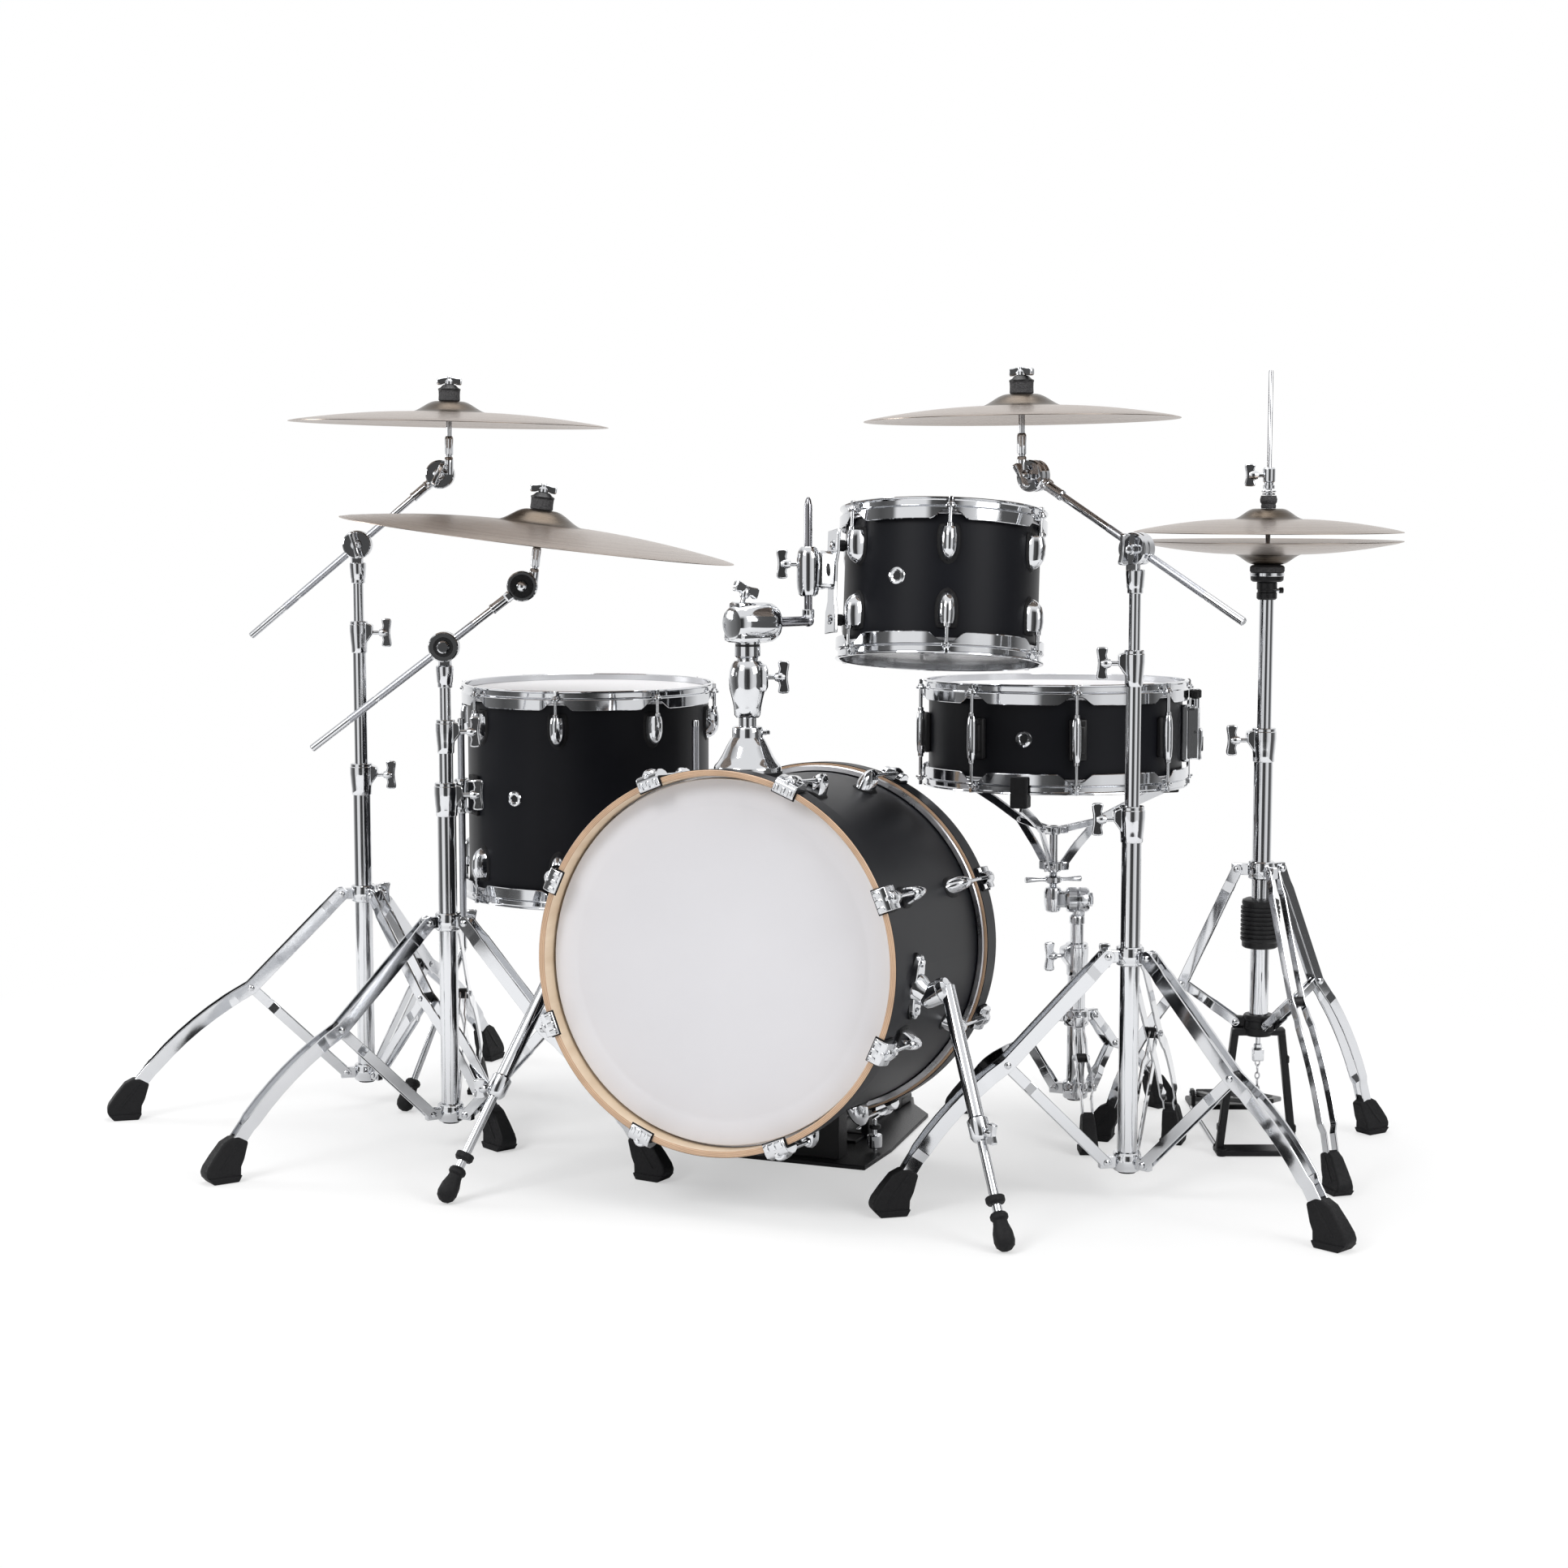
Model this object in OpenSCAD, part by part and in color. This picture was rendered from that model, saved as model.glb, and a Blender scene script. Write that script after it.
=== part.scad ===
/* [Drum shells] */
// Bass drum shell diameter (18 inch)
bass_d = 457; // [440:1:475]
// Bass drum shell depth
bass_depth = 352; // [320:1:380]
// Rack tom shell diameter (10 inch)
rack_d = 254; // [240:1:265]
// Rack tom shell depth
rack_depth = 178; // [150:1:190]
// Floor tom shell diameter (14 inch)
floor_d = 356; // [340:1:370]
// Floor tom shell depth
floor_depth = 294; // [270:1:310]
// Snare drum shell diameter (14 inch)
snare_d = 356; // [345:1:365]
// Snare drum shell depth
snare_depth = 129; // [120:1:140]
// Wall of the wooden shells
shell_wall = 7; // [5:0.5:9]

/* [Heads and steel hoops] */
// Thickness of a drum head
head_t = 0.8; // [0.6:0.1:1.5]
// Height of the head's flesh ring
flesh_h = 7; // [5:0.5:9]
// Height of the steel hoop above its ledge
hoop_rise = 14; // [11:0.5:18]
// Height of the steel hoop's skirt below its ledge
hoop_skirt = 14; // [10:0.5:18]
// Sheet thickness of the steel hoop
hoop_t = 2.3; // [1.8:0.1:3]
// How far the steel hoop's top edge stands out from the shell
hoop_out = 9; // [7:0.5:11]

/* [Bass drum hoops] */
// Depth of the wooden hoop
wood_hoop_h = 38; // [32:1:45]
// Thickness of the wooden hoop
wood_hoop_t = 8; // [7:0.5:10]
// How far the wooden hoop stands out past the head
wood_hoop_front = 26; // [20:1:30]

/* [Lugs] */
// Diameter of a tension rod
rod_d = 5; // [4:0.5:6]
// Length of a single lug
lug_len = 44; // [34:1:52]
// Width of a single lug
lug_w = 21; // [17:1:25]
// How far a lug stands out from the shell
lug_out = 20; // [17:1:24]
// Distance from the shell's edge to the near end of a lug
lug_inset = 27; // [22:1:34]
// Length of a double-ended snare lug
snare_lug_len = 56; // [46:1:64]

/* [Drum positions] */
// Centre of the bass drum's front hoop on the floor plan
bass_at = [-32, -355]; // [-400:1:400]
// Height of the bass drum's front hoop centre
bass_z = 319; // [312:1:330]
// Turn of the bass drum about the vertical
bass_turn = 22; // [15:1:30]
// Upward tilt of the bass drum's front
bass_tilt = 4; // [2:0.5:6]
// Centre of the rack tom's top hoop
rack_at = [266, -112, 875]; // [-400:1:1000]
// Backward tilt of the rack tom
rack_tilt = 8.5; // [4:0.5:12]
// Sideways lean of the rack tom
rack_lean = 2; // [0:0.5:4]
// Centre of the floor tom on the floor plan
floor_at = [-233, 330]; // [-500:1:500]
// Height of the floor tom's top hoop
floor_z = 620; // [600:1:640]
// Turn of the floor tom's lugs
floor_lug_turn = -10; // [-20:1:10]
// Centre of the snare drum on the floor plan
snare_at = [440, 143]; // [100:1:600]
// Height of the snare drum's top hoop
snare_z = 638; // [625:1:650]
// Backward tilt of the snare drum
snare_tilt = 1.5; // [0:0.5:4]

/* [Stand tubes] */
// Outer diameter of the base tubes
base_tube_d = 25.4; // [24:0.2:28]
// Outer diameter of the middle tubes
middle_tube_d = 19.1; // [18:0.1:20]
// Outer diameter of the top tubes
top_tube_d = 15; // [14:0.1:15.6]
// Wall of every tube
tube_wall = 1.3; // [1:0.1:1.5]
// Height of a tube clamp
clamp_h = 46; // [38:1:52]
// Top of the boom stands' base clamps
base_clamp_top = 507; // [495:1:515]
// How far a tube reaches into the one below
tube_insert = 130; // [100:5:150]

/* [Tripods] */
// Width of a leg strap of the hi-hat and snare stands
strap_w = 14; // [11:0.5:16]
// Width of a leg strap of the boom stands
boom_strap_w = 19; // [16:0.5:21]
// Thickness of a leg strap
strap_t = 2.6; // [2:0.2:3.5]
// Distance between the two straps of a leg
strap_gap = 17; // [14:0.5:20]
// Distance of the top pivots from the tube's axis
pivot_r = 32; // [29:0.5:36]
// Height of the top pivots of the boom stands
leg_top = 316; // [300:1:330]
// Distance of the knee pivots from the tube's axis
knee_r = 165; // [150:1:180]
// Height of the knee pivots
knee_z = 184; // [170:1:200]
// Height of the lower pivots
low_pivot_z = 50; // [44:1:60]
// Height of a rubber foot
foot_h = 62; // [55:1:68]
// Width of a rubber foot
foot_w = 32; // [28:1:38]

/* [Boom arms and cymbal posts] */
// Diameter of the boom rod
boom_rod_d = 10.5; // [9.5:0.1:12]
// Whole length of a boom arm
boom_len = 363; // [340:1:380]
// Diameter of the tilter rings
ring_d = 41; // [37:0.5:44]
// Width of one half of a tilter
ring_half = 10; // [8.5:0.5:12]
// Diameter of a tilter's bolt
tilter_bolt_d = 8; // [6:0.5:10]
// Offset of the cymbal post from its tilter's axis
post_offset = 13; // [11:0.5:15]
// Height of the cymbal seat above the tilter
seat_rise = 103; // [98:1:112]
// Diameter of the sleeve in the cymbal's hole
post_d = 8.5; // [7:0.1:10]
// Diameter of the felts
felt_d = 31; // [26:0.5:33]
// Thickness of the felt on top of a cymbal
felt_h = 15; // [11:0.5:18]

/* [Left crash cymbal and its stand] */
// Place of the stand's tube
left_at = [-559, 253]; // [-700:1:700]
// Directions of the three legs
left_legs = [195, 310, 65]; // [0:1:360]
// Reach of the feet
left_reach = 350; // [330:1:370]
// Top of the middle tube's clamp
left_middle_top = 714; // [690:1:730]
// Height of the boom's pivot
left_pivot_z = 824; // [815:1:840]
// Heading of the boom
left_heading = 0; // [-10:1:10]
// Rise of the boom
left_rise = 40; // [34:1:45]
// Length of boom ahead of the pivot
left_ahead = 157; // [145:1:175]
// Forward tilt of the cymbal
left_cymbal_tilt = 1.2; // [0:0.1:6]
// Diameter of the cymbal (18 inch)
left_cymbal_d = 457; // [420:1:470]

/* [Ride cymbal and its stand] */
// Place of the stand's tube
ride_at = [-403, -4]; // [-600:1:600]
// Directions of the three legs
ride_legs = [214, 329, 90]; // [0:1:360]
// Reach of the feet
ride_reach = 338; // [320:1:350]
// Top of the middle tube's clamp
ride_middle_top = 593; // [585:1:600]
// Height of the boom's pivot
ride_pivot_z = 692; // [685:1:705]
// Heading of the boom
ride_heading = 0; // [-10:1:10]
// Rise of the boom
ride_rise = 37.4; // [32:0.2:42]
// Length of boom ahead of the pivot
ride_ahead = 135; // [125:1:150]
// Forward tilt of the cymbal
ride_cymbal_tilt = 7.1; // [3:0.1:10]
// Diameter of the cymbal (21 inch)
ride_cymbal_d = 533; // [500:1:550]

/* [Right crash cymbal and its stand] */
// Place of the stand's tube
right_at = [496, -275]; // [-600:1:600]
// Directions of the three legs
right_legs = [194, 314, 71]; // [0:1:360]
// Reach of the feet
right_reach = 318; // [305:1:330]
// Top of the middle tube's clamp
right_middle_top = 704; // [690:1:715]
// Height of the boom's pivot
right_pivot_z = 830; // [822:1:842]
// Heading of the boom
right_heading = 139; // [132:1:146]
// Rise of the boom
right_rise = 29.3; // [25:0.2:34]
// Length of boom ahead of the pivot
right_ahead = 186; // [175:1:200]
// Forward tilt of the cymbal
right_cymbal_tilt = 0.9; // [0:0.1:5]
// Diameter of the cymbal (16 inch)
right_cymbal_d = 406; // [380:1:425]

/* [Cymbals] */
// Thickness of a cymbal
cymbal_t = 1.6; // [1.2:0.1:2.2]
// Diameter of the crash cymbals' bells
crash_bell_d = 114; // [105:1:125]
// Height of the crash cymbals' bells above their bow
crash_bell_h = 16; // [12:0.5:19]
// Height of the crash cymbals' bow
crash_bow_h = 16; // [12:0.5:20]
// Diameter of the ride cymbal's bell
ride_bell_d = 122; // [112:1:132]
// Height of the ride cymbal's bell above its bow
ride_bell_h = 19; // [15:0.5:22]
// Height of the ride cymbal's bow
ride_bow_h = 21; // [17:0.5:25]
// Diameter of the hi-hat cymbals (14 inch)
hat_d = 356; // [340:1:366]
// Diameter of the hi-hat cymbals' bells
hat_bell_d = 96; // [90:1:104]
// Height of the hi-hat cymbals' bells above their bow
hat_bell_h = 14; // [11:0.5:17]
// Height of the hi-hat cymbals' bow
hat_bow_h = 16; // [13:0.5:19]

/* [Hi-hat stand] */
// Place of the hi-hat stand's tube
hat_at = [703, -40]; // [-800:1:800]
// Directions of the three legs
hat_legs = [33, 288, 159]; // [0:1:360]
// Reach of the feet
hat_reach = 225; // [215:1:240]
// Height of the top pivots
hat_leg_top = 392; // [380:1:400]
// Distance of the knee pivots from the tube's axis
hat_knee_r = 105; // [98:1:112]
// Height of the knee pivots
hat_knee_z = 230; // [222:1:240]
// Height of the lower pivots
hat_low_pivot_z = 182; // [176:1:188]
// Top of the base tube's clamp
hat_clamp_top = 585; // [575:1:595]
// Height of the seat of the bottom hi-hat cymbal
hat_seat_z = 804; // [795:1:815]
// Gap between the two hi-hat cymbals' edges
hat_gap = 11; // [8:0.5:16]
// Diameter of the pull rod
pull_rod_d = 6.5; // [5.5:0.1:7.5]
// Top end of the pull rod
pull_rod_top = 1061; // [1040:1:1075]
// Heading of the footboard
hat_board_turn = 90; // [86:1:93]
// Length of the hi-hat's footboard
hat_board_len = 262; // [240:1:275]
// Width of the footboards
board_w = 88; // [75:1:95]

/* [Snare stand] */
// Place of the snare stand's tube
snare_stand_at = [474, 135]; // [-600:1:600]
// Directions of the three legs
snare_legs = [270, 38, 155]; // [0:1:360]
// Reach of the feet
snare_reach = 178; // [170:1:190]
// Height of the top pivots
snare_leg_top = 155; // [149:1:160]
// Distance of the knee pivots from the tube's axis
snare_knee_r = 70; // [64:1:78]
// Height of the knee pivots
snare_knee_z = 110; // [104:1:118]
// Top of the snare stand's tube clamp
snare_clamp_top = 262; // [255:1:270]
// Height of the basket's tilt axis
basket_pivot_z = 324; // [318:1:330]
// Radius at which the basket's grips hold the drum
basket_r = 186; // [180:1:190]

/* [Tom holder] */
// Distance of the tom holder behind the front hoop's edge
holder_along = 115; // [105:1:125]
// Diameter of the tom holder's post
holder_post_d = 22; // [20:0.5:25]
// Height of the holder's clamp top
holder_clamp_top = 690; // [682:1:698]
// Height of the ball's centre
ball_z = 736; // [730:1:742]
// Diameter of the ball
ball_d = 36; // [32:0.5:40]
// Diameter of the L rod
l_rod_d = 10.5; // [9.5:0.1:12]
// Place of the L rod's upright part
l_rod_at = [88, -190]; // [-200:1:200]
// Top end of the L rod
l_rod_top = 894; // [880:1:910]

/* [Floor tom legs] */
// Diameter of a floor tom leg
floor_leg_d = 10; // [9:0.5:12]
// Distance of a leg's straight part from the drum's shell
floor_leg_off = 20; // [17:0.5:24]
// Reach of the legs' feet from the drum's axis
floor_leg_reach = 290; // [270:1:305]
// Top end of a leg
floor_leg_top = 573; // [560:1:585]

/* [Bass drum spurs] */
// Distance of the spurs behind the front hoop's edge
spur_along = 115; // [105:1:125]
// Place of the right spur's foot
right_spur_foot = [320, -516]; // [-550:1:550]
// Place of the left spur's foot
left_spur_foot = [-372, -297]; // [-550:1:550]
// Diameter of a spur's upper tube
spur_d = 19; // [17:0.5:21]

/* [Bass drum pedal] */
// Length of the pedal's base behind the front hoop's edge
pedal_end = 690; // [670:1:705]
// Width of the riser under the drum
riser_w = 200; // [180:1:220]
// Height of the riser's box
riser_h = 60; // [54:1:63]
// Height of the beater's shaft axis
beater_axle_z = 150; // [140:1:158]

/* [Fits] */
// Running clearance of a sliding or turning fit, on the radius
fit = 0.06; // [0.02:0.01:0.1]
// Clearance between separate pieces
gap = 0.3; // [0.2:0.05:0.6]

/* [Hidden] */
$fn = 48;
// Shift that puts the origin under the middle of the whole kit
kit_shift = [1.99, -49.52, 0];

// Bore of the middle tubes
middle_bore = middle_tube_d - 2 * tube_wall;
// Collars and pins of a tripod
collar_h = 24;
collar_d = base_tube_d + 11;
rivet_d = 7;
// Place of the boom rod beside the tube's axis
rod_side = -boom_rod_d / 2 - 0.75;
// Radius of the flat top inside every bell
bell_flat_r = felt_d / 2 + 2;
// Radius of the hole in every cymbal
cymbal_hole_r = post_d / 2 + fit;

// Left, ride and right stands, by index
stand_at = [left_at, ride_at, right_at];
stand_legs = [left_legs, ride_legs, right_legs];
stand_reach = [left_reach, ride_reach, right_reach];
stand_middle_top = [left_middle_top, ride_middle_top, right_middle_top];
stand_pivot_z = [left_pivot_z, ride_pivot_z, right_pivot_z];
stand_heading = [left_heading, ride_heading, right_heading];
stand_rise = [left_rise, ride_rise, right_rise];
stand_ahead = [left_ahead, ride_ahead, right_ahead];
stand_cymbal_tilt = [left_cymbal_tilt, ride_cymbal_tilt, right_cymbal_tilt];
// Directions of the clamps' wing bolts; 1 where the boom clamp is mirrored
stand_wing_turn = [0, 0, 180];
stand_boom_mirror = [1, 0, 0];
stand_cymbal_d = [left_cymbal_d, ride_cymbal_d, right_cymbal_d];
stand_bell_d = [crash_bell_d, ride_bell_d, crash_bell_d];
stand_bell_h = [crash_bell_h, ride_bell_h, crash_bell_h];
stand_bow_h = [crash_bow_h, ride_bow_h, crash_bow_h];

// ---------- helpers ----------

// Places the whole kit so that its origin is under its middle
module kit() {
    translate(kit_shift) children();
}

// Turns +Z to point from p to q, with its origin at p
module aim(p, q) {
    d = q - p;
    translate(p)
        rotate([0, atan2(norm([d[0], d[1]]), d[2]), atan2(d[1], d[0])])
            children();
}

// Round rod from p to q
module rod(p, q, d) {
    aim(p, q) cylinder(d = d, h = norm(q - p));
}

// Ring of rectangular section
module ring(outer_d, inner_d, h) {
    difference() {
        cylinder(d = outer_d, h = h);
        translate([0, 0, -1]) cylinder(d = inner_d, h = h + 2);
    }
}

// Wing bolt along +X, its tip at the origin
module wing_bolt(shank, span) {
    rotate([0, 90, 0]) cylinder(d = 6, h = shank);
    translate([shank - 1, 0, 0]) rotate([0, 90, 0]) cylinder(d1 = 8, d2 = 13, h = 6);
    translate([shank + 3, 0, 0])
        rotate([90, 0, 0])
            linear_extrude(6, center = true)
                polygon([[0, -9], [4, -span / 2], [9, -span / 2 + 2], [8, 0],
                         [9, span / 2 - 2], [4, span / 2], [0, 9]]);
}

// Outline of a strap of width w along a path of [x, y] points
function unit(v) = v / norm(v);
function left_of(v) = [-v[1], v[0]];
function bend_dir(path, i) =
    unit((i > 0 ? unit(path[i] - path[i - 1]) : [0, 0])
         + (i < len(path) - 1 ? unit(path[i + 1] - path[i]) : [0, 0]));
function strap_outline(path, w) = concat(
    [for (i = [0 : len(path) - 1]) path[i] + left_of(bend_dir(path, i)) * w / 2],
    [for (i = [len(path) - 1 : -1 : 0]) path[i] - left_of(bend_dir(path, i)) * w / 2]
);

// Upright strap in the radial plane, centred on the tangential offset
module strap(path, w, t, offset = 0) {
    translate([0, offset + t / 2, 0])
        rotate([90, 0, 0])
            linear_extrude(t)
                polygon(strap_outline(path, w));
}

// ---------- tripod ----------

// Path of a leg: straight to the knee, then an arched stretch into the foot
leg_end_in = 22;
leg_end_z = foot_h - 13;
leg_bow = 11;
function arch(a, b, rise, n) = [
    for (i = [1 : n])
        a + (b - a) * i / n + left_of(unit(b - a)) * rise * (1 - pow(2 * i / n - 1, 2))
];
function leg_path(reach, top_z, kr, kz) = concat(
    [[pivot_r, top_z], [kr, kz]],
    arch([kr, kz], [reach - leg_end_in, leg_end_z], leg_bow, 6)
);

module leg_straps(reach, top_z, kr, kz, w, t) {
    for (side = [-1, 1])
        strap(leg_path(reach, top_z, kr, kz), w, t, side * (strap_gap + strap_t) / 2);
}

module pivot_pin(r, z, length, d = rivet_d) {
    translate([r, length / 2, z])
        rotate([90, 0, 0])
            cylinder(d = d, h = length);
}

// Ear of a collar between the straps at a pivot
ear_h = 16;
strut_off = (strap_gap - strap_t) / 2 - 0.6;
ear_w = 2 * (strut_off - strap_t / 2 - gap);
module leg_ear(r, z) {
    translate([0, -ear_w / 2, z - ear_h / 2])
        cube([r + 6, ear_w, ear_h]);
}

// Legs, struts, pins and both collars of a tripod
module tripod(turns, reach, top_z, kr, kz, low_z, w = strap_w, strut_w = strap_w - 2, low_collar = true) {
    low_r = pivot_r - 2;
    pin_len = strap_gap + 2 * strap_t + 5;
    difference() {
        union() {
            translate([0, 0, top_z - collar_h / 2]) cylinder(d = collar_d, h = collar_h);
            if (low_collar)
                translate([0, 0, low_z - collar_h / 2]) cylinder(d = collar_d, h = collar_h);
            for (turn = turns)
                rotate([0, 0, turn]) {
                    leg_ear(pivot_r, top_z);
                    if (low_collar) leg_ear(low_r, low_z);
                }
        }
        translate([0, 0, low_z - collar_h]) cylinder(d = base_tube_d - tube_wall, h = top_z + collar_h);
    }
    for (turn = turns)
        rotate([0, 0, turn]) {
            leg_straps(reach, top_z, kr, kz, w, strap_t);
            pivot_pin(pivot_r, top_z, pin_len);
            pivot_pin(kr, kz, pin_len);
            pivot_pin(low_r, low_z, pin_len);
            for (side = [-1, 1])
                strap([[low_r, low_z], [kr, kz]], strut_w, strap_t, side * strut_off);
        }
}

// Rubber foot with a pocket for its leg
module rubber_foot(reach, top_z, kr, kz, w) {
    difference() {
        translate([reach, foot_w / 2, 0])
            rotate([90, 0, 0])
                linear_extrude(foot_w)
                    polygon([[-20, 0], [14, 0], [25, 14], [24, 20], [11, foot_h - 24],
                             [-4, foot_h - 6], [-22, foot_h], [-39, foot_h - 10],
                             [-26, 20], [-25, 8]]);
        leg_straps(reach, top_z, kr, kz, w + 2 * gap, strap_t + 2 * gap);
    }
}

module tripod_feet(turns, reach, top_z, kr, kz, w = strap_w) {
    for (turn = turns)
        rotate([0, 0, turn])
            rubber_foot(reach, top_z, kr, kz, w);
}

// ---------- telescoping tubes ----------

// Clamp around the top of a tube, with its wing bolt towards +X
module tube_clamp(top_z, lower_d, upper_d) {
    wide = lower_d + 8;
    difference() {
        union() {
            translate([0, 0, top_z - clamp_h]) cylinder(d1 = lower_d + 3, d2 = wide, h = clamp_h * 0.6);
            translate([0, 0, top_z - clamp_h * 0.4]) cylinder(d = wide, h = clamp_h * 0.4);
            translate([0, -9, top_z - clamp_h * 0.75]) cube([wide / 2 + 7, 18, clamp_h * 0.75]);
        }
        translate([0, 0, top_z - clamp_h - 1]) cylinder(d = lower_d - tube_wall, h = clamp_h - 15);
        translate([0, 0, top_z - clamp_h - 1]) cylinder(d = upper_d + 2 * fit, h = clamp_h + 2);
    }
    translate([wide / 2 + 7, 0, top_z - clamp_h / 2]) wing_bolt(10, 42);
}

// Tube with a bore, from z0 up into the clamp whose top is at clamp_top
module tube(d, z0, clamp_top) {
    translate([0, 0, z0]) ring(d, d - 2 * tube_wall, clamp_top - clamp_h + 8 - z0);
}

module at_stand(k) {
    kit() translate([stand_at[k][0], stand_at[k][1], 0]) children();
}

module stand_base(k) {
    at_stand(k) {
        tube(base_tube_d, low_pivot_z - collar_h / 2, base_clamp_top);
        rotate([0, 0, stand_wing_turn[k]]) tube_clamp(base_clamp_top, base_tube_d, middle_tube_d);
        tripod(stand_legs[k], stand_reach[k], leg_top, knee_r, knee_z, low_pivot_z,
               boom_strap_w, boom_strap_w - 5);
    }
}

module stand_middle_tube(k) {
    at_stand(k) {
        tube(middle_tube_d, base_clamp_top - tube_insert, stand_middle_top[k]);
        rotate([0, 0, stand_wing_turn[k]]) tube_clamp(stand_middle_top[k], middle_tube_d, top_tube_d);
    }
}

// ---------- boom tilters ----------

// Half of a tilter: a disc across the local Y axis, from y0 to y1
module tilter_disc(d, y0, y1) {
    translate([0, y1, 0]) rotate([90, 0, 0]) cylinder(d = d, h = y1 - y0);
}

// Frame of a boom clamp: X along the boom's heading, Y along the hinge
module at_boom_pivot(k) {
    kit() translate([stand_at[k][0], stand_at[k][1], stand_pivot_z[k]])
        rotate([0, 0, stand_heading[k]])
            mirror([0, stand_boom_mirror[k], 0])
                children();
}

sleeve_h = 30;
sleeve_drop = ring_d / 2 + 5;

module stand_top_tube(k) {
    sleeve_top = stand_pivot_z[k] - sleeve_drop;
    tube_low = stand_middle_top[k] - tube_insert;
    at_stand(k) {
        translate([0, 0, tube_low]) cylinder(d = top_tube_d, h = sleeve_top - sleeve_h - tube_low);
        translate([0, 0, sleeve_top - sleeve_h])
            cylinder(d1 = top_tube_d + 5, d2 = top_tube_d + 9, h = sleeve_h);
    }
    at_boom_pivot(k) difference() {
        union() {
            tilter_disc(ring_d, gap / 2, ring_half);
            translate([-top_tube_d / 2 - 2, gap / 2, -sleeve_drop - 3])
                cube([top_tube_d + 4, ring_half - gap / 2, sleeve_drop - 8]);
        }
        tilter_disc(tilter_bolt_d + 2 * fit, -1, ring_half + 1);
    }
}

// Boom rod with its half of the clamp, and the fixed half of the cymbal tilter
arm_half = boom_rod_d + 3.5;
module boom_arm(k) {
    at_boom_pivot(k) rotate([0, -stand_rise[k], 0]) {
        tilter_disc(ring_d, -arm_half, -gap / 2);
        tilter_disc(tilter_bolt_d, -gap / 2 - 1, ring_half + 8);
        tilter_disc(tilter_bolt_d + 7, -arm_half - 4, -arm_half);
        translate([0, ring_half + gap, 0]) {
            tilter_disc(15, 0, 5);
            rotate([25, 0, 90]) translate([2, 0, 0]) wing_bolt(4, 40);
        }
        translate([stand_ahead[k] - boom_len, rod_side, 0])
            rotate([0, 90, 0])
                cylinder(d = boom_rod_d, h = boom_len - ring_d / 2 - 2);
        translate([stand_ahead[k], rod_side, 0]) {
            translate([-ring_d / 2 - 32, 0, 0])
                rotate([0, 90, 0])
                    cylinder(d = boom_rod_d + 4, h = 31);
            translate([-ring_d / 2 - 8, -ring_half, -7]) cube([14, ring_half - gap / 2, 14]);
            difference() {
                tilter_disc(ring_d, -ring_half, -gap / 2);
                tilter_disc(tilter_bolt_d + 2 * fit, -ring_half - 1, 1);
            }
        }
    }
}

// Frame of a cymbal post: Z along the post, origin on the tilter's axis
module at_cymbal_post(k) {
    at_boom_pivot(k)
        translate([stand_ahead[k] * cos(stand_rise[k]), rod_side, stand_ahead[k] * sin(stand_rise[k])])
            rotate([0, stand_cymbal_tilt[k], 0])
                children();
}

cup_h = 8;
nut_h = 12;
post_y = 7;
seat_stack = 12;

module cymbal_post(k) {
    top = seat_rise + cymbal_t + gap;
    cap_z = top + felt_h + cup_h;
    at_cymbal_post(k) {
        tilter_disc(ring_d, gap / 2, ring_half);
        tilter_disc(tilter_bolt_d, -ring_half - 5, 1);
        tilter_disc(15, -ring_half - 6, -ring_half - gap);
        tilter_disc(17, ring_half - 1, ring_half + 4);
        translate([0, ring_half + 3, 0]) rotate([25, 0, 90]) wing_bolt(4, 34);
        translate([post_offset, post_y, 0]) {
            cylinder(d = 13.5, h = 24);
            cylinder(d = 12, h = 55);
            cylinder(d = post_d, h = cap_z + nut_h);
            translate([0, 0, seat_rise - seat_stack - 3 - gap]) cylinder(d = felt_d - 5, h = 3);
            translate([0, 0, seat_rise - seat_stack - gap]) cylinder(d = felt_d, h = seat_stack);
            translate([0, 0, top]) cylinder(d = felt_d, h = felt_h);
            translate([0, 0, top + felt_h]) cylinder(d1 = felt_d + 1, d2 = 17, h = cup_h);
            translate([0, 0, cap_z]) cylinder(d = 14, h = 7);
            translate([0, 4, cap_z + 3])
                rotate([90, 0, 0])
                    linear_extrude(8)
                        polygon([[-18, 9], [-18, 1], [-6, -2], [6, -2], [18, 1], [18, 9], [6, 12], [-6, 12]]);
        }
    }
}

// ---------- cymbals ----------

// Height of a cymbal's upper face at radius r, above its edge
function bell_rise(r, br, bell_h) =
    r <= bell_flat_r ? bell_h : bell_h * (cos(180 * (r - bell_flat_r) / (br - bell_flat_r)) + 1) / 2;
function cymbal_z(r, r_max, br, bell_h, bow_h) =
    r <= br ? bow_h + bell_rise(r, br, bell_h)
            : bow_h * (1 - pow((r - br) / (r_max - br), 1.7));
bell_steps = 6;
bow_steps = 7;
function cymbal_radii(r_max, br) = concat(
    [cymbal_hole_r],
    [for (i = [0 : bell_steps]) bell_flat_r + (br - bell_flat_r) * i / bell_steps],
    [for (i = [1 : bow_steps]) br + (r_max - br) * i / bow_steps]
);

// Cymbal with its bell's underside at z = 0
module cymbal(d, bell_d, bell_h, bow_h) {
    radii = cymbal_radii(d / 2, bell_d / 2);
    low = [for (r = radii) [r, cymbal_z(r, d / 2, bell_d / 2, bell_h, bow_h)]];
    n = len(low);
    translate([0, 0, -bell_h - bow_h])
        rotate_extrude($fn = 96)
            polygon(concat(
                [for (i = [0 : n - 1]) low[i] + [0, cymbal_t]],
                [for (i = [n - 1 : -1 : 0]) low[i]]
            ));
}

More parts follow.
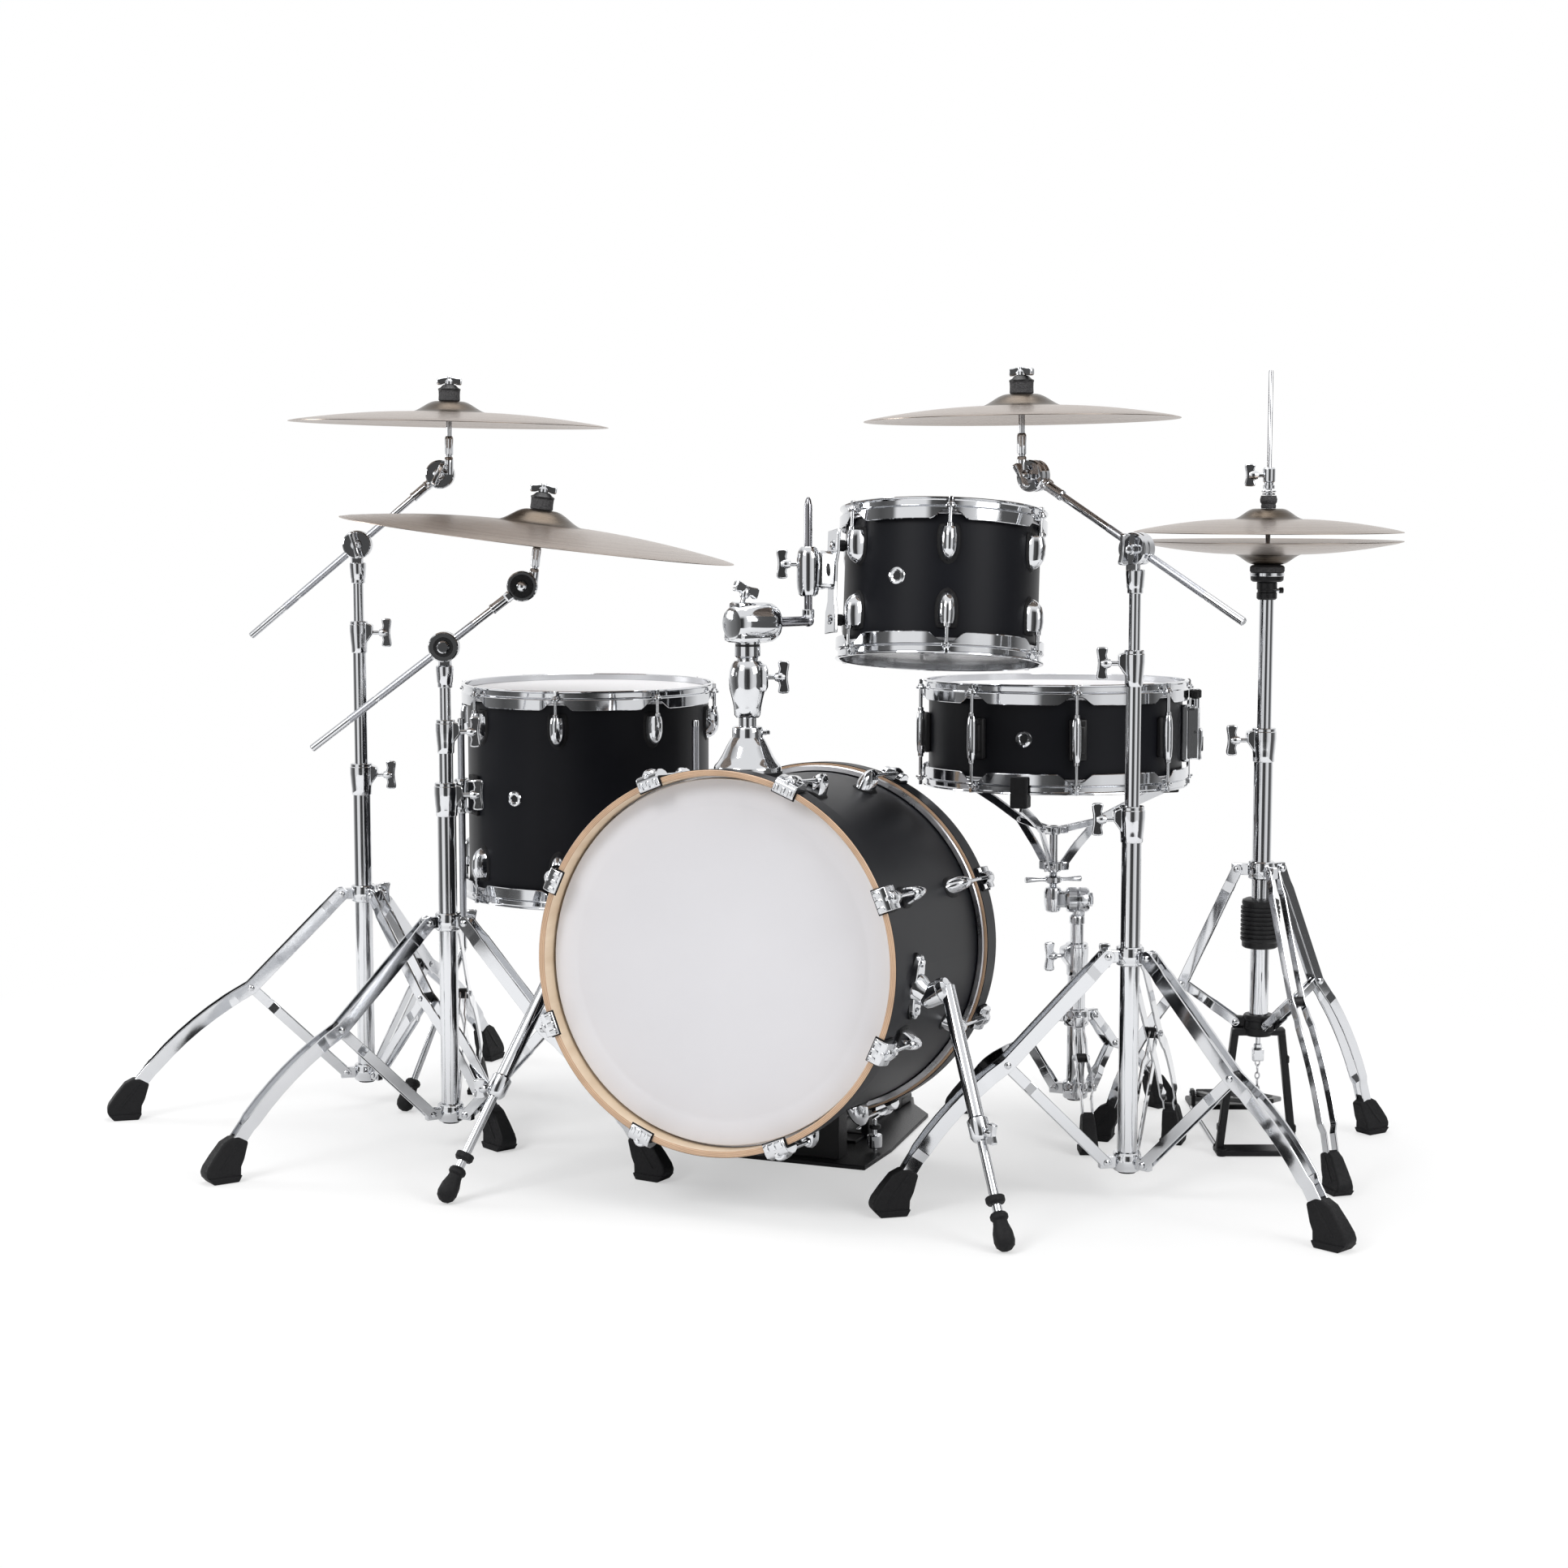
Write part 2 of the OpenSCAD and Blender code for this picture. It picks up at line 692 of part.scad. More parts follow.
module stand_cymbal(k) {
    at_cymbal_post(k)
        translate([post_offset, post_y, seat_rise])
            cymbal(stand_cymbal_d[k], stand_bell_d[k], stand_bell_h[k], stand_bow_h[k]);
}

// ---------- the three boom stands ----------

module left_stand_base() {
    color("silver") stand_base(0);
}

module left_stand_middle_tube() {
    color("silver") stand_middle_tube(0);
}

module left_stand_top_tube() {
    color("silver") stand_top_tube(0);
}

module left_boom_arm() {
    color("silver") boom_arm(0);
}

module left_cymbal_post() {
    color("silver") cymbal_post(0);
}

module left_crash_cymbal() {
    color("tan") stand_cymbal(0);
}

module ride_stand_base() {
    color("silver") stand_base(1);
}

module ride_stand_middle_tube() {
    color("silver") stand_middle_tube(1);
}

module ride_stand_top_tube() {
    color("silver") stand_top_tube(1);
}

module ride_boom_arm() {
    color("silver") boom_arm(1);
}

module ride_cymbal_post() {
    color("silver") cymbal_post(1);
}

module ride_cymbal() {
    color("tan") stand_cymbal(1);
}

module right_stand_base() {
    color("silver") stand_base(2);
}

module right_stand_middle_tube() {
    color("silver") stand_middle_tube(2);
}

module right_stand_top_tube() {
    color("silver") stand_top_tube(2);
}

module right_boom_arm() {
    color("silver") boom_arm(2);
}

module right_cymbal_post() {
    color("silver") cymbal_post(2);
}

module right_crash_cymbal() {
    color("tan") stand_cymbal(2);
}

// ---------- hi-hat ----------

hat_casting_top = hat_low_pivot_z + 12;
hat_casting_bottom = hat_low_pivot_z - 17;
hat_rim_z = hat_seat_z + hat_bell_h + hat_bow_h + cymbal_t;
hat_top_z = hat_rim_z + hat_gap + hat_bell_h + hat_bow_h;
spring_z = 286;
spring_h = 67;
hat_cup_h = 13;
hat_felt_h = 10;
hat_tilt_h = 23;
board_t = 7;
hat_toe_z = 78;
hat_toe_ahead = 24;
hat_heel_z = 24;
pin_d = 6;
upright_w = 14;
upright_foot = 51;
upright_head = 31;
floor_plate_h = 8;

module at_hat() {
    kit() translate([hat_at[0], hat_at[1], 0]) children();
}

module hihat_base() {
    color("silver") at_hat() {
        tube(base_tube_d, hat_casting_top, hat_clamp_top);
        rotate([0, 0, 180]) tube_clamp(hat_clamp_top, base_tube_d, middle_tube_d);
        tripod(hat_legs, hat_reach, hat_leg_top, hat_knee_r, hat_knee_z, hat_low_pivot_z,
               low_collar = false);
        translate([0, 0, spring_z]) ring(base_tube_d + 28, base_tube_d - tube_wall, spring_h);
    }
}

// One slanted upright between the floor plate and the casting
module hat_upright(side) {
    rotate([0, 0, 90])
        translate([0, upright_w / 2, 0])
            rotate([90, 0, 0])
                linear_extrude(upright_w)
                    polygon([[side * (upright_foot + 5), 0], [side * (upright_foot - 5), 0],
                             [side * (upright_head - 5), hat_casting_bottom + 9],
                             [side * (upright_head + 5), hat_casting_bottom + 9]]);
}

// Black casting under the tube, uprights, floor plate and heel plate
module hihat_pedal_frame() {
    low_r = pivot_r - 2;
    rail_w = 6;
    color("dimgray") at_hat() {
        difference() {
            union() {
                translate([0, 0, hat_casting_bottom])
                    cylinder(d = base_tube_d + 16, h = hat_casting_top - hat_casting_bottom);
                for (turn = hat_legs)
                    rotate([0, 0, turn]) leg_ear(low_r, hat_low_pivot_z);
                rotate([0, 0, hat_board_turn])
                    translate([-9, -upright_head - 5, hat_casting_bottom])
                        cube([18, 2 * upright_head + 10, 10]);
            }
            translate([0, 0, hat_casting_bottom - 1]) cylinder(d = pull_rod_d + 2, h = 60);
            for (turn = hat_legs)
                rotate([0, 0, turn])
                    pivot_pin(low_r, hat_low_pivot_z, 2 * strap_gap, rivet_d + 2 * gap);
        }
        rotate([0, 0, hat_board_turn]) {
            for (side = [-1, 1]) {
                hat_upright(side);
                rod([10, side * upright_foot, 5], [hat_board_len - 10, side * (board_w / 2 + rail_w), 5],
                    rail_w);
                difference() {
                    translate([hat_board_len - 12, side * (board_w / 2 + rail_w / 2 + gap) - rail_w / 2, 0])
                        cube([24, rail_w, hat_heel_z + 8]);
                    translate([hat_board_len, 0, hat_heel_z])
                        pivot_pin(0, 0, 2 * board_w, pin_d + 2 * fit);
                }
            }
            translate([-20, -upright_foot - 5, 0]) cube([40, 2 * upright_foot + 10, floor_plate_h]);
            translate([hat_board_len - 6, -board_w / 2 - rail_w, 0])
                cube([62, board_w + 2 * rail_w, floor_plate_h]);
        }
    }
}

// Flat board from its heel to its toe, with its hinge pin; outline is in [along, across]
module footboard(heel, toe, outline, barrel_len, pin_len) {
    aim(heel, toe)
        rotate([0, -90, 0])
            linear_extrude(board_t, center = true)
                polygon(outline);
    translate(heel) pivot_pin(0, 0, barrel_len, 2 * pin_d);
    translate(heel) pivot_pin(0, 0, pin_len, pin_d);
}

// Toe of the footboard at the rod, heel hinge behind it
module hihat_footboard() {
    heel = [hat_board_len, 0, hat_heel_z];
    toe = [-hat_toe_ahead, 0, hat_toe_z];
    length = norm(toe - heel);
    half = board_w / 2;
    color("dimgray") at_hat() rotate([0, 0, hat_board_turn])
        footboard(heel, toe,
                  [[0, -half + 2], [length * 0.72, -half], [length - 34, -half * 0.62],
                   [length - 6, -half * 0.45],
                   [length, 0], [length - 6, half * 0.45], [length - 34, half * 0.62], [length * 0.72, half],
                   [0, half - 2]],
                  board_w - 4, board_w + 12);
}

// Upper tube with the cup and felt that carry the bottom cymbal
module hihat_upper_tube() {
    cup_z = hat_seat_z - hat_felt_h - hat_cup_h;
    low_z = hat_clamp_top - tube_insert;
    color("silver") at_hat() difference() {
        union() {
            translate([0, 0, low_z]) cylinder(d = middle_tube_d, h = cup_z - hat_tilt_h - low_z);
            translate([0, 0, cup_z - hat_tilt_h]) cylinder(d = middle_tube_d + 8, h = hat_tilt_h);
            translate([0, 0, cup_z]) cylinder(d = felt_d + 15, h = hat_cup_h);
            translate([0, 0, cup_z + hat_cup_h]) cylinder(d = felt_d + 9, h = hat_felt_h);
            translate([0, 0, cup_z - hat_tilt_h / 2]) rotate([0, 90, 0]) cylinder(d = 8, h = 22);
        }
        translate([0, 0, low_z - 1]) cylinder(d = middle_bore, h = cup_z - low_z);
        translate([0, 0, hat_clamp_top]) cylinder(d = pull_rod_d + 2 * gap, h = hat_seat_z);
    }
}

// A cymbal of the hi-hat, its bell's inner face at z = 0
module hat_cymbal() {
    cymbal(hat_d, hat_bell_d, hat_bell_h, hat_bow_h);
}

module hihat_bottom_cymbal() {
    color("tan") at_hat()
        translate([0, 0, hat_seat_z + cymbal_t])
            mirror([0, 0, 1]) hat_cymbal();
}

module hihat_top_cymbal() {
    color("tan") at_hat() translate([0, 0, hat_top_z]) hat_cymbal();
}

// Pull rod, its lower connector and the chain down to the footboard
module hihat_pull_rod() {
    connector_z = hat_casting_bottom - 34;
    link = 11;
    board_slope = (hat_toe_z - hat_heel_z) / (hat_board_len + hat_toe_ahead);
    chain_low = hat_heel_z + board_slope * hat_board_len + board_t / 2 + 2;
    links = floor((connector_z - chain_low) / (link - 2));
    color("silver") at_hat() {
        translate([0, 0, connector_z]) cylinder(d = pull_rod_d, h = pull_rod_top - connector_z);
        translate([-8, -7, connector_z - 2]) cube([16, 14, 18]);
        for (i = [0 : links - 1])
            rotate([0, 0, 90 * (i % 2)])
                translate([-2, -4, connector_z + 1 - link - i * (link - 2)]) cube([4, 8, link]);
    }
}

clutch_low = 20;
clutch_h = 46;

// Clutch that holds the top cymbal on the rod
module hihat_clutch() {
    felt_top = hat_top_z + cymbal_t + gap;
    color("silver") at_hat() difference() {
        union() {
            translate([0, 0, hat_top_z - clutch_low]) cylinder(d = post_d, h = clutch_low + clutch_h);
            translate([0, 0, hat_top_z - clutch_low]) cylinder(d = 18, h = 7);
            translate([0, 0, hat_top_z - clutch_low + 7]) cylinder(d = felt_d, h = clutch_low - 7 - gap);
            translate([0, 0, felt_top]) cylinder(d = 22, h = 18);
            translate([0, 0, felt_top + 18]) cylinder(d = 18, h = 6);
            translate([0, 0, felt_top + 26]) cylinder(d = 16, h = 5);
            translate([0, 0, felt_top + 34]) cylinder(d = 17, h = 20);
            rotate([0, 0, 180]) translate([7, 0, felt_top + 44]) wing_bolt(9, 30);
        }
        translate([0, 0, hat_top_z - clutch_low - 1])
            cylinder(d = pull_rod_d + 2 * fit, h = clutch_low + clutch_h + 40);
    }
}

// ---------- drum parts, each drum with its top head at z = 0 and its shell below ----------

module drum_shell(d, depth) {
    translate([0, 0, -depth]) ring(d, d - 2 * shell_wall, depth);
}

// Head: film on the shell's edge, collar down its side and flesh ring around it
module drum_head(d, collar, flesh_out) {
    sleeve = d + 1;
    cylinder(d = sleeve, h = head_t);
    translate([0, 0, -collar - flesh_h]) ring(sleeve + 2 * head_t, sleeve, collar + flesh_h + head_t);
    translate([0, 0, -collar - flesh_h]) ring(d + 2 * flesh_out, sleeve, flesh_h);
}

// Pressed steel hoop with holes and scallops at its lugs
ledge = -4;
rod_out = hoop_out + 3.5;
ear_t = 4;
ear_up = 0.7;
module steel_hoop(d, count, turn) {
    r = d / 2;
    inner = r + 1.5 + head_t;
    wall = inner + 1;
    out = r + hoop_out;
    difference() {
        union() {
            rotate([0, 0, turn + 180 / count])
                rotate_extrude()
                    polygon([[inner, ledge], [out - hoop_t, ledge], [out - hoop_t, ledge - hoop_skirt],
                             [out, ledge - hoop_skirt], [out, ledge + hoop_t],
                             [wall + hoop_t, ledge + hoop_t],
                             [wall + hoop_t, ledge + hoop_rise - 3], [out, ledge + hoop_rise - 2],
                             [out, ledge + hoop_rise], [wall, ledge + hoop_rise], [wall, ledge + hoop_t],
                             [inner, ledge + hoop_t]]);
            around(count, turn)
                translate([r + rod_out, 0, ledge + ear_up]) cylinder(d = 14, h = ear_t - ear_up);
        }
        around(count, turn) {
            translate([r, 0, ledge - hoop_skirt - 8]) rotate([0, 90, 0]) cylinder(r = 19, h = 20);
            translate([r + rod_out, 0, ledge - 1]) cylinder(d = rod_d + 2 * gap, h = ear_t + 2);
        }
    }
}

// Bullet-shaped lug on the +X side, its near end inset below the head
module lug_body(d, out, inset, length) {
    r = d / 2;
    difference() {
        union() {
            translate([r + out - lug_w / 2, 0, -inset - length])
                rotate_extrude()
                    polygon([[0, 0], [4, 0.5], [lug_w * 0.38, length * 0.16], [lug_w / 2, length * 0.4],
                             [lug_w / 2, length * 0.72], [lug_w * 0.36, length], [0, length]]);
            translate([r - 2, -lug_w / 2, -inset - length + 5])
                cube([out - lug_w / 2 + 2, lug_w, length - 8]);
        }
        translate([0, 0, -inset - length - 1]) cylinder(d = d, h = length + 2);
    }
}

// Tension rod from z0 up to its washer at z1, with its square head
module tension_rod(x, z0, z1) {
    translate([x, 0, z0]) cylinder(d = rod_d, h = z1 - z0);
    translate([x, 0, z1]) cylinder(d = 2 * rod_d, h = 3);
    translate([x - rod_d / 2, -rod_d / 2, z1 + 3]) cube([rod_d, rod_d, 7]);
}

module single_lug(d) {
    lug_body(d, lug_out, lug_inset, lug_len);
    tension_rod(d / 2 + rod_out, -lug_inset - 4, ledge + ear_t);
}

// Two-ended lug with a rod up and a rod down
module double_lug(d, depth) {
    r = d / 2;
    difference() {
        translate([r - 2, -8.5, -(depth + snare_lug_len) / 2]) cube([lug_out - 1, 17, snare_lug_len]);
        translate([0, 0, -depth]) cylinder(d = d, h = depth);
        for (side = [-1, 1])
            translate([r + 1, side * 14.5, -depth]) cylinder(r = 8, h = depth);
    }
    both_ends(depth) tension_rod(r + rod_out, -depth / 2, ledge + ear_t);
}

// Copies children to both ends of a drum
module both_ends(depth) {
    children();
    translate([0, 0, -depth]) mirror([0, 0, 1]) children();
}

// Copies children around a drum
module around(count, turn) {
    for (i = [0 : count - 1])
        rotate([0, 0, turn + i * 360 / count]) children();
}

// Height of a steel hoop's top edge above the head
hoop_top = ledge + hoop_rise;
tom_flesh = 4.5;

// ---------- rack tom ----------

rack_lugs = 6;
rack_turn = 30;

module at_rack() {
    kit() translate(rack_at)
        rotate([-rack_tilt, rack_lean, 0])
            translate([0, 0, -hoop_top])
                children();
}

module rack_tom_shell() {
    color("#1b1d20") at_rack() drum_shell(rack_d, rack_depth);
}

module rack_tom_hoops() {
    color("silver") at_rack() both_ends(rack_depth) steel_hoop(rack_d, rack_lugs, rack_turn);
}

module rack_tom_heads() {
    color("white") at_rack() both_ends(rack_depth) drum_head(rack_d, -ledge, tom_flesh);
}

module rack_tom_lugs() {
    color("silver") at_rack() both_ends(rack_depth) around(rack_lugs, rack_turn) single_lug(rack_d);
}

// ---------- floor tom ----------

floor_lugs = 8;
floor_leg_turns = [205, 325, 85];
floor_bracket_z = -150;
floor_bracket_h = 50;
floor_bend_drop = 90;
tip_r = 13;

module at_floor() {
    kit() translate([floor_at[0], floor_at[1], floor_z - hoop_top]) children();
}

module floor_tom_shell() {
    color("#1b1d20") at_floor() drum_shell(floor_d, floor_depth);
}

module floor_tom_hoops() {
    color("silver") at_floor() both_ends(floor_depth) steel_hoop(floor_d, floor_lugs, floor_lug_turn - 90);
}

module floor_tom_heads() {
    color("white") at_floor() both_ends(floor_depth) drum_head(floor_d, -ledge, tom_flesh);
}

// Bracket on the shell that clamps a leg
module leg_bracket() {
    r = floor_d / 2;
    z = floor_bracket_z - floor_bracket_h / 2;
    difference() {
        union() {
            translate([r - 2, -15, z]) cube([floor_leg_off - 4, 30, floor_bracket_h]);
            translate([r + floor_leg_off, 0, z]) cylinder(d = floor_leg_d + 12, h = floor_bracket_h);
            translate([r + floor_leg_off, 9, floor_bracket_z]) rotate([0, 0, 60]) wing_bolt(12, 34);
        }
        translate([0, 0, z - 1]) cylinder(d = floor_d, h = floor_bracket_h + 2);
        translate([r + floor_leg_off, 0, z - 1]) cylinder(d = floor_leg_d + 2 * fit, h = floor_bracket_h + 2);
    }
}

module floor_tom_lugs() {
    color("silver") at_floor() {
        both_ends(floor_depth) around(floor_lugs, floor_lug_turn - 90) single_lug(floor_d);
        for (turn = floor_leg_turns)
            rotate([0, 0, turn]) leg_bracket();
    }
}

// Straight rod that bends outwards below the drum, with its rubber tip
module floor_leg(i) {
    r = floor_d / 2 + floor_leg_off;
    bend = [r, 0, floor_z - floor_depth - floor_bend_drop];
    foot = [floor_leg_reach, 0, tip_r];
    kit() translate([floor_at[0], floor_at[1], 0])
        rotate([0, 0, floor_leg_turns[i]]) {
            rod(bend, [r, 0, floor_leg_top], floor_leg_d);
            translate(bend) sphere(d = floor_leg_d + 1.5);
            rod(bend, foot, floor_leg_d);
            rubber_tip(bend, foot);
        }
}

// Rounded rubber tip around the end of a rod that comes from p
module rubber_tip(p, foot) {
    rod(foot, foot + unit(p - foot) * 44, 1.7 * tip_r);
    translate(foot) sphere(r = tip_r);
}

module floor_tom_leg_left() {
    color("silver") floor_leg(0);
}

module floor_tom_leg_right() {
    color("silver") floor_leg(1);
}

module floor_tom_leg_back() {
    color("silver") floor_leg(2);
}

// ---------- snare drum and its stand ----------

snare_lug_count = 8;
snare_turn = 3 - 90;
lever_turn = -12;
lever_axis_z = -62;
lever_out = 19;

module at_snare() {
    kit() translate([snare_at[0], snare_at[1], snare_z])
        rotate([-snare_tilt, 0, 0])
            translate([0, 0, -hoop_top])
                children();
}

module snare_shell() {
    color("#1b1d20") at_snare() drum_shell(snare_d, snare_depth);
}

module snare_hoops() {
    color("silver") at_snare() both_ends(snare_depth) steel_hoop(snare_d, snare_lug_count, snare_turn);
}

module snare_heads() {
    color("white") at_snare() both_ends(snare_depth) drum_head(snare_d, -ledge, tom_flesh);
}

// Strainer body with its knob, around the lever's pivot
module strainer(r) {
    difference() {
        union() {
            translate([r - 2, -15, -104]) cube([12, 30, 80]);
            for (side = [-1, 1])
                translate([r + 8, side * 12.5 - 2.5, -100]) cube([16, 5, 72]);
            translate([r + 18, 0, -34]) cylinder(d = 12, h = 20);
            translate([r + 18, 0, -14]) cylinder(d = 17, h = 12);
            translate([r + 6, -15, -34]) cube([14, 30, 8]);
        }
        translate([0, 0, -snare_depth]) cylinder(d = snare_d, h = snare_depth);
        translate([0, 0, lever_axis_z]) pivot_pin(r + lever_out, 0, 60, pin_d + 2 * fit);
    }
}

// Lugs, strainer and the butt plate opposite to it
module snare_lugs() {
    r = snare_d / 2;
    color("silver") at_snare() {
        around(snare_lug_count, snare_turn) double_lug(snare_d, snare_depth);
        rotate([0, 0, lever_turn]) strainer(r);
        rotate([0, 0, lever_turn + 180]) difference() {
            translate([r - 2, -16, -96]) cube([14, 32, 34]);
            translate([0, 0, -snare_depth]) cylinder(d = snare_d, h = snare_depth);
        }
    }
}

module snare_throw_lever() {
    color("silver") at_snare() rotate([0, 0, lever_turn])
        translate([snare_d / 2 + lever_out, 0, lever_axis_z]) {
            pivot_pin(0, 0, 30, pin_d);
            pivot_pin(0, 0, 19, pin_d + 5);
            translate([2, -9.5, -40]) cube([8, 19, 46]);
        }
}

// Coiled wires across the bottom head, with their end plates
module snare_wires() {
    r = snare_d / 2;
    z = -snare_depth - head_t - gap;
    wire_count = 8;
    wire_step = 4;
    color("silver") at_snare() rotate([0, 0, lever_turn]) {
        for (i = [0 : wire_count])
            translate([-r + 44, (i - wire_count / 2) * wire_step - 1, z - 3]) cube([snare_d - 88, 2, 2]);
        for (side = [-1, 1])
            translate([side * (r - 38) - 8, -20, z - 4]) cube([16, 40, 4]);
    }
}

basket_half = 16;
basket_disc_d = 36;
basket_bolt_d = 10;
hub_low_z = 371;
hub_top_z = 423;
grip_turns = [250, 23, 128];
snare_low_z = snare_z - 2 * hoop_top - snare_depth;

module at_snare_stand() {
    kit() translate([snare_stand_at[0], snare_stand_at[1], 0]) children();
}

module snare_stand_base() {
    color("silver") at_snare_stand() {
        tube(base_tube_d, low_pivot_z - collar_h / 2, snare_clamp_top);
        rotate([0, 0, 200]) tube_clamp(snare_clamp_top, base_tube_d, middle_tube_d);
        tripod(snare_legs, snare_reach, snare_leg_top, snare_knee_r, snare_knee_z, low_pivot_z);
    }
}

// Upper tube with the fixed half of the basket's tilter
module snare_stand_upper_tube() {
    low_z = low_pivot_z + collar_h;
    color("silver") at_snare_stand() {
        translate([0, 0, low_z]) cylinder(d = middle_tube_d, h = basket_pivot_z - 34 - low_z);
        translate([0, 0, basket_pivot_z - 34]) cylinder(d = middle_tube_d + 3, h = 12);
        difference() {
            union() {
                translate([gap / 2, 0, basket_pivot_z])
                    rotate([0, 90, 0]) cylinder(d = basket_disc_d, h = basket_half);
                translate([gap / 2, -8, basket_pivot_z - 24]) cube([10, 16, 14]);
            }
            translate([-1, 0, basket_pivot_z])
                rotate([0, 90, 0]) cylinder(d = basket_bolt_d + 2 * fit, h = basket_half + 2);
        }
    }
}

// One bent arm of the basket with its rubber grip, towards +X of the hub
module basket_arm() {
    strap([[14, hub_low_z], [72, hub_top_z + 10], [basket_r - 4, snare_low_z - 14]], 13, 4);
    strap([[11, hub_top_z], [70, hub_top_z + 9]], 9, 7);
    translate([basket_r - 12, -12, snare_low_z - 18]) cube([24, 24, 42]);
}

// Basket: tilting half, threaded post, hub and three arms with rubber grips
module snare_stand_basket() {
    hub = snare_at - snare_stand_at;
    color("silver") {
        at_snare_stand() {
            translate([-basket_half - gap / 2, 0, basket_pivot_z])
                rotate([0, 90, 0]) cylinder(d = basket_disc_d, h = basket_half);
            translate([-2, 0, basket_pivot_z])
                rotate([0, 90, 0]) cylinder(d = basket_bolt_d, h = basket_half + 8);
            translate([hub[0] - 10, hub[1] - 12, basket_pivot_z - 14])
                cube([12 - hub[0] - basket_half, 22, 30]);
        }
        kit() translate([snare_at[0], snare_at[1], 0]) {
            translate([0, 0, basket_pivot_z]) cylinder(d = 12, h = hub_top_z - basket_pivot_z);
            translate([0, 0, hub_low_z - 24]) cylinder(d = 24, h = 10);
            translate([0, 0, hub_low_z - 7]) cylinder(d = 34, h = 14);
            translate([0, 0, hub_top_z - 6]) cylinder(d = 28, h = 12);
        }
        difference() {
            kit() translate([snare_at[0], snare_at[1], 0])
                for (turn = grip_turns)
                    rotate([0, 0, turn]) basket_arm();
            at_snare() translate([0, 0, -snare_depth - hoop_top - fit])
                cylinder(d = snare_d + 2 * hoop_out + 2 * gap, h = snare_depth);
        }
    }
}
// ---------- bass drum ----------

bass_lugs = 8;
bass_lug_out = 29;
bass_rod_x = bass_d / 2 + 19.5;
wood_hoop_d = bass_d + 26;
hoop_back = wood_hoop_h - wood_hoop_front;
bass_lug_inset = 72;
bass_lug_len = 38;
claw_w = 28;
claw_t = 3;
spur_drop = 6;
spur_r = 262;
spur_half = 12;
spur_knuckle = 32;

// Directions of the drum's axis (towards its back), its side and its top
bass_axis = [sin(bass_turn) * cos(bass_tilt), cos(bass_turn) * cos(bass_tilt), -sin(bass_tilt)];
bass_side = [cos(bass_turn), -sin(bass_turn), 0];
bass_up = [sin(bass_turn) * sin(bass_tilt), cos(bass_turn) * sin(bass_tilt), cos(bass_tilt)];
function on_bass(along, side, up) =
    [bass_at[0], bass_at[1], bass_z] + along * bass_axis + side * bass_side + up * bass_up;

// Frame of the front head: Z towards the front, Y up
module at_bass() {
    kit() translate(on_bass(wood_hoop_front, 0, 0))
        rotate([0, 0, -bass_turn])
            rotate([90 - bass_tilt, 0, 0])
                children();
}

// Solid of the drum's outside, to cut pieces that sit on it
module bass_outside(d) {
    at_bass() translate([0, 0, -bass_depth - wood_hoop_front])
        cylinder(d = d, h = bass_depth + 2 * wood_hoop_front);
}

module bass_drum_shell() {
    color("#1b1d20") difference() {
        at_bass() drum_shell(bass_d, bass_depth);
        kit() translate([holder_at[0], holder_at[1], holder_post_low])
            cylinder(d = holder_post_d + 6, h = 120);
    }
}

// Wooden hoops, standing out past the heads
module bass_drum_hoops() {
    color("#1b1d20") at_bass() both_ends(bass_depth)
        translate([0, 0, -hoop_back]) ring(wood_hoop_d, wood_hoop_d - 2 * wood_hoop_t, wood_hoop_h);
}

module bass_drum_heads() {
    color("white") at_bass() both_ends(bass_depth) drum_head(bass_d, hoop_back, 9);
}

// Claw over the wooden hoop's edge
module claw() {
    lip = 11;
    outer = wood_hoop_d / 2 + gap;
    translate([outer - lip, -claw_w / 2, wood_hoop_front + gap]) cube([lip + claw_t, claw_w, claw_t]);
    translate([outer, -claw_w / 2, -4]) cube([claw_t, claw_w, wood_hoop_front + gap + claw_t + 4]);
    translate([bass_rod_x, 0, -4]) cylinder(d = 12.5, h = 26);
}

module bass_lug() {
    claw();
    lug_body(bass_d, bass_lug_out, bass_lug_inset, bass_lug_len);
    tension_rod(bass_rod_x, -bass_lug_inset - 4, 22);
}

function spur_pivot(side) =
    on_bass(spur_along, side * spur_r * cos(spur_drop), -spur_r * sin(spur_drop));
function spur_foot(side) =
    side > 0 ? [right_spur_foot[0], right_spur_foot[1], tip_r]
             : [left_spur_foot[0], left_spur_foot[1], tip_r];
// Outward direction of a spur's hinge, across the spur and the drum's axis
function spur_hinge(side) =
    unit(cross(spur_foot(side) - spur_pivot(side), [bass_axis[0], bass_axis[1], 0])) * side;

// Bracket on the shell that carries a spur
module spur_bracket(side) {
    p = spur_pivot(side);
    hinge = spur_hinge(side);
    difference() {
        kit() {
            rod(p - hinge * 56, p - hinge * gap / 2, spur_knuckle - 2);
            rod(on_bass(spur_along, 0, 0), p - hinge * (spur_half + 6), 52);
        }
        bass_outside(bass_d);
        kit() rod(p - hinge * (spur_half + 8), p + hinge, 8 + 2 * fit);
    }
}

module bass_drum_lugs() {
    color("silver") {
        at_bass() both_ends(bass_depth) around(bass_lugs, 180 / bass_lugs) bass_lug();
        for (side = [-1, 1]) spur_bracket(side);
    }
}

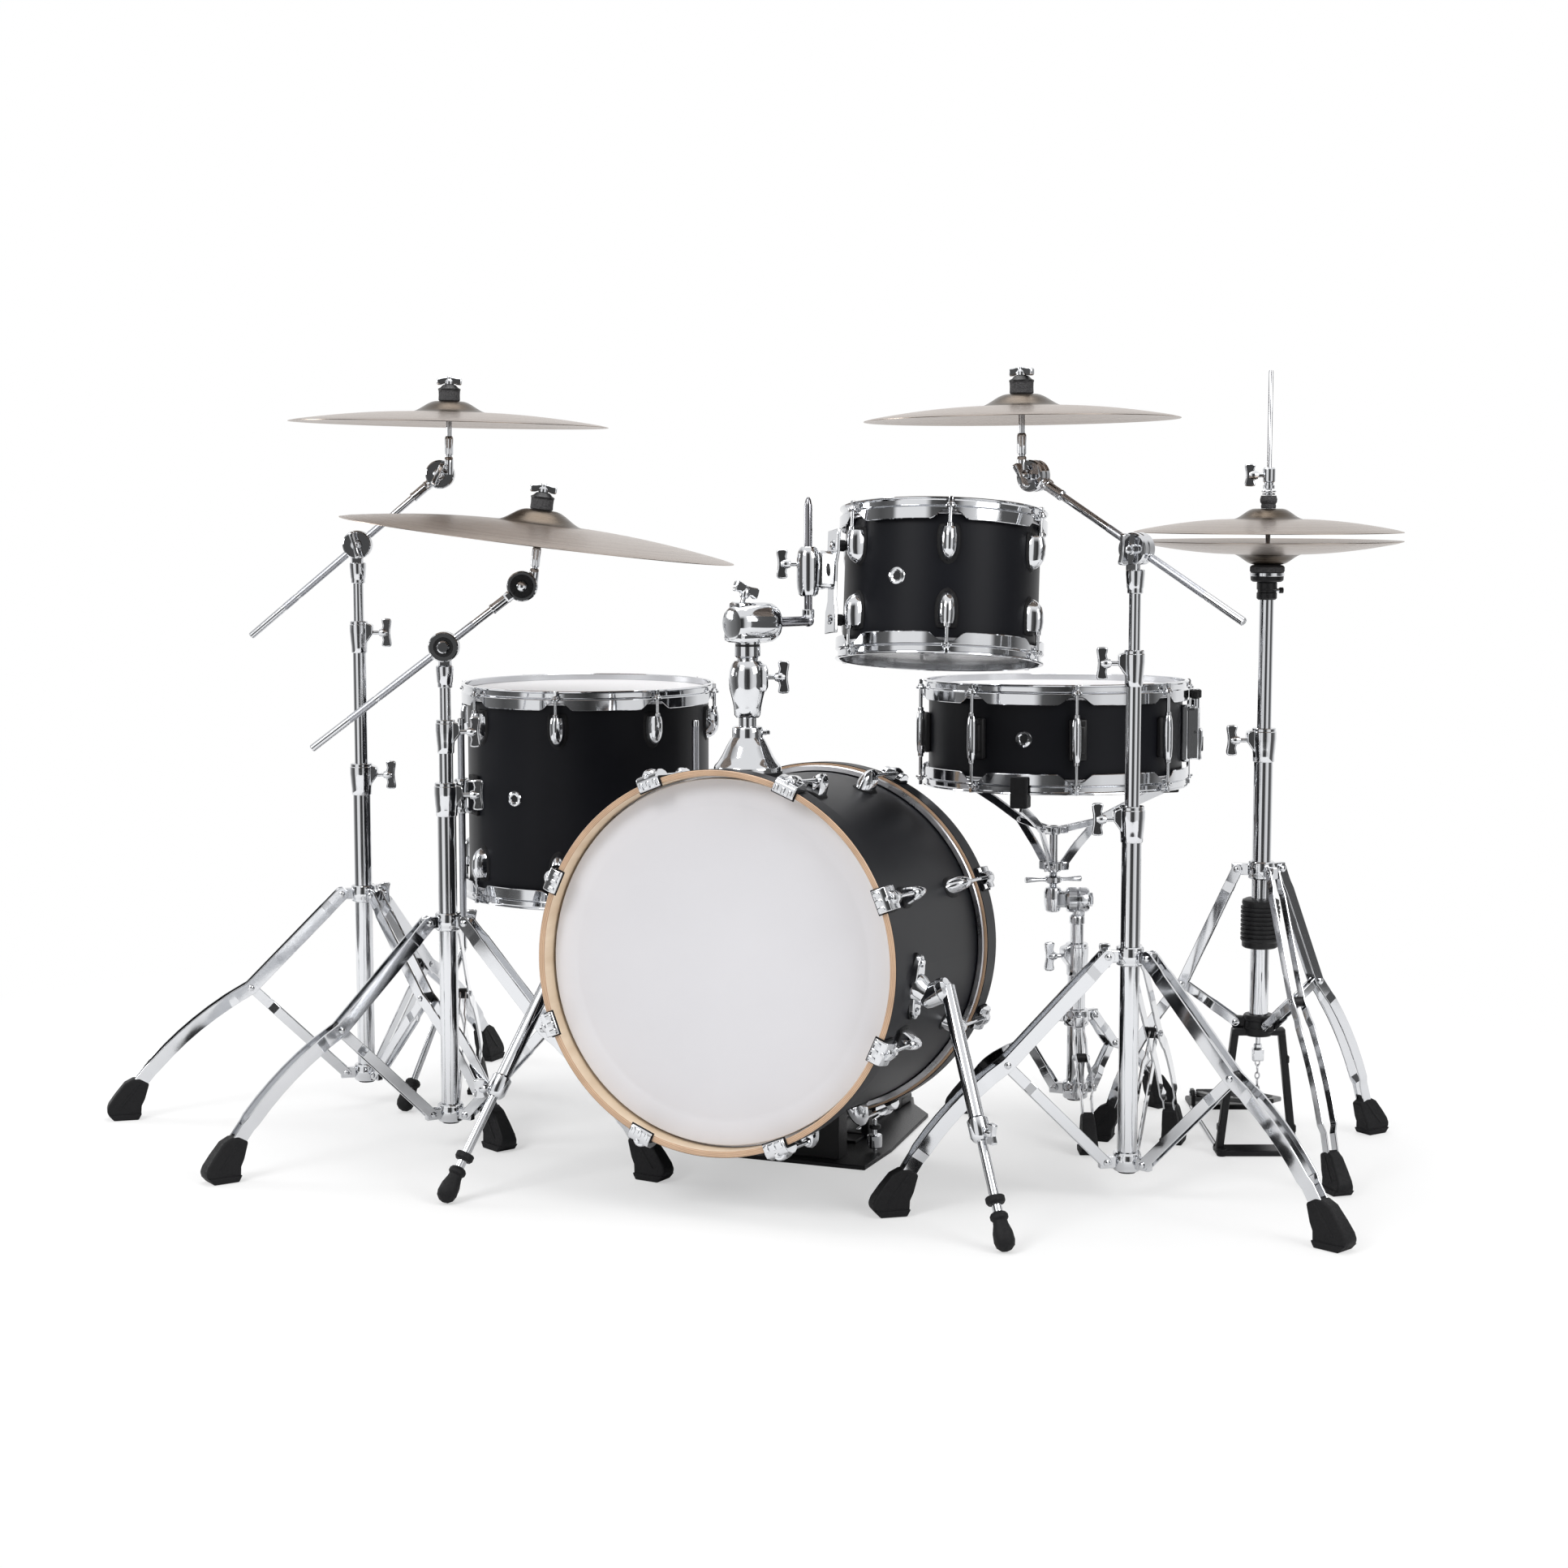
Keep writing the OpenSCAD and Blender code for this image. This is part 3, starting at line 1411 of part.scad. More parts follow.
// Spur: knuckle, upper tube, lower rod with its rubber tip
module bass_spur(side) {
    p = spur_pivot(side);
    hinge = spur_hinge(side);
    foot = spur_foot(side);
    start = p + hinge * (spur_d / 2 + gap);
    along = unit(foot - start);
    kit() {
        rod(p + hinge * gap / 2, p + hinge * spur_half, spur_knuckle);
        rod(p - hinge * (spur_half + 6), p + hinge * 2, 8);
        rod(start, start + along * 190, spur_d);
        rod(start + along * 170, start + along * 200, spur_d + 7);
        rod(start, foot, 12);
        rod(foot + along * -52, foot + along * -42, 24);
        rubber_tip(start, foot);
        translate(start + along * 185)
            rotate([0, 0, side > 0 ? -60 : -150]) translate([spur_d / 2, 0, 0]) wing_bolt(8, 26);
    }
}

module bass_spur_right() {
    color("silver") bass_spur(1);
}

module bass_spur_left() {
    color("silver") bass_spur(-1);
}

// ---------- riser and pedal of the bass drum ----------

plate_t = 6;
riser_front = 278;
riser_back = 387;
pedal_axle_y = 432;
column_x = 46;
column_w = 12;
pedal_toe = [0, 446, 80];
pedal_heel = [0, 608, 26];
heel_half = 26;
beater_len = 165;
beater_lean = 30;
chain_y = 450;
cam_d = 40;

// Frame on the floor: Y along the drum, from under its front hoop
module at_pedal() {
    kit() translate([bass_at[0], bass_at[1], 0])
        rotate([0, 0, -bass_turn])
            children();
}

// Base plate, riser box, hoop clamp, columns and heel plate
module bass_pedal_frame() {
    half = riser_w / 2;
    post_x = 0.85 * half;
    color("dimgray") {
        at_pedal() {
            linear_extrude(plate_t)
                polygon([[-half, riser_front], [half, riser_front], [half, riser_back],
                         [0.8 * half, pedal_end - 93], [0.4 * half, pedal_end - 40],
                         [0.25 * half, pedal_end], [-0.25 * half, pedal_end],
                         [-0.4 * half, pedal_end - 40], [-0.8 * half, pedal_end - 93], [-half, riser_back]]);
            for (side = [-1, 1]) {
                translate([side * post_x, 358, plate_t]) {
                    cylinder(d = 6, h = 46);
                    translate([0, 0, 6]) cylinder(d = 20, h = 18);
                    translate([0, 0, 32]) cylinder(d = 16, h = 6);
                }
                difference() {
                    translate([side * column_x - column_w / 2, pedal_axle_y - 9, plate_t])
                        cube([column_w, 18, beater_axle_z + 5]);
                    translate([0, 0, beater_axle_z])
                        rotate([0, 90, 0])
                            translate([0, pedal_axle_y, -80]) cylinder(d = 8 + 2 * fit, h = 160);
                }
                difference() {
                    translate([side * (heel_half + gap + 3) - 3, pedal_heel[1] - 9, plate_t])
                        cube([6, 18, pedal_heel[2] + 2]);
                    translate(pedal_heel) rotate([0, 0, 90]) pivot_pin(0, 0, 90, pin_d + 2 * fit);
                }
            }
            translate([-column_x, pedal_axle_y - 9, plate_t]) cube([2 * column_x, 18, 8]);
            translate([-column_x, riser_back, plate_t]) cube([2 * column_x, pedal_axle_y - riser_back, 5]);
            translate([-32, pedal_heel[1] + 8, plate_t]) cube([64, pedal_end - pedal_heel[1] - 34, 14]);
        }
        difference() {
            at_pedal() translate([-55, riser_front + 20, plate_t]) cube([110, 32, riser_h + 20]);
            bass_outside(bass_d);
        }
        difference() {
            at_pedal() translate([-30, riser_back - 34, plate_t]) cube([60, 32, riser_h]);
            bass_outside(wood_hoop_d);
        }
    }
}

module bass_pedal_footboard() {
    heel = [pedal_heel[1], 0, pedal_heel[2]];
    toe = [pedal_toe[1], 0, pedal_toe[2]];
    length = norm(toe - heel);
    half = board_w / 2 - 6;
    color("dimgray") at_pedal() {
        rotate([0, 0, 90])
            footboard(heel, toe,
                      [[0, -heel_half + 1], [14, -heel_half + 1], [34, -half], [length * 0.7, -half],
                       [length, -18], [length, 18], [length * 0.7, half], [34, half],
                       [14, heel_half - 1], [0, heel_half - 1]],
                      2 * heel_half, 2 * heel_half + 12);
        translate([-3, chain_y - 3, pedal_toe[2] - 4]) cube([6, 5, beater_axle_z - 14 - pedal_toe[2] + 4]);
    }
}

// Axle with its slotted cam, beater shaft and felt head
module bass_pedal_beater() {
    color("silver") at_pedal() translate([0, pedal_axle_y, beater_axle_z]) {
        rotate([0, 90, 0]) translate([0, 0, -column_x - 12]) cylinder(d = 8, h = 2 * column_x + 24);
        rotate([0, 90, 0]) translate([0, 0, -8]) cylinder(d = 18, h = 16);
        for (side = [-1, 1])
            translate([side * 6 - 2, 0, 0]) rotate([0, 90, 0]) cylinder(d = cam_d, h = 4);
        rotate([-beater_lean, 0, 0]) {
            cylinder(d = 6.5, h = beater_len + 4);
            translate([0, 18, beater_len]) rotate([90, 0, 0]) cylinder(d = 46, h = 36);
        }
    }
}

// ---------- tom holder ----------

holder_at = on_bass(holder_along, 0, 0);
holder_post_low = 490;
holder_top_z = 606;
dome_top_z = 591;
ball_at = [holder_at[0], holder_at[1], ball_z];
arm_turn = atan2(l_rod_at[1] - holder_at[1], l_rod_at[0] - holder_at[0]);
ratchet_z = 768;
ratchet_h = 63;
bracket_turn = 201;
bracket_off = 24;

module at_holder(z) {
    kit() translate([holder_at[0], holder_at[1], z]) children();
}

// Saddle on the bass drum with the memory lock on top
module tom_mount_base() {
    color("silver") difference() {
        at_holder(500) {
            cylinder(d = 86, h = 56);
            translate([0, 0, 56]) cylinder(d1 = 86, d2 = 44, h = dome_top_z - 556);
            translate([0, 0, dome_top_z - 500]) cylinder(d = 39, h = holder_top_z - dome_top_z);
            translate([19, 0, holder_top_z - 508]) rotate([0, 90, 0]) cylinder(d = 7, h = 8);
        }
        bass_outside(bass_d);
        at_holder(450) cylinder(d = holder_post_d + 2 * fit, h = 200);
    }
}

// Post with its clamp body and the housing of the ball
module tom_holder_post() {
    color("silver") difference() {
        union() {
            at_holder(holder_post_low) cylinder(d = holder_post_d, h = holder_clamp_top - holder_post_low);
            at_holder(620) cylinder(d = 35, h = 33);
            at_holder(holder_clamp_top - 45) translate([-24, -20, 0]) cube([48, 40, 45]);
            at_holder(holder_clamp_top - 22) translate([24, 0, 0]) wing_bolt(12, 42);
            at_holder(holder_clamp_top) cylinder(d = 33, h = ball_z - holder_clamp_top - 12);
            at_holder(ball_z) rotate([0, 0, arm_turn]) {
                translate([-26, 0, 0]) rotate([0, 90, 0]) cylinder(d = 50, h = 40);
                translate([-10, 0, 20]) rotate([0, -70, 0]) wing_bolt(14, 38);
            }
        }
        at_holder(ball_z) rotate([0, 0, arm_turn]) rotate([0, 90, 0]) {
            translate([0, 0, -ball_d / 2 - fit]) cylinder(d = ball_d + 2 * fit, h = ball_d / 2 + 10.3);
            cylinder(d = 30.4, h = 60);
        }
    }
}

// Ball, level arm and upright rod in one piece
module tom_holder_arm() {
    color("silver") {
        translate(kit_shift + ball_at) sphere(d = ball_d);
        kit() {
            rod(ball_at, [l_rod_at[0], l_rod_at[1], ball_z], l_rod_d + 3);
            translate([l_rod_at[0], l_rod_at[1], ball_z]) sphere(d = l_rod_d + 5);
            translate([l_rod_at[0], l_rod_at[1], ball_z]) cylinder(d = l_rod_d, h = l_rod_top - 8 - ball_z);
            translate([l_rod_at[0], l_rod_at[1], l_rod_top - 8]) cylinder(d1 = l_rod_d, d2 = 3, h = 8);
        }
    }
}

// Bracket of the rack tom: plate, rubber mounts and the clamp on the upright rod
module tom_bracket() {
    r = rack_d / 2;
    plate_r = r + bracket_off;
    color("silver") difference() {
        union() {
            at_rack() rotate([0, 0, bracket_turn]) {
                translate([plate_r, -17, -160]) cube([5, 34, 134]);
                for (z = [-46, -142])
                    translate([r - 3, 0, z]) rotate([0, 90, 0]) cylinder(d = 15, h = bracket_off + 4);
                translate([plate_r + 2, -12, -104]) cube([26, 24, 50]);
            }
            kit() translate([l_rod_at[0], l_rod_at[1], ratchet_z]) {
                cylinder(d = 30, h = ratchet_h);
                rotate([0, 0, 180]) translate([14, 0, ratchet_h - 22]) wing_bolt(10, 38);
            }
        }
        at_rack() translate([0, 0, -rack_depth]) cylinder(d = rack_d, h = rack_depth);
        kit() translate([l_rod_at[0], l_rod_at[1], ratchet_z - 40]) cylinder(d = l_rod_d + 2 * fit, h = 200);
    }
}

// ---------- rubber feet of the stands ----------

module stand_rubber_feet() {
    color("#202020") {
        for (k = [0 : 2])
            at_stand(k)
                tripod_feet(stand_legs[k], stand_reach[k], leg_top, knee_r, knee_z, boom_strap_w);
        at_hat() tripod_feet(hat_legs, hat_reach, hat_leg_top, hat_knee_r, hat_knee_z);
        at_snare_stand() tripod_feet(snare_legs, snare_reach, snare_leg_top, snare_knee_r, snare_knee_z);
    }
}

left_stand_base();
left_stand_middle_tube();
left_stand_top_tube();
left_boom_arm();
left_cymbal_post();
left_crash_cymbal();
ride_stand_base();
ride_stand_middle_tube();
ride_stand_top_tube();
ride_boom_arm();
ride_cymbal_post();
ride_cymbal();
right_stand_base();
right_stand_middle_tube();
right_stand_top_tube();
right_boom_arm();
right_cymbal_post();
right_crash_cymbal();
stand_rubber_feet();
hihat_base();
hihat_pedal_frame();
hihat_footboard();
hihat_upper_tube();
hihat_bottom_cymbal();
hihat_pull_rod();
hihat_clutch();
hihat_top_cymbal();
bass_pedal_frame();
bass_pedal_footboard();
bass_pedal_beater();
snare_stand_base();
snare_stand_upper_tube();
snare_stand_basket();
snare_shell();
snare_hoops();
snare_heads();
snare_lugs();
snare_throw_lever();
snare_wires();
rack_tom_shell();
rack_tom_hoops();
rack_tom_heads();
rack_tom_lugs();
tom_mount_base();
tom_holder_post();
tom_holder_arm();
tom_bracket();
floor_tom_shell();
floor_tom_hoops();
floor_tom_heads();
floor_tom_lugs();
floor_tom_leg_left();
floor_tom_leg_right();
floor_tom_leg_back();
bass_drum_shell();
bass_drum_hoops();
bass_drum_heads();
bass_drum_lugs();
bass_spur_left();
bass_spur_right();
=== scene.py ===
"""Looks of the drum kit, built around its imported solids.
"""
import math

import bmesh
import bpy
from mathutils import Matrix, Vector


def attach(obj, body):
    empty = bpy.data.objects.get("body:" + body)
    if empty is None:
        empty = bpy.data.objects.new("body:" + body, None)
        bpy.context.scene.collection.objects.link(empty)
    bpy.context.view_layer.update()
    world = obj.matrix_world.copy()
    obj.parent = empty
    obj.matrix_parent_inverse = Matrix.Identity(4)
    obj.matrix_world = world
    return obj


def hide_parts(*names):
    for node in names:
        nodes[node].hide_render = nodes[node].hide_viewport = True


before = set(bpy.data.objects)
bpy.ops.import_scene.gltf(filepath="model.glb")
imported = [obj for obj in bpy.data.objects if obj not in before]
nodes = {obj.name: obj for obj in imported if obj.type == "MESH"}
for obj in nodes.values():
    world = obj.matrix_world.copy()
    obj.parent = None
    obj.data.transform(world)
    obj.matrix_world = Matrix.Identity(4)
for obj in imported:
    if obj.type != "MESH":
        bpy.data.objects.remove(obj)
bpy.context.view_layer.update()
scene = bpy.context.scene

KIT = Matrix.Scale(0.001, 4) @ Matrix.Translation((1.99, -49.52, 0))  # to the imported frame
HERE = Matrix()
SOFT_EDGE = math.radians(33)  # faces that meet at less than this look smooth
EASED_FROM = 0.5  # radians; sharper edges are rounded
GAP = 0.3


# ---------- places ----------

def move(x, y, z):
    return Matrix.Translation((x, y, z))


def turn(degrees, axis):
    return Matrix.Rotation(math.radians(degrees), 4, axis)


def across(degrees):
    return math.cos(math.radians(degrees)), math.sin(math.radians(degrees))


UPSIDE_DOWN = Matrix.Scale(-1, 4, (0, 0, 1))


def aim(start, end):
    """Frame at start whose Z points to end."""
    start, way = Vector(start), Vector(end) - Vector(start)
    return (Matrix.Translation(start)
            @ Matrix.Rotation(math.atan2(way.y, way.x), 4, "Z")
            @ Matrix.Rotation(math.atan2(math.hypot(way.x, way.y), way.z), 4, "Y"))


# ---------- finishes ----------

def finish(name, color, roughness, metallic=0.0, coat=0.0, coat_roughness=0.1, specular=0.5):
    made = bpy.data.materials.new(name)
    made.use_nodes = True
    shader = made.node_tree.nodes["Principled BSDF"]
    shader.inputs["Base Color"].default_value = (*color, 1)
    shader.inputs["Roughness"].default_value = roughness
    shader.inputs["Metallic"].default_value = metallic
    shader.inputs["Coat Weight"].default_value = coat
    shader.inputs["Coat Roughness"].default_value = coat_roughness
    shader.inputs["Specular IOR Level"].default_value = specular
    return made


def wire(made, source, target):
    shader = made.node_tree.nodes["Principled BSDF"]
    made.node_tree.links.new(source, shader.inputs[target])


def add(made, kind, inputs=(), **settings):
    """Adds a node to a finish or world, with its settings and its linked or plain inputs."""
    node = made.node_tree.nodes.new(kind)
    for key, value in settings.items():
        setattr(node, key, value)
    for key, value in dict(inputs).items():
        if isinstance(value, bpy.types.NodeSocket):
            made.node_tree.links.new(value, node.inputs[key])
        else:
            node.inputs[key].default_value = value
    return node


def spot(made, center=(0, 0, 0), rotation=(0, 0, 0), scale=(1, 1, 1)):
    """Object coordinates seen from a piece's own centre."""
    coords = add(made, "ShaderNodeTexCoord")
    return add(made, "ShaderNodeMapping", {"Vector": coords.outputs["Object"], "Location": center,
                                           "Rotation": rotation, "Scale": scale},
               vector_type="TEXTURE").outputs["Vector"]


def ramp(made, factor, stops):
    node = add(made, "ShaderNodeValToRGB", {"Fac": factor})
    elements = node.color_ramp.elements
    while len(elements) < len(stops):
        elements.new(0.5)
    for element, (position, color) in zip(elements, stops):
        element.position = position
        element.color = (*color, 1) if isinstance(color, tuple) else (color, color, color, 1)
    return node.outputs["Color"]


def grain(made, scale, stops, target, detail=4, place=None):
    """Noise of a given scale, in steps of colour or strength, into the shader."""
    noise = add(made, "ShaderNodeTexNoise", {"Vector": place or spot(made), "Scale": scale,
                                             "Detail": detail})
    wire(made, ramp(made, noise.outputs["Fac"], stops), target)
    return noise.outputs["Fac"]


def pitted(made, height, strength, depth):
    bump = add(made, "ShaderNodeBump", {"Height": height, "Strength": strength, "Distance": depth})
    wire(made, bump.outputs["Normal"], "Normal")


def around_axis(made, place):
    """Distance from a piece's axis, in metres."""
    flat = add(made, "ShaderNodeVectorMath", {0: place, 1: (1, 1, 0)}, operation="MULTIPLY")
    return add(made, "ShaderNodeVectorMath", {0: flat.outputs["Vector"]},
               operation="LENGTH").outputs["Value"]


chrome = finish("chrome plate", (0.62, 0.63, 0.65), 0.06, metallic=1)
grain(chrome, 30, ((0.3, 0.045), (0.7, 0.10)), "Roughness")

dark_chrome = finish("black chrome", (0.30, 0.30, 0.32), 0.1, metallic=1)
grain(dark_chrome, 30, ((0.3, 0.07), (0.7, 0.14)), "Roughness")

worked_steel = finish("knurled steel", (0.42, 0.43, 0.46), 0.38, metallic=1)
pitted(worked_steel, grain(worked_steel, 900,
                           ((0.3, (0.33, 0.34, 0.37)), (0.7, (0.52, 0.53, 0.56))), "Base Color"),
       0.4, 0.0003)

head_ring = finish("head ring", (0.55, 0.55, 0.57), 0.3, metallic=1)
grain(head_ring, 60, ((0.3, 0.24), (0.7, 0.38)), "Roughness")

satin_black = finish("satin black lacquer", (0.006, 0.0065, 0.009), 0.42, specular=0.14)
grain(satin_black, 8, ((0.3, (0.005, 0.0055, 0.0078)), (0.7, (0.007, 0.0075, 0.0102))),
      "Base Color")

black_paint = finish("black powder paint", (0.008, 0.008, 0.009), 0.36, specular=0.25)
pitted(black_paint, grain(black_paint, 500, ((0.3, 0.32), (0.7, 0.46)), "Roughness"), 0.12, 0.0002)

rubber = finish("black rubber", (0.008, 0.008, 0.009), 0.6, specular=0.2)
pitted(rubber, grain(rubber, 320, ((0.3, 0.5), (0.7, 0.72)), "Roughness"), 0.2, 0.0002)

nylon = finish("black nylon", (0.010, 0.010, 0.011), 0.34, specular=0.3)
grain(nylon, 200, ((0.3, 0.36), (0.7, 0.5)), "Roughness")

felt = finish("charcoal felt", (0.05, 0.05, 0.05), 0.95, specular=0.1)
pitted(felt, grain(felt, 1100, ((0.35, (0.02, 0.02, 0.022)), (0.72, (0.17, 0.17, 0.175))),
                   "Base Color", detail=6), 0.6, 0.0006)

felt_pale = finish("pale felt", (0.62, 0.60, 0.56), 0.95, specular=0.1)
pitted(felt_pale, grain(felt_pale, 1100, ((0.35, (0.48, 0.46, 0.43)), (0.72, (0.72, 0.70, 0.66))),
                        "Base Color", detail=6), 0.5, 0.0006)

white_film = finish("coated white film", (0.80, 0.79, 0.80), 0.5)
pitted(white_film, grain(white_film, 420, ((0.3, (0.77, 0.765, 0.78)), (0.7, (0.83, 0.825, 0.84))),
                         "Base Color"), 0.1, 0.0001)

head_film = finish("smooth grey-white film", (0.66, 0.655, 0.68), 0.42, specular=0.35)
grain(head_film, 5, ((0.3, (0.65, 0.645, 0.67)), (0.7, (0.675, 0.67, 0.695))), "Base Color")

clear_film = finish("clear film", (0.86, 0.86, 0.87), 0.12)
clear_film.node_tree.nodes["Principled BSDF"].inputs["Transmission Weight"].default_value = 0.85
clear_film.node_tree.nodes["Principled BSDF"].inputs["IOR"].default_value = 1.08
grain(clear_film, 40, ((0.3, 0.08), (0.7, 0.16)), "Roughness")


def lathed_bronze(name, place, bell):
    """Bronze with the fine rings of the lathe around its own axis; its bell is painted near-black
    as shade.
    """
    made = finish(name, (0.42, 0.35, 0.27), 0.27, metallic=1)
    seen = spot(made, place.translation, place.to_euler())
    radius = around_axis(made, seen)
    fine = add(made, "ShaderNodeTexNoise", {"W": radius, "Scale": 900, "Detail": 5},
               noise_dimensions="1D")
    broad = add(made, "ShaderNodeTexNoise", {"W": radius, "Scale": 120, "Detail": 3},
                noise_dimensions="1D")
    rings = ramp(made, fine.outputs["Fac"], ((0.3, (0.22, 0.178, 0.148)),
                                             (0.7, (0.44, 0.375, 0.325))))
    bands = ramp(made, broad.outputs["Fac"], ((0.35, (0.80, 0.78, 0.79)), (0.65, (1, 1, 1))))
    toned = add(made, "ShaderNodeMix", {"Factor": 1.0, "A": rings, "B": bands}, data_type="RGBA",
                blend_type="MULTIPLY")
    # Inside the bell the colour turns near-black: painted shade for the bell's dark reflection,
    # darker than its bronze.
    painted_bell_shade_mask = add(made, "ShaderNodeMapRange", {"Value": radius, "From Min": bell * 0.9 / 1000,
                                                 "From Max": bell * 1.06 / 1000})
    mixed = add(made, "ShaderNodeMix", {"Factor": painted_bell_shade_mask.outputs["Result"],
                                        "A": (0.075, 0.058, 0.043, 1), "B": toned.outputs[2]},
                data_type="RGBA")
    wire(made, mixed.outputs[2], "Base Color")
    wire(made, ramp(made, fine.outputs["Fac"], ((0.3, 0.22), (0.7, 0.36))), "Roughness")
    pitted(made, fine.outputs["Fac"], 0.35, 0.0004)
    return made


# ---------- forms ----------

def turned(profile, steps, closed=False):
    """Form of revolution around Z; the profile's points are (radius, height)."""
    bm = bmesh.new()
    verts = [bm.verts.new((r, 0, z)) for r, z in profile]
    edges = [bm.edges.new(pair) for pair in zip(verts, verts[1:])]
    if closed:
        edges.append(bm.edges.new((verts[-1], verts[0])))
    bmesh.ops.spin(bm, geom=verts + edges, angle=math.tau, steps=steps, axis=(0, 0, 1),
                   cent=(0, 0, 0), use_merge=True)
    bmesh.ops.remove_doubles(bm, verts=bm.verts, dist=1e-3)
    bmesh.ops.recalc_face_normals(bm, faces=bm.faces)
    return bm


def eased(bm, width, segments=2):
    """Rounds the sharp edges of a form; only the outlines of the roundings stay smooth."""
    edges = [e for e in bm.edges if len(e.link_faces) == 2 and e.calc_face_angle(0) > EASED_FROM]
    rounded = set(bmesh.ops.bevel(bm, geom=edges, offset=width, offset_type="OFFSET",
                                  affect="EDGES", segments=segments, profile=0.5, material=-1,
                                  clamp_overlap=True)["faces"])
    for edge in bm.edges:
        edge.smooth = len({face in rounded for face in edge.link_faces}) == 1
    return bm


def block(size, center=(0, 0, 0), edge=1.0):
    bm = bmesh.new()
    bmesh.ops.create_cube(bm, size=1, matrix=Matrix.Translation(center)
                          @ Matrix.Diagonal((*size, 1)))
    return eased(bm, edge)


def corner_block(low, size, edge=1.0):
    return block(size, [a + b / 2 for a, b in zip(low, size)], edge)


def plate(outline, thickness, edge=0.8, segments=2):
    """Flat form in XY with eased edges, its middle at z = 0."""
    bm = bmesh.new()
    face = bm.faces.new([bm.verts.new((x, y, -thickness / 2)) for x, y in outline])
    grown = bmesh.ops.extrude_face_region(bm, geom=[face])["geom"]
    bmesh.ops.translate(bm, verts=[g for g in grown if isinstance(g, bmesh.types.BMVert)],
                        vec=(0, 0, thickness))
    bmesh.ops.recalc_face_normals(bm, faces=bm.faces)
    return eased(bm, edge, segments) if edge else bm


def rod_profile(d, length, edge=0.5):
    """Profile of a solid rod with eased ends."""
    r = d / 2
    return [(0, 0), (r - edge, 0), (r, edge), (r, length - edge), (r - edge, length), (0, length)]


def ring_profile(outer, inner, z0, z1, edge):
    """Profile of a ring with eased corners, for a closed form."""
    return [(inner + edge, z0), (outer - edge, z0), (outer, z0 + edge), (outer, z1 - edge),
            (outer - edge, z1), (inner + edge, z1), (inner, z1 - edge), (inner, z0 + edge)]


class Piece:
    def __init__(self, name, at=HERE):
        self.name, self.at = name, at
        self.bm = bmesh.new()
        self.finishes = []

    def take(self, made, bm, at=HERE):
        """Adds a form in one finish; the form is used up."""
        place = KIT @ self.at @ at
        bmesh.ops.transform(bm, matrix=place, verts=bm.verts)
        if place.determinant() < 0:
            bmesh.ops.reverse_faces(bm, faces=bm.faces)
        if made not in self.finishes:
            self.finishes.append(made)
        for face in bm.faces:
            face.material_index = self.finishes.index(made)
            face.smooth = True
        for edge in bm.edges:
            soft = len(edge.link_faces) == 2 and edge.calc_face_angle(0) < SOFT_EDGE
            edge.smooth = edge.smooth and soft
        mesh = bpy.data.meshes.new("form")
        bm.to_mesh(mesh)
        bm.free()
        self.bm.from_mesh(mesh)
        bpy.data.meshes.remove(mesh)

    def lathe(self, made, profile, steps, at=HERE, closed=False):
        self.take(made, turned(profile, steps, closed), at)

    def ring(self, made, outer, inner, z0, z1, edge, steps, at=HERE):
        self.lathe(made, ring_profile(outer, inner, z0, z1, edge), steps, at, closed=True)

    def rod(self, made, start, end, d, edge=0.5, steps=32):
        length = (Vector(end) - Vector(start)).length
        self.lathe(made, rod_profile(d, length, edge), steps, aim(start, end))

    def pin(self, made, r, z, length, d, at=HERE):
        """Rivet across a leg, with domed ends."""
        half = length / 2
        profile = [(0, -half - 1.2), (d * 0.36, -half - 0.7), (d * 0.62, -half + 0.6),
                   (d * 0.62, -half + 1.6), (d / 2, -half + 1.7), (d / 2, half - 1.7),
                   (d * 0.62, half - 1.6), (d * 0.62, half - 0.6), (d * 0.36, half + 0.7),
                   (0, half + 1.2)]
        self.lathe(made, profile, 20, at @ move(r, 0, z) @ turn(90, "X"))

    def disc(self, made, d, y0, y1, at=HERE, edge=1.0, steps=40):
        """Round form lying along Y."""
        self.lathe(made, rod_profile(d, y1 - y0, edge), steps, at @ aim((0, y0, 0), (0, y1, 0)))

    def wing_bolt(self, at, shank, span):
        """Bolt along X with two flared wings."""
        self.lathe(chrome, [(0, 0), (3, 0), (3, shank - 2), (5, shank - 1), (6.4, shank + 3),
                            (6.4, shank + 7), (4.6, shank + 11), (0, shank + 12)], 20,
                   at @ turn(90, "Y"))
        half = span / 2
        side = [(-1, 0), (0.2, 0.24), (1.6, 0.5), (0.2, 0.78), (0, 0.94), (5.5, 1.0), (13.2, 0.97),
                (14.6, 0.8), (13.6, 0.5), (12.8, 0.3), (12.4, 0)]
        outline = [(x, y * half) for x, y in side] + [(x, -y * half) for x, y in side[-2:0:-1]]
        wings = plate(outline, 7.4, 2.2, 3)
        for v in wings.verts:
            v.co.z *= 0.72 + 0.34 * abs(v.co.y) / half
        self.take(chrome, wings, at @ move(shank + 2.4, 0, 0) @ turn(90, "X"))

    def show(self, body, *stood_for, slot="chrome"):
        """Makes the piece, which rides a body and stands for nodes."""
        mesh = bpy.data.meshes.new(self.name)
        self.bm.to_mesh(mesh)
        self.bm.free()
        for made in self.finishes:
            mesh.materials.append(made)
        piece = bpy.data.objects.new(self.name, mesh)
        scene.collection.objects.link(piece)
        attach(piece, body)
        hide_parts(*stood_for)


# ---------- stands ----------

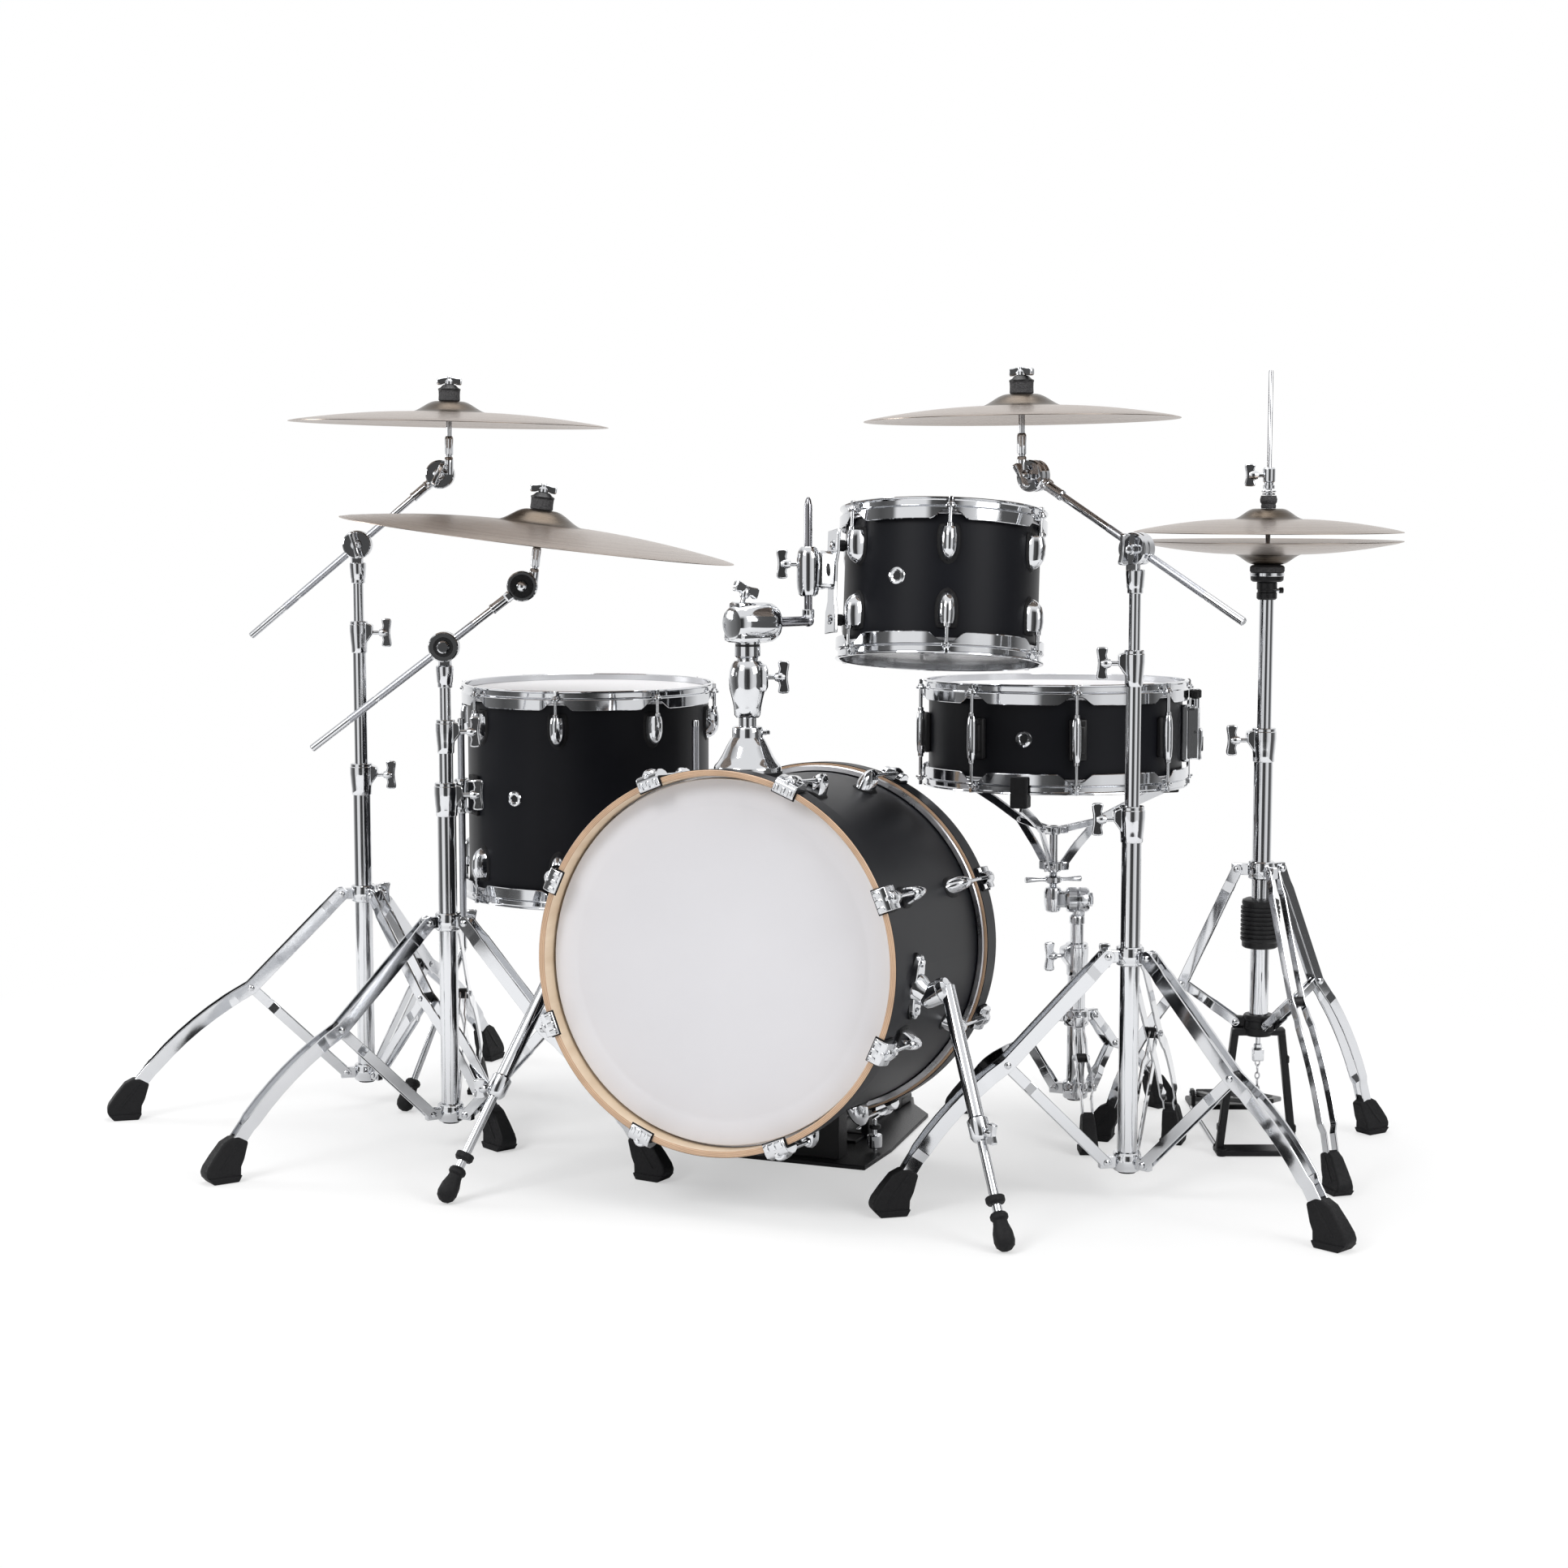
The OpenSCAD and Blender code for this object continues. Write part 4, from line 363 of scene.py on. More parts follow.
TUBE_BASE, TUBE_MIDDLE, TUBE_TOP, TUBE_WALL = 25.4, 19.1, 15, 1.3
CLAMP_H, COLLAR_H = 46, 24
BASE_CLAMP_TOP = 507
INSERT = 130  # length of a tube inside the one below
STRAP_W, BOOM_STRAP_W, STRAP_T = 14, 19, 2.6
PIVOT_R = 32
LEG_TOP, KNEE_R, KNEE_Z, LOW_Z = 316, 165, 184, 50
FOOT_H, FOOT_W = 62, 32
LARGE_BOOT, SMALL_BOOT = 0.96, 0.86  # share of the foot's full size
RING_D, RING_HALF = 41, 10
BOOM_D, BOOM_LEN = 10.5, 363
BOOM_SIDE = -6
ARM_HALF = 14
POST_AT = (13, 7)
SEAT_RISE = 103
FELT_D, FELT_H = 31, 15
CYMBAL_T = 1.6


def left_of(v):
    return Vector((-v.y, v.x))


def strap_outline(path, width):
    """Outline of a bar of even width around a path."""
    points = [Vector(p) for p in path]
    sides = []
    for i, p in enumerate(points):
        way = Vector((0, 0))
        if i:
            way += (p - points[i - 1]).normalized()
        if i < len(points) - 1:
            way += (points[i + 1] - p).normalized()
        sides.append(left_of(way.normalized()) * width / 2)
    return [p + s for p, s in zip(points, sides)] + [p - s for p, s in zip(points, sides)][::-1]


def strap(piece, path, width, thickness, offset, at):
    """Flat steel bar along a path in XZ."""
    piece.take(chrome, plate([tuple(p) for p in strap_outline(path, width)], thickness, 0.9),
               at @ move(0, offset, 0) @ turn(90, "X"))


JOG = 10  # length over which a strap steps to the side
PIVOT_SIDE, UPPER_SIDE, LOWER_SIDE, BOOT_SIDE, KNEE_STRUT_SIDE = 6.6, 8.3, 9.8, 6.8, 4
EAR_START, EAR_W, EAR_H = 12.2, 2 * (PIVOT_SIDE - STRAP_T / 2 - GAP), 16
BOOT_INSET = 22  # from a leg's reach in to the end of its straps


def bent_strap(piece, path, width, side, at):
    """Flat steel bar through points (x, z, distance to the side), with rounded ends."""
    points = [Vector(p[:2]) for p in path]
    outline = strap_outline(points, width)
    rings = [(p, outline[i] - p, path[i][2]) for i, p in enumerate(points)]
    for end, beyond in ((0, points[0] - points[1]), (-1, points[-1] - points[-2])):
        middle, half, y = rings[end]
        step = beyond.normalized() * width / 2
        for degrees in (25, 50, 72):
            c, s = across(degrees)
            rings.insert(0 if end == 0 else len(rings), (middle + step * s, half * c, y))
    bm = bmesh.new()
    loops = []
    for middle, half, y in rings:
        low, high = middle - half, middle + half
        loops.append([bm.verts.new((v.x, side * y + t * STRAP_T / 2, v.y))
                      for v, t in ((low, -1), (low, 1), (high, 1), (high, -1))])
    for a, b in zip(loops, loops[1:]):
        for i in range(4):
            bm.faces.new((a[i - 1], a[i], b[i], b[i - 1]))
    bm.faces.new(loops[0])
    bm.faces.new(loops[-1])
    bmesh.ops.recalc_face_normals(bm, faces=bm.faces)
    piece.take(chrome, eased(bm, 0.7), at)


def leg_path(reach, top_z, knee_r, knee_z):
    """Points of a leg's strap: close at the collar, wide below the knee, close in the boot."""
    top, knee = Vector((PIVOT_R, top_z)), Vector((knee_r, knee_z))
    end = Vector((reach - BOOT_INSET, FOOT_H - 13))
    out = left_of((end - knee).normalized())
    upper, lower = (knee - top).length, (end - knee).length
    first_jog, knee_jog, last_jog, arch_h = 22, 26, lower - 36, 11
    down = [(0, PIVOT_SIDE), (first_jog - 2, PIVOT_SIDE), (first_jog, PIVOT_SIDE),
            (first_jog + JOG, UPPER_SIDE), (first_jog + JOG + 2, UPPER_SIDE), (upper, UPPER_SIDE)]
    points = [(*top.lerp(knee, length / upper), y) for length, y in down]
    wide = [(38 + (lower - 76) * i / 5, LOWER_SIDE) for i in range(6)]
    arch = ([(knee_jog - 2, UPPER_SIDE), (knee_jog, UPPER_SIDE), (knee_jog + JOG, LOWER_SIDE)]
            + wide + [(last_jog, LOWER_SIDE), (last_jog + JOG, BOOT_SIDE),
                      (last_jog + JOG + 2, BOOT_SIDE), (lower, BOOT_SIDE)])
    for length, y in arch:
        share = length / lower
        points.append((*(knee.lerp(end, share) + out * arch_h * (1 - (2 * share - 1) ** 2)), y))
    return points


def strut_path(low, knee):
    """Points of a strut: wide at the lower collar, close at the knee."""
    low, knee = Vector(low), Vector(knee)
    length = (knee - low).length
    jog_end = length - 40
    stops = [(0, PIVOT_SIDE), (jog_end - JOG - 2, PIVOT_SIDE), (jog_end - JOG, PIVOT_SIDE),
             (jog_end, KNEE_STRUT_SIDE), (jog_end + 2, KNEE_STRUT_SIDE), (length, KNEE_STRUT_SIDE)]
    return [(*low.lerp(knee, along / length), y) for along, y in stops]


def collar(piece, z):
    """Ring on the base tube that the legs or struts turn on."""
    r, inner, half = TUBE_BASE / 2 + 5.5, TUBE_BASE / 2 - 0.6, COLLAR_H / 2
    lower = [(inner, -half), (r - 2, -half), (r - 0.6, 1.4 - half), (r - 0.6, 5 - half),
             (r, 6 - half)]
    profile = lower + [(x, -z) for x, z in lower[::-1]]
    piece.lathe(chrome, profile, 40, move(0, 0, z), closed=True)


def tripod(piece, turns, reach, top_z, knee_r, knee_z, low_z, width=STRAP_W, strut_width=12,
           low_collar=True):
    """Three legs of two straps each, with their struts, rivets and collars."""
    low_r = PIVOT_R - 2
    knee = UPPER_SIDE - STRAP_T / 2
    collars = [(PIVOT_R, top_z)] + [(low_r, low_z)] * low_collar
    for _, z in collars:
        collar(piece, z)
    for degrees in turns:
        at = turn(degrees, "Z")
        for r, z in collars:
            piece.take(chrome, corner_block((EAR_START, -EAR_W / 2, z - EAR_H / 2),
                                            (r + 8 - EAR_START, EAR_W, EAR_H), 1.5), at)
        for side in (-1, 1):
            bent_strap(piece, leg_path(reach, top_z, knee_r, knee_z), width, side, at)
            bent_strap(piece, strut_path((low_r, low_z), (knee_r, knee_z)), strut_width, side, at)
        piece.rod(nylon, at @ Vector((knee_r, -knee, knee_z)), at @ Vector((knee_r, knee, knee_z)),
                  strut_width + 1, 1)
        for r, z, y in ((PIVOT_R, top_z, PIVOT_SIDE), (knee_r, knee_z, UPPER_SIDE),
                        (low_r, low_z, PIVOT_SIDE)):
            piece.pin(chrome, r, z, 2 * y + STRAP_T + 4, 7, at)


def tube(piece, d, z0, z1):
    piece.ring(chrome, d / 2, d / 2 - TUBE_WALL, z0, z1, 0.4, 48)


def solid_tube(piece, d, z0, z1):
    piece.lathe(chrome, rod_profile(d, z1 - z0), 48, move(0, 0, z0))


def tube_plug(piece):
    """Rubber plug in the lower end of a base tube."""
    piece.lathe(rubber, rod_profile(TUBE_BASE - 1, 5, 1), 32, move(0, 0, LOW_Z - COLLAR_H / 2 - 3))


def tube_clamp(piece, top, lower, upper, at):
    """Tapered casting at a tube's top, with its spout and wing bolt on +X."""
    wide, low = lower / 2 + 4, top - CLAMP_H
    bore = upper / 2 + 0.06
    piece.lathe(chrome, [(lower / 2 - 0.6, low), (lower / 2 + 1.2, low),
                         (lower / 2 + 1.8, low + 1), (lower / 2 + 1.9, low + 9),
                         (lower / 2 + 2.8, low + 17), (wide - 0.4, low + 27), (wide, low + 31),
                         (wide, top - 5.5), (wide - 0.9, top - 4.6), (wide - 0.9, top - 1),
                         (wide - 1.9, top), (bore, top), (bore, top - 20),
                         (lower / 2 - 0.6, top - 20)], 48, at, closed=True)
    inner = lower / 2 + 0.2
    spout = [(inner, -2), (wide + 5.2, -5), (wide + 7, -8), (wide + 7, -19), (wide + 4, -23),
             (wide - 1, -30), (inner, -33)]
    piece.take(chrome, plate([(x, z) for x, z in spout], 18, 3, 3),
               at @ move(0, 0, top) @ turn(90, "X"))
    piece.wing_bolt(at @ move(wide + 7, 0, top - 17), 10, 42)


class Stand:
    """Sizes and places of one boom stand.

    Its cymbal is given by name, diameter, width and height of the bell, and height of the bow.
    """

    def __init__(self, name, at, legs, reach, middle_top, pivot, heading, rise, ahead, tilt,
                 mirrored, wing, cymbal):
        self.name, self.legs, self.reach = name, legs, reach
        self.middle_top, self.pivot, self.rise, self.ahead = middle_top, pivot, rise, ahead
        self.wing, self.cymbal = wing, cymbal
        self.at = move(*at, 0)
        mirror = Matrix.Scale(-1 if mirrored else 1, 4, (0, 1, 0))
        self.at_pivot = move(*at, pivot) @ turn(heading, "Z") @ mirror
        c, s = across(rise)
        self.at_post = self.at_pivot @ move(ahead * c, BOOM_SIDE, ahead * s) @ turn(tilt, "Y")


STANDS = (
    Stand("left", at=(-559, 253), legs=(195, 310, 65), reach=350, middle_top=714, pivot=824,
          heading=0, rise=40, ahead=157, tilt=1.2, mirrored=True, wing=0,
          cymbal=("left_crash_cymbal", 457, 114, 16, 16)),
    Stand("ride", at=(-403, -4), legs=(214, 329, 90), reach=338, middle_top=593, pivot=692,
          heading=0, rise=37.4, ahead=135, tilt=7.1, mirrored=False, wing=0,
          cymbal=("ride_cymbal", 533, 122, 19, 21)),
    Stand("right", at=(496, -275), legs=(194, 314, 71), reach=318, middle_top=704, pivot=830,
          heading=139, rise=29.3, ahead=186, tilt=0.9, mirrored=False, wing=180,
          cymbal=("right_crash_cymbal", 406, 114, 16, 16)),
)


BELL_FLAT_R = FELT_D / 2 + 2


def cymbal_height(r, rim, bell, bell_h, bow_h):
    if r > bell:
        return bow_h * (1 - ((r - bell) / (rim - bell)) ** 1.7)
    if r <= BELL_FLAT_R:
        return bow_h + bell_h
    share = (r - BELL_FLAT_R) / (bell - BELL_FLAT_R)
    return bow_h + bell_h * (math.cos(math.pi * share) + 1) / 2


def cymbal(piece, made, d, bell_d, bell_h, bow_h):
    """Thin bowed disc with a bell, its seat at z = 0 and its edge thinner."""
    rim, bell, hole = d / 2, bell_d / 2, 4.31
    radii = [hole, hole + 4] + [BELL_FLAT_R + (bell - BELL_FLAT_R) * i / 12 for i in range(13)]
    radii += [bell + (rim - bell) * i / 16 for i in range(1, 17)]
    low = [(r, cymbal_height(r, rim, bell, bell_h, bow_h)) for r in radii]
    high = [(r, z + CYMBAL_T * (0.55 if r > rim - 1 else 1)) for r, z in low]
    piece.lathe(made, high + low[::-1], 120, move(0, 0, -bell_h - bow_h), closed=True)


def show_stand(stand):
    base = Piece(f"{stand.name}_tripod", stand.at)
    tube(base, TUBE_BASE, LOW_Z - COLLAR_H / 2, BASE_CLAMP_TOP - 30)
    tube_clamp(base, BASE_CLAMP_TOP, TUBE_BASE, TUBE_MIDDLE, turn(stand.wing, "Z"))
    tripod(base, stand.legs, stand.reach, LEG_TOP, KNEE_R, KNEE_Z, LOW_Z, BOOM_STRAP_W,
           BOOM_STRAP_W - 5)
    tube_plug(base)
    base.wing_bolt(turn(stand.wing, "Z") @ move(TUBE_BASE / 2 + 4, 0, LEG_TOP), 6, 32)
    base.show("kit_root", f"{stand.name}_stand_base")

    middle = Piece(f"{stand.name}_middle_section", stand.at)
    tube(middle, TUBE_MIDDLE, BASE_CLAMP_TOP - INSERT, stand.middle_top - 30)
    tube_clamp(middle, stand.middle_top, TUBE_MIDDLE, TUBE_TOP, turn(stand.wing, "Z"))
    middle.show(f"{stand.name}_middle_tube", f"{stand.name}_stand_middle_tube")

    top = Piece(f"{stand.name}_top_section", stand.at)
    sleeve = stand.pivot - RING_D / 2 - 5
    solid_tube(top, TUBE_TOP, stand.middle_top - INSERT, sleeve - 28)
    top.lathe(chrome, [(0, sleeve - 30), (9.2, sleeve - 30), (10, sleeve - 29), (10, sleeve - 24),
                       (10.8, sleeve - 22), (12, sleeve - 6), (12, sleeve - 1.5), (10.5, sleeve),
                       (0, sleeve)], 40)
    top.at = stand.at_pivot
    tilter_half(top, GAP / 2, RING_HALF)
    top.take(chrome, corner_block((-9, 0.8, -RING_D / 2 - 8), (18, RING_HALF - 1.4, 14), 2.5))
    top.show(f"{stand.name}_top_tube", f"{stand.name}_stand_top_tube")

    arm = Piece(f"{stand.name}_boom", stand.at_pivot @ turn(-stand.rise, "Y"))
    show_boom(arm, stand)
    arm.show(f"{stand.name}_boom", f"{stand.name}_boom_arm")

    post = Piece(f"{stand.name}_post", stand.at_post)
    show_post(post)
    post.show(f"{stand.name}_post", f"{stand.name}_cymbal_post")

    name, d, bell_d, bell_h, bow_h = stand.cymbal
    seat = stand.at_post @ move(*POST_AT, SEAT_RISE)
    disc = Piece(f"{name}_lathed", seat)
    bronze = lathed_bronze(f"{name} bronze", KIT @ seat, bell_d / 2)
    cymbal(disc, bronze, d, bell_d, bell_h, bow_h)
    disc.show(f"{stand.name}_cymbal_body", name, slot="cymbal_bronze")


def tilter_half(piece, y0, y1, at=HERE, face_out=0):
    """Half of a toothed tilter: chrome rim, with a black face where it is seen."""
    piece.disc(chrome, RING_D, y0, y1, at, 1.6, 56)
    if face_out:
        y = y1 if face_out > 0 else y0
        low, high = (y - 1, y + 0.35) if face_out > 0 else (y - 0.35, y + 1)
        piece.disc(nylon, RING_D - 14, low, high, at, 0.3, 48)


def show_boom(arm, stand):
    """Boom rod through its tilter, with its bolt and knurled stretches."""
    tilter_half(arm, -ARM_HALF, -GAP / 2, face_out=-1)
    arm.disc(chrome, 8, -GAP / 2 - 1, RING_HALF + 8)
    arm.disc(chrome, 17, -ARM_HALF - 4, -ARM_HALF - 0.2, edge=1.8)
    arm.disc(chrome, 15, RING_HALF + GAP, RING_HALF + 5)
    bolt_at = move(0, RING_HALF + GAP, 0) @ turn(90, "Z") @ turn(25, "X") @ move(2, 0, 0)
    arm.wing_bolt(bolt_at, 4, 40)
    start, end = stand.ahead - BOOM_LEN, stand.ahead - RING_D / 2 - 2
    arm.rod(chrome, (start, BOOM_SIDE, 0), (end, BOOM_SIDE, 0), BOOM_D - 0.6)
    tail = start + 62
    arm.rod(chrome, (start, BOOM_SIDE, 0), (tail, BOOM_SIDE, 0), BOOM_D, 1)
    for a, b in ((tail + 3, -118), (-112, -22), (22, 52)):
        if b - a > 8:
            arm.rod(worked_steel, (a, BOOM_SIDE, 0), (b, BOOM_SIDE, 0), BOOM_D - 0.2, 0.3)
    neck = stand.ahead - RING_D / 2
    arm.lathe(chrome, [(0, 0), (6.6, 0), (7.25, 0.8), (7.25, 3), (6.7, 3.6), (6.7, 25),
                       (7.25, 25.6), (7.25, 28), (6.6, 29), (7.2, 33), (0, 33)], 32,
              aim((neck - 32, BOOM_SIDE, 0), (neck + 1, BOOM_SIDE, 0)))
    at = move(stand.ahead, BOOM_SIDE, 0)
    shoulder = corner_block((-RING_D / 2 - 8, -RING_HALF, -7), (14, RING_HALF - GAP / 2, 14), 3)
    arm.take(chrome, shoulder, at)
    tilter_half(arm, -RING_HALF, -GAP / 2, at)


def show_post(post):
    """Cymbal post on its tilter half, with felts, cup and wing nut."""
    tilter_half(post, GAP / 2, RING_HALF)
    post.disc(nylon, RING_D - 9, -RING_HALF - 0.5, -RING_HALF + 0.2, edge=0.2)
    post.lathe(chrome, [(0, 0), (3, 0.3), (5.6, 1.6), (7.4, 3.8), (7.6, 5), (0, 5)], 28,
               aim((0, -RING_HALF - 5.6, 0), (0, 0, 0)))
    post.disc(chrome, 17, RING_HALF - 1, RING_HALF + 4)
    post.wing_bolt(move(0, RING_HALF + 3, 0) @ turn(90, "Z") @ turn(25, "X"), 4, 34)
    at = move(*POST_AT, 0)
    top = SEAT_RISE + CYMBAL_T + GAP
    cap = top + FELT_H + 8
    post.lathe(chrome, [(0, 0), (6.7, 0), (6.7, 20), (6, 24), (4.8, 25.5), (4.8, 27), (6, 28),
                        (6, 52), (5.2, 54), (4.25, 55), (4.25, cap - 1), (0, cap - 1)], 32, at)
    for i in range(8):
        post.rod(chrome, at @ turn(i * 45, "Z") @ Vector((5.4, 0, 29)),
                 at @ turn(i * 45, "Z") @ Vector((5.4, 0, 51)), 1.6, 0.4, 8)
    low = SEAT_RISE - 12 - GAP
    post.lathe(chrome, [(0, low - 3), (12, low - 3), (13, low - 2), (13, low), (0, low)], 36, at)
    post.lathe(felt, [(0, low), (13.5, low), (15.5, low + 1.6), (15.5, low + 10.4), (14, low + 12),
                      (0, low + 12)], 40, at)
    post.lathe(felt, [(0, top), (14.2, top), (15.4, top + 1.2), (15.1, top + FELT_H * 0.55),
                      (15.4, top + FELT_H), (0, top + FELT_H)], 40, at)
    cup = top + FELT_H
    post.lathe(nylon, [(0, cup), (16, cup), (16, cup + 2.4), (14.6, cup + 3), (12.5, cup + 4.2),
                       (10, cup + 6.8), (8.4, cup + 8), (0, cup + 8)], 40, at)
    post.lathe(chrome, [(0, cap), (6.2, cap), (7, cap + 1), (7, cap + 5), (6, cap + 6.5),
                        (4.8, cap + 8), (4.8, cap + 11), (3.4, cap + 12), (0, cap + 12)], 24, at)
    wing = [(6, 3), (-6, 3), (-11, 1), (-17, 0.4), (-18, 3), (-18, 8.6), (-17, 10.6), (-11, 10.8),
            (-6, 12), (6, 12), (11, 10.8), (17, 10.6), (18, 8.6), (18, 3), (17, 0.4), (11, 1)]
    post.take(chrome, plate([(x, z - 1) for x, z in wing][::-1], 8, 1.8, 3),
              at @ move(0, 0, cap) @ turn(90, "X"))


def rubber_boot(piece, reach, at, slim):
    """Ribbed boot on the end of a leg, shrunk around the straps' end."""
    end = reach - BOOT_INSET
    at = at @ move(end, 0, 0) @ Matrix.Diagonal((slim, slim, slim, 1)) @ move(-end, 0, 0)
    outline = [(reach + x, z) for x, z in ((-20, 0), (14, 0), (24, 10), (25, 16), (22, 24),
                                           (12, FOOT_H - 24), (-2, FOOT_H - 7), (-14, FOOT_H - 1),
                                           (-24, FOOT_H - 0.5), (-38, FOOT_H - 9), (-31, 30),
                                           (-26, 20), (-25, 8))]
    forms = [(plate(outline[::-1], FOOT_W - 3, 4, 3), at @ turn(90, "X"))]
    for x, z, length in ((-18, 47, 20), (-11, 38, 25), (-4, 29, 30)):
        rib = block((length, FOOT_W - 1, 3), (0, 0, 0), 1.2)
        bmesh.ops.transform(rib, matrix=turn(-90, "X") @ move(reach + x, 0, z) @ turn(48, "Y"),
                            verts=rib.verts)
        forms.append((rib, at @ turn(90, "X")))
    for bm, place in forms:
        for v in bm.verts:
            v.co.z *= 1 - 0.36 * v.co.y / FOOT_H
        piece.take(rubber, bm, place)
    sole = [(reach - 21, 0), (reach + 15, 0), (reach + 23, 9), (reach - 26, 9)]
    piece.take(rubber, plate(sole, FOOT_W, 1.5, 2), at @ turn(90, "X"))


HAT_AT = move(703, -40, 0)
HAT_LEGS, HAT_REACH = (33, 288, 159), 225
SNARE_STAND_AT = move(474, 135, 0)
SNARE_LEGS, SNARE_REACH = (270, 38, 155), 178


def show_feet():
    feet = Piece("stand_boots")
    for stand in STANDS:
        for degrees in stand.legs:
            rubber_boot(feet, stand.reach, stand.at @ turn(degrees, "Z"), LARGE_BOOT)
    for at, legs, reach in ((HAT_AT, HAT_LEGS, HAT_REACH),
                            (SNARE_STAND_AT, SNARE_LEGS, SNARE_REACH)):
        for degrees in legs:
            rubber_boot(feet, reach, at @ turn(degrees, "Z"), SMALL_BOOT)
    feet.show("kit_root", "stand_rubber_feet", slot="rubber_black")


for stand in STANDS:
    show_stand(stand)
show_feet()

# ---------- drums: top head at z = 0, shell below ----------

HEAD_T, FLESH_H = 0.8, 7
LEDGE, HOOP_RISE, HOOP_SKIRT, HOOP_T, HOOP_OUT = -4, 14, 14, 2.3, 9
ROD_OUT = HOOP_OUT + 3.5
HOOP_TOP = LEDGE + HOOP_RISE
LUG_LEN, LUG_W, LUG_OUT, LUG_INSET = 44, 21, 20, 27
RACK_D, RACK_DEPTH, RACK_LUGS = 254, 178, [30 + i * 60 for i in range(6)]
FLOOR_D, FLOOR_DEPTH, FLOOR_LUGS = 356, 294, [-100 + i * 45 for i in range(8)]
SNARE_D, SNARE_DEPTH, SNARE_LUGS = 356, 129, [-87 + i * 45 for i in range(8)]


def both_ends(depth):
    """Frames of a drum's top and bottom end."""
    return HERE, move(0, 0, -depth) @ UPSIDE_DOWN


def steel_hoop(piece, d, ear_turns, at):
    """Flanged hoop whose skirt is scalloped at its ears."""
    r = d / 2
    inner, wall, out = r + 2.3, r + 3.3, r + HOOP_OUT
    top, face = HOOP_TOP, wall + HOOP_T
    low = LEDGE - HOOP_SKIRT
    profile = [(wall, top - 1), (wall + 0.8, top), (out - 1, top), (out, top - 1),
               (out - 0.4, top - 2.4), (face + 1, top - 2.9), (face, top - 4.2),
               (face, LEDGE + 4.2), (face + 1, LEDGE + 2.8), (out - 1.4, LEDGE + HOOP_T),
               (out, LEDGE + 0.8), (out, LEDGE - 1), (out, low + 0.8), (out - 0.8, low),
               (out - HOOP_T, low), (out - HOOP_T, LEDGE - 1), (out - 3, LEDGE), (inner, LEDGE),
               (inner, LEDGE + 2), (wall, LEDGE + 3.4)]
    bm = turned(profile, 40 * len(ear_turns), closed=True)
    step = math.tau / len(ear_turns)
    for v in bm.verts:
        if v.co.z < low + 1:
            angle = (math.atan2(v.co.y, v.co.x) - math.radians(ear_turns[0])
                     + step / 2) % step - step / 2
            share = min(1, max(0, (abs(angle) * r - 7) / 17))
            v.co.z += (HOOP_SKIRT - 3.4) * (1 - share * share * (3 - 2 * share))
    bmesh.ops.recalc_face_normals(bm, faces=bm.faces)
    piece.take(chrome, bm, at)
    for degrees in ear_turns:
        ear = at @ turn(degrees, "Z") @ move(r + ROD_OUT, 0, LEDGE)
        piece.lathe(chrome, [(0, 0.2), (6, 0.2), (7, 1), (7, 3), (6, 4), (0, 4)], 24, ear)
        piece.take(chrome, block((11, 13, 3.4), (-5.5, 0, 2.2), 1.2), ear)


def tension_rod(piece, x, z0, z1, at):
    """Rod with its washer at z1 and a square head above it."""
    piece.lathe(chrome, [(0, z0), (2.5, z0), (2.5, z1), (4.8, z1 + 0.1), (4.8, z1 + 1.6),
                         (3.9, z1 + 2.6), (3.6, z1 + 3.4), (0, z1 + 3.4)], 16, at @ move(x, 0, 0))
    piece.take(chrome, block((5.2, 5.2, 7), (x, 0, z1 + 6.5), 0.8), at)


BULLET = ((0, 0.74), (1, 0.86), (6, 0.95), (0.30 * LUG_LEN, 1.0), (0.55 * LUG_LEN, 0.98),
          (0.72 * LUG_LEN, 0.88), (0.86 * LUG_LEN, 0.66), (0.95 * LUG_LEN, 0.38), (LUG_LEN, 0.06))


def bullet_lug(piece, r, width, out, inset, length, steps, at, seat=0.6, gasket=(5, 4.8, 3.8),
               wider=1.8):
    """Lug over a black gasket, blunt towards the hoop; steps are (distance, share of width)."""
    for made, beside, proud, margin in ((chrome, wider, out, 0), (rubber, *gasket)):
        stretch = (length + 2 * margin) / length
        profile = [(0, margin)] + [(share, margin - z * stretch) for z, share in steps]
        profile += [(0, -length - margin)]
        bm = turned(profile, 20)
        bmesh.ops.scale(bm, vec=(proud, width / 2 + beside, 1), verts=bm.verts)
        for v in bm.verts:
            if v.co.x < 0:
                v.co.x *= 0.12
        bmesh.ops.recalc_face_normals(bm, faces=bm.faces)
        piece.take(made, bm, at @ move(r - seat, 0, -inset))


def show_drum(name, body, at, d, depth, lug_turns, clear_bottom=False):
    hoops = Piece(f"{name}_flanged_hoops", at)
    heads = Piece(f"{name}_head_films", at)
    sleeve = d / 2 + 0.5
    for i, end in enumerate(both_ends(depth)):
        steel_hoop(hoops, d, lug_turns, end)
        film = clear_film if clear_bottom and i else white_film
        collar_low = LEDGE - FLESH_H
        heads.lathe(film, [(0, HEAD_T - 0.3), (sleeve - 9, HEAD_T - 0.3), (sleeve - 7, HEAD_T),
                           (sleeve + 0.2, HEAD_T), (sleeve + HEAD_T, 0),
                           (sleeve + HEAD_T, LEDGE - 1), (sleeve, LEDGE - 1), (sleeve, 0), (0, 0)],
                    96, end)
        heads.ring(head_ring, d / 2 + 4.5, sleeve, collar_low, LEDGE, 0.8, 96, end)
    hoops.show(body, f"{name}_hoops")
    heads.show(body, f"{name}_heads", slot="drum_head")


AT_RACK = move(266, -112, 875) @ turn(2, "Y") @ turn(-8.5, "X") @ move(0, 0, -HOOP_TOP)
FLOOR_TOM_AT = move(-233, 330, 0)
AT_FLOOR = FLOOR_TOM_AT @ move(0, 0, 620 - HOOP_TOP)
AT_SNARE = move(440, 143, 638) @ turn(-1.5, "X") @ move(0, 0, -HOOP_TOP)

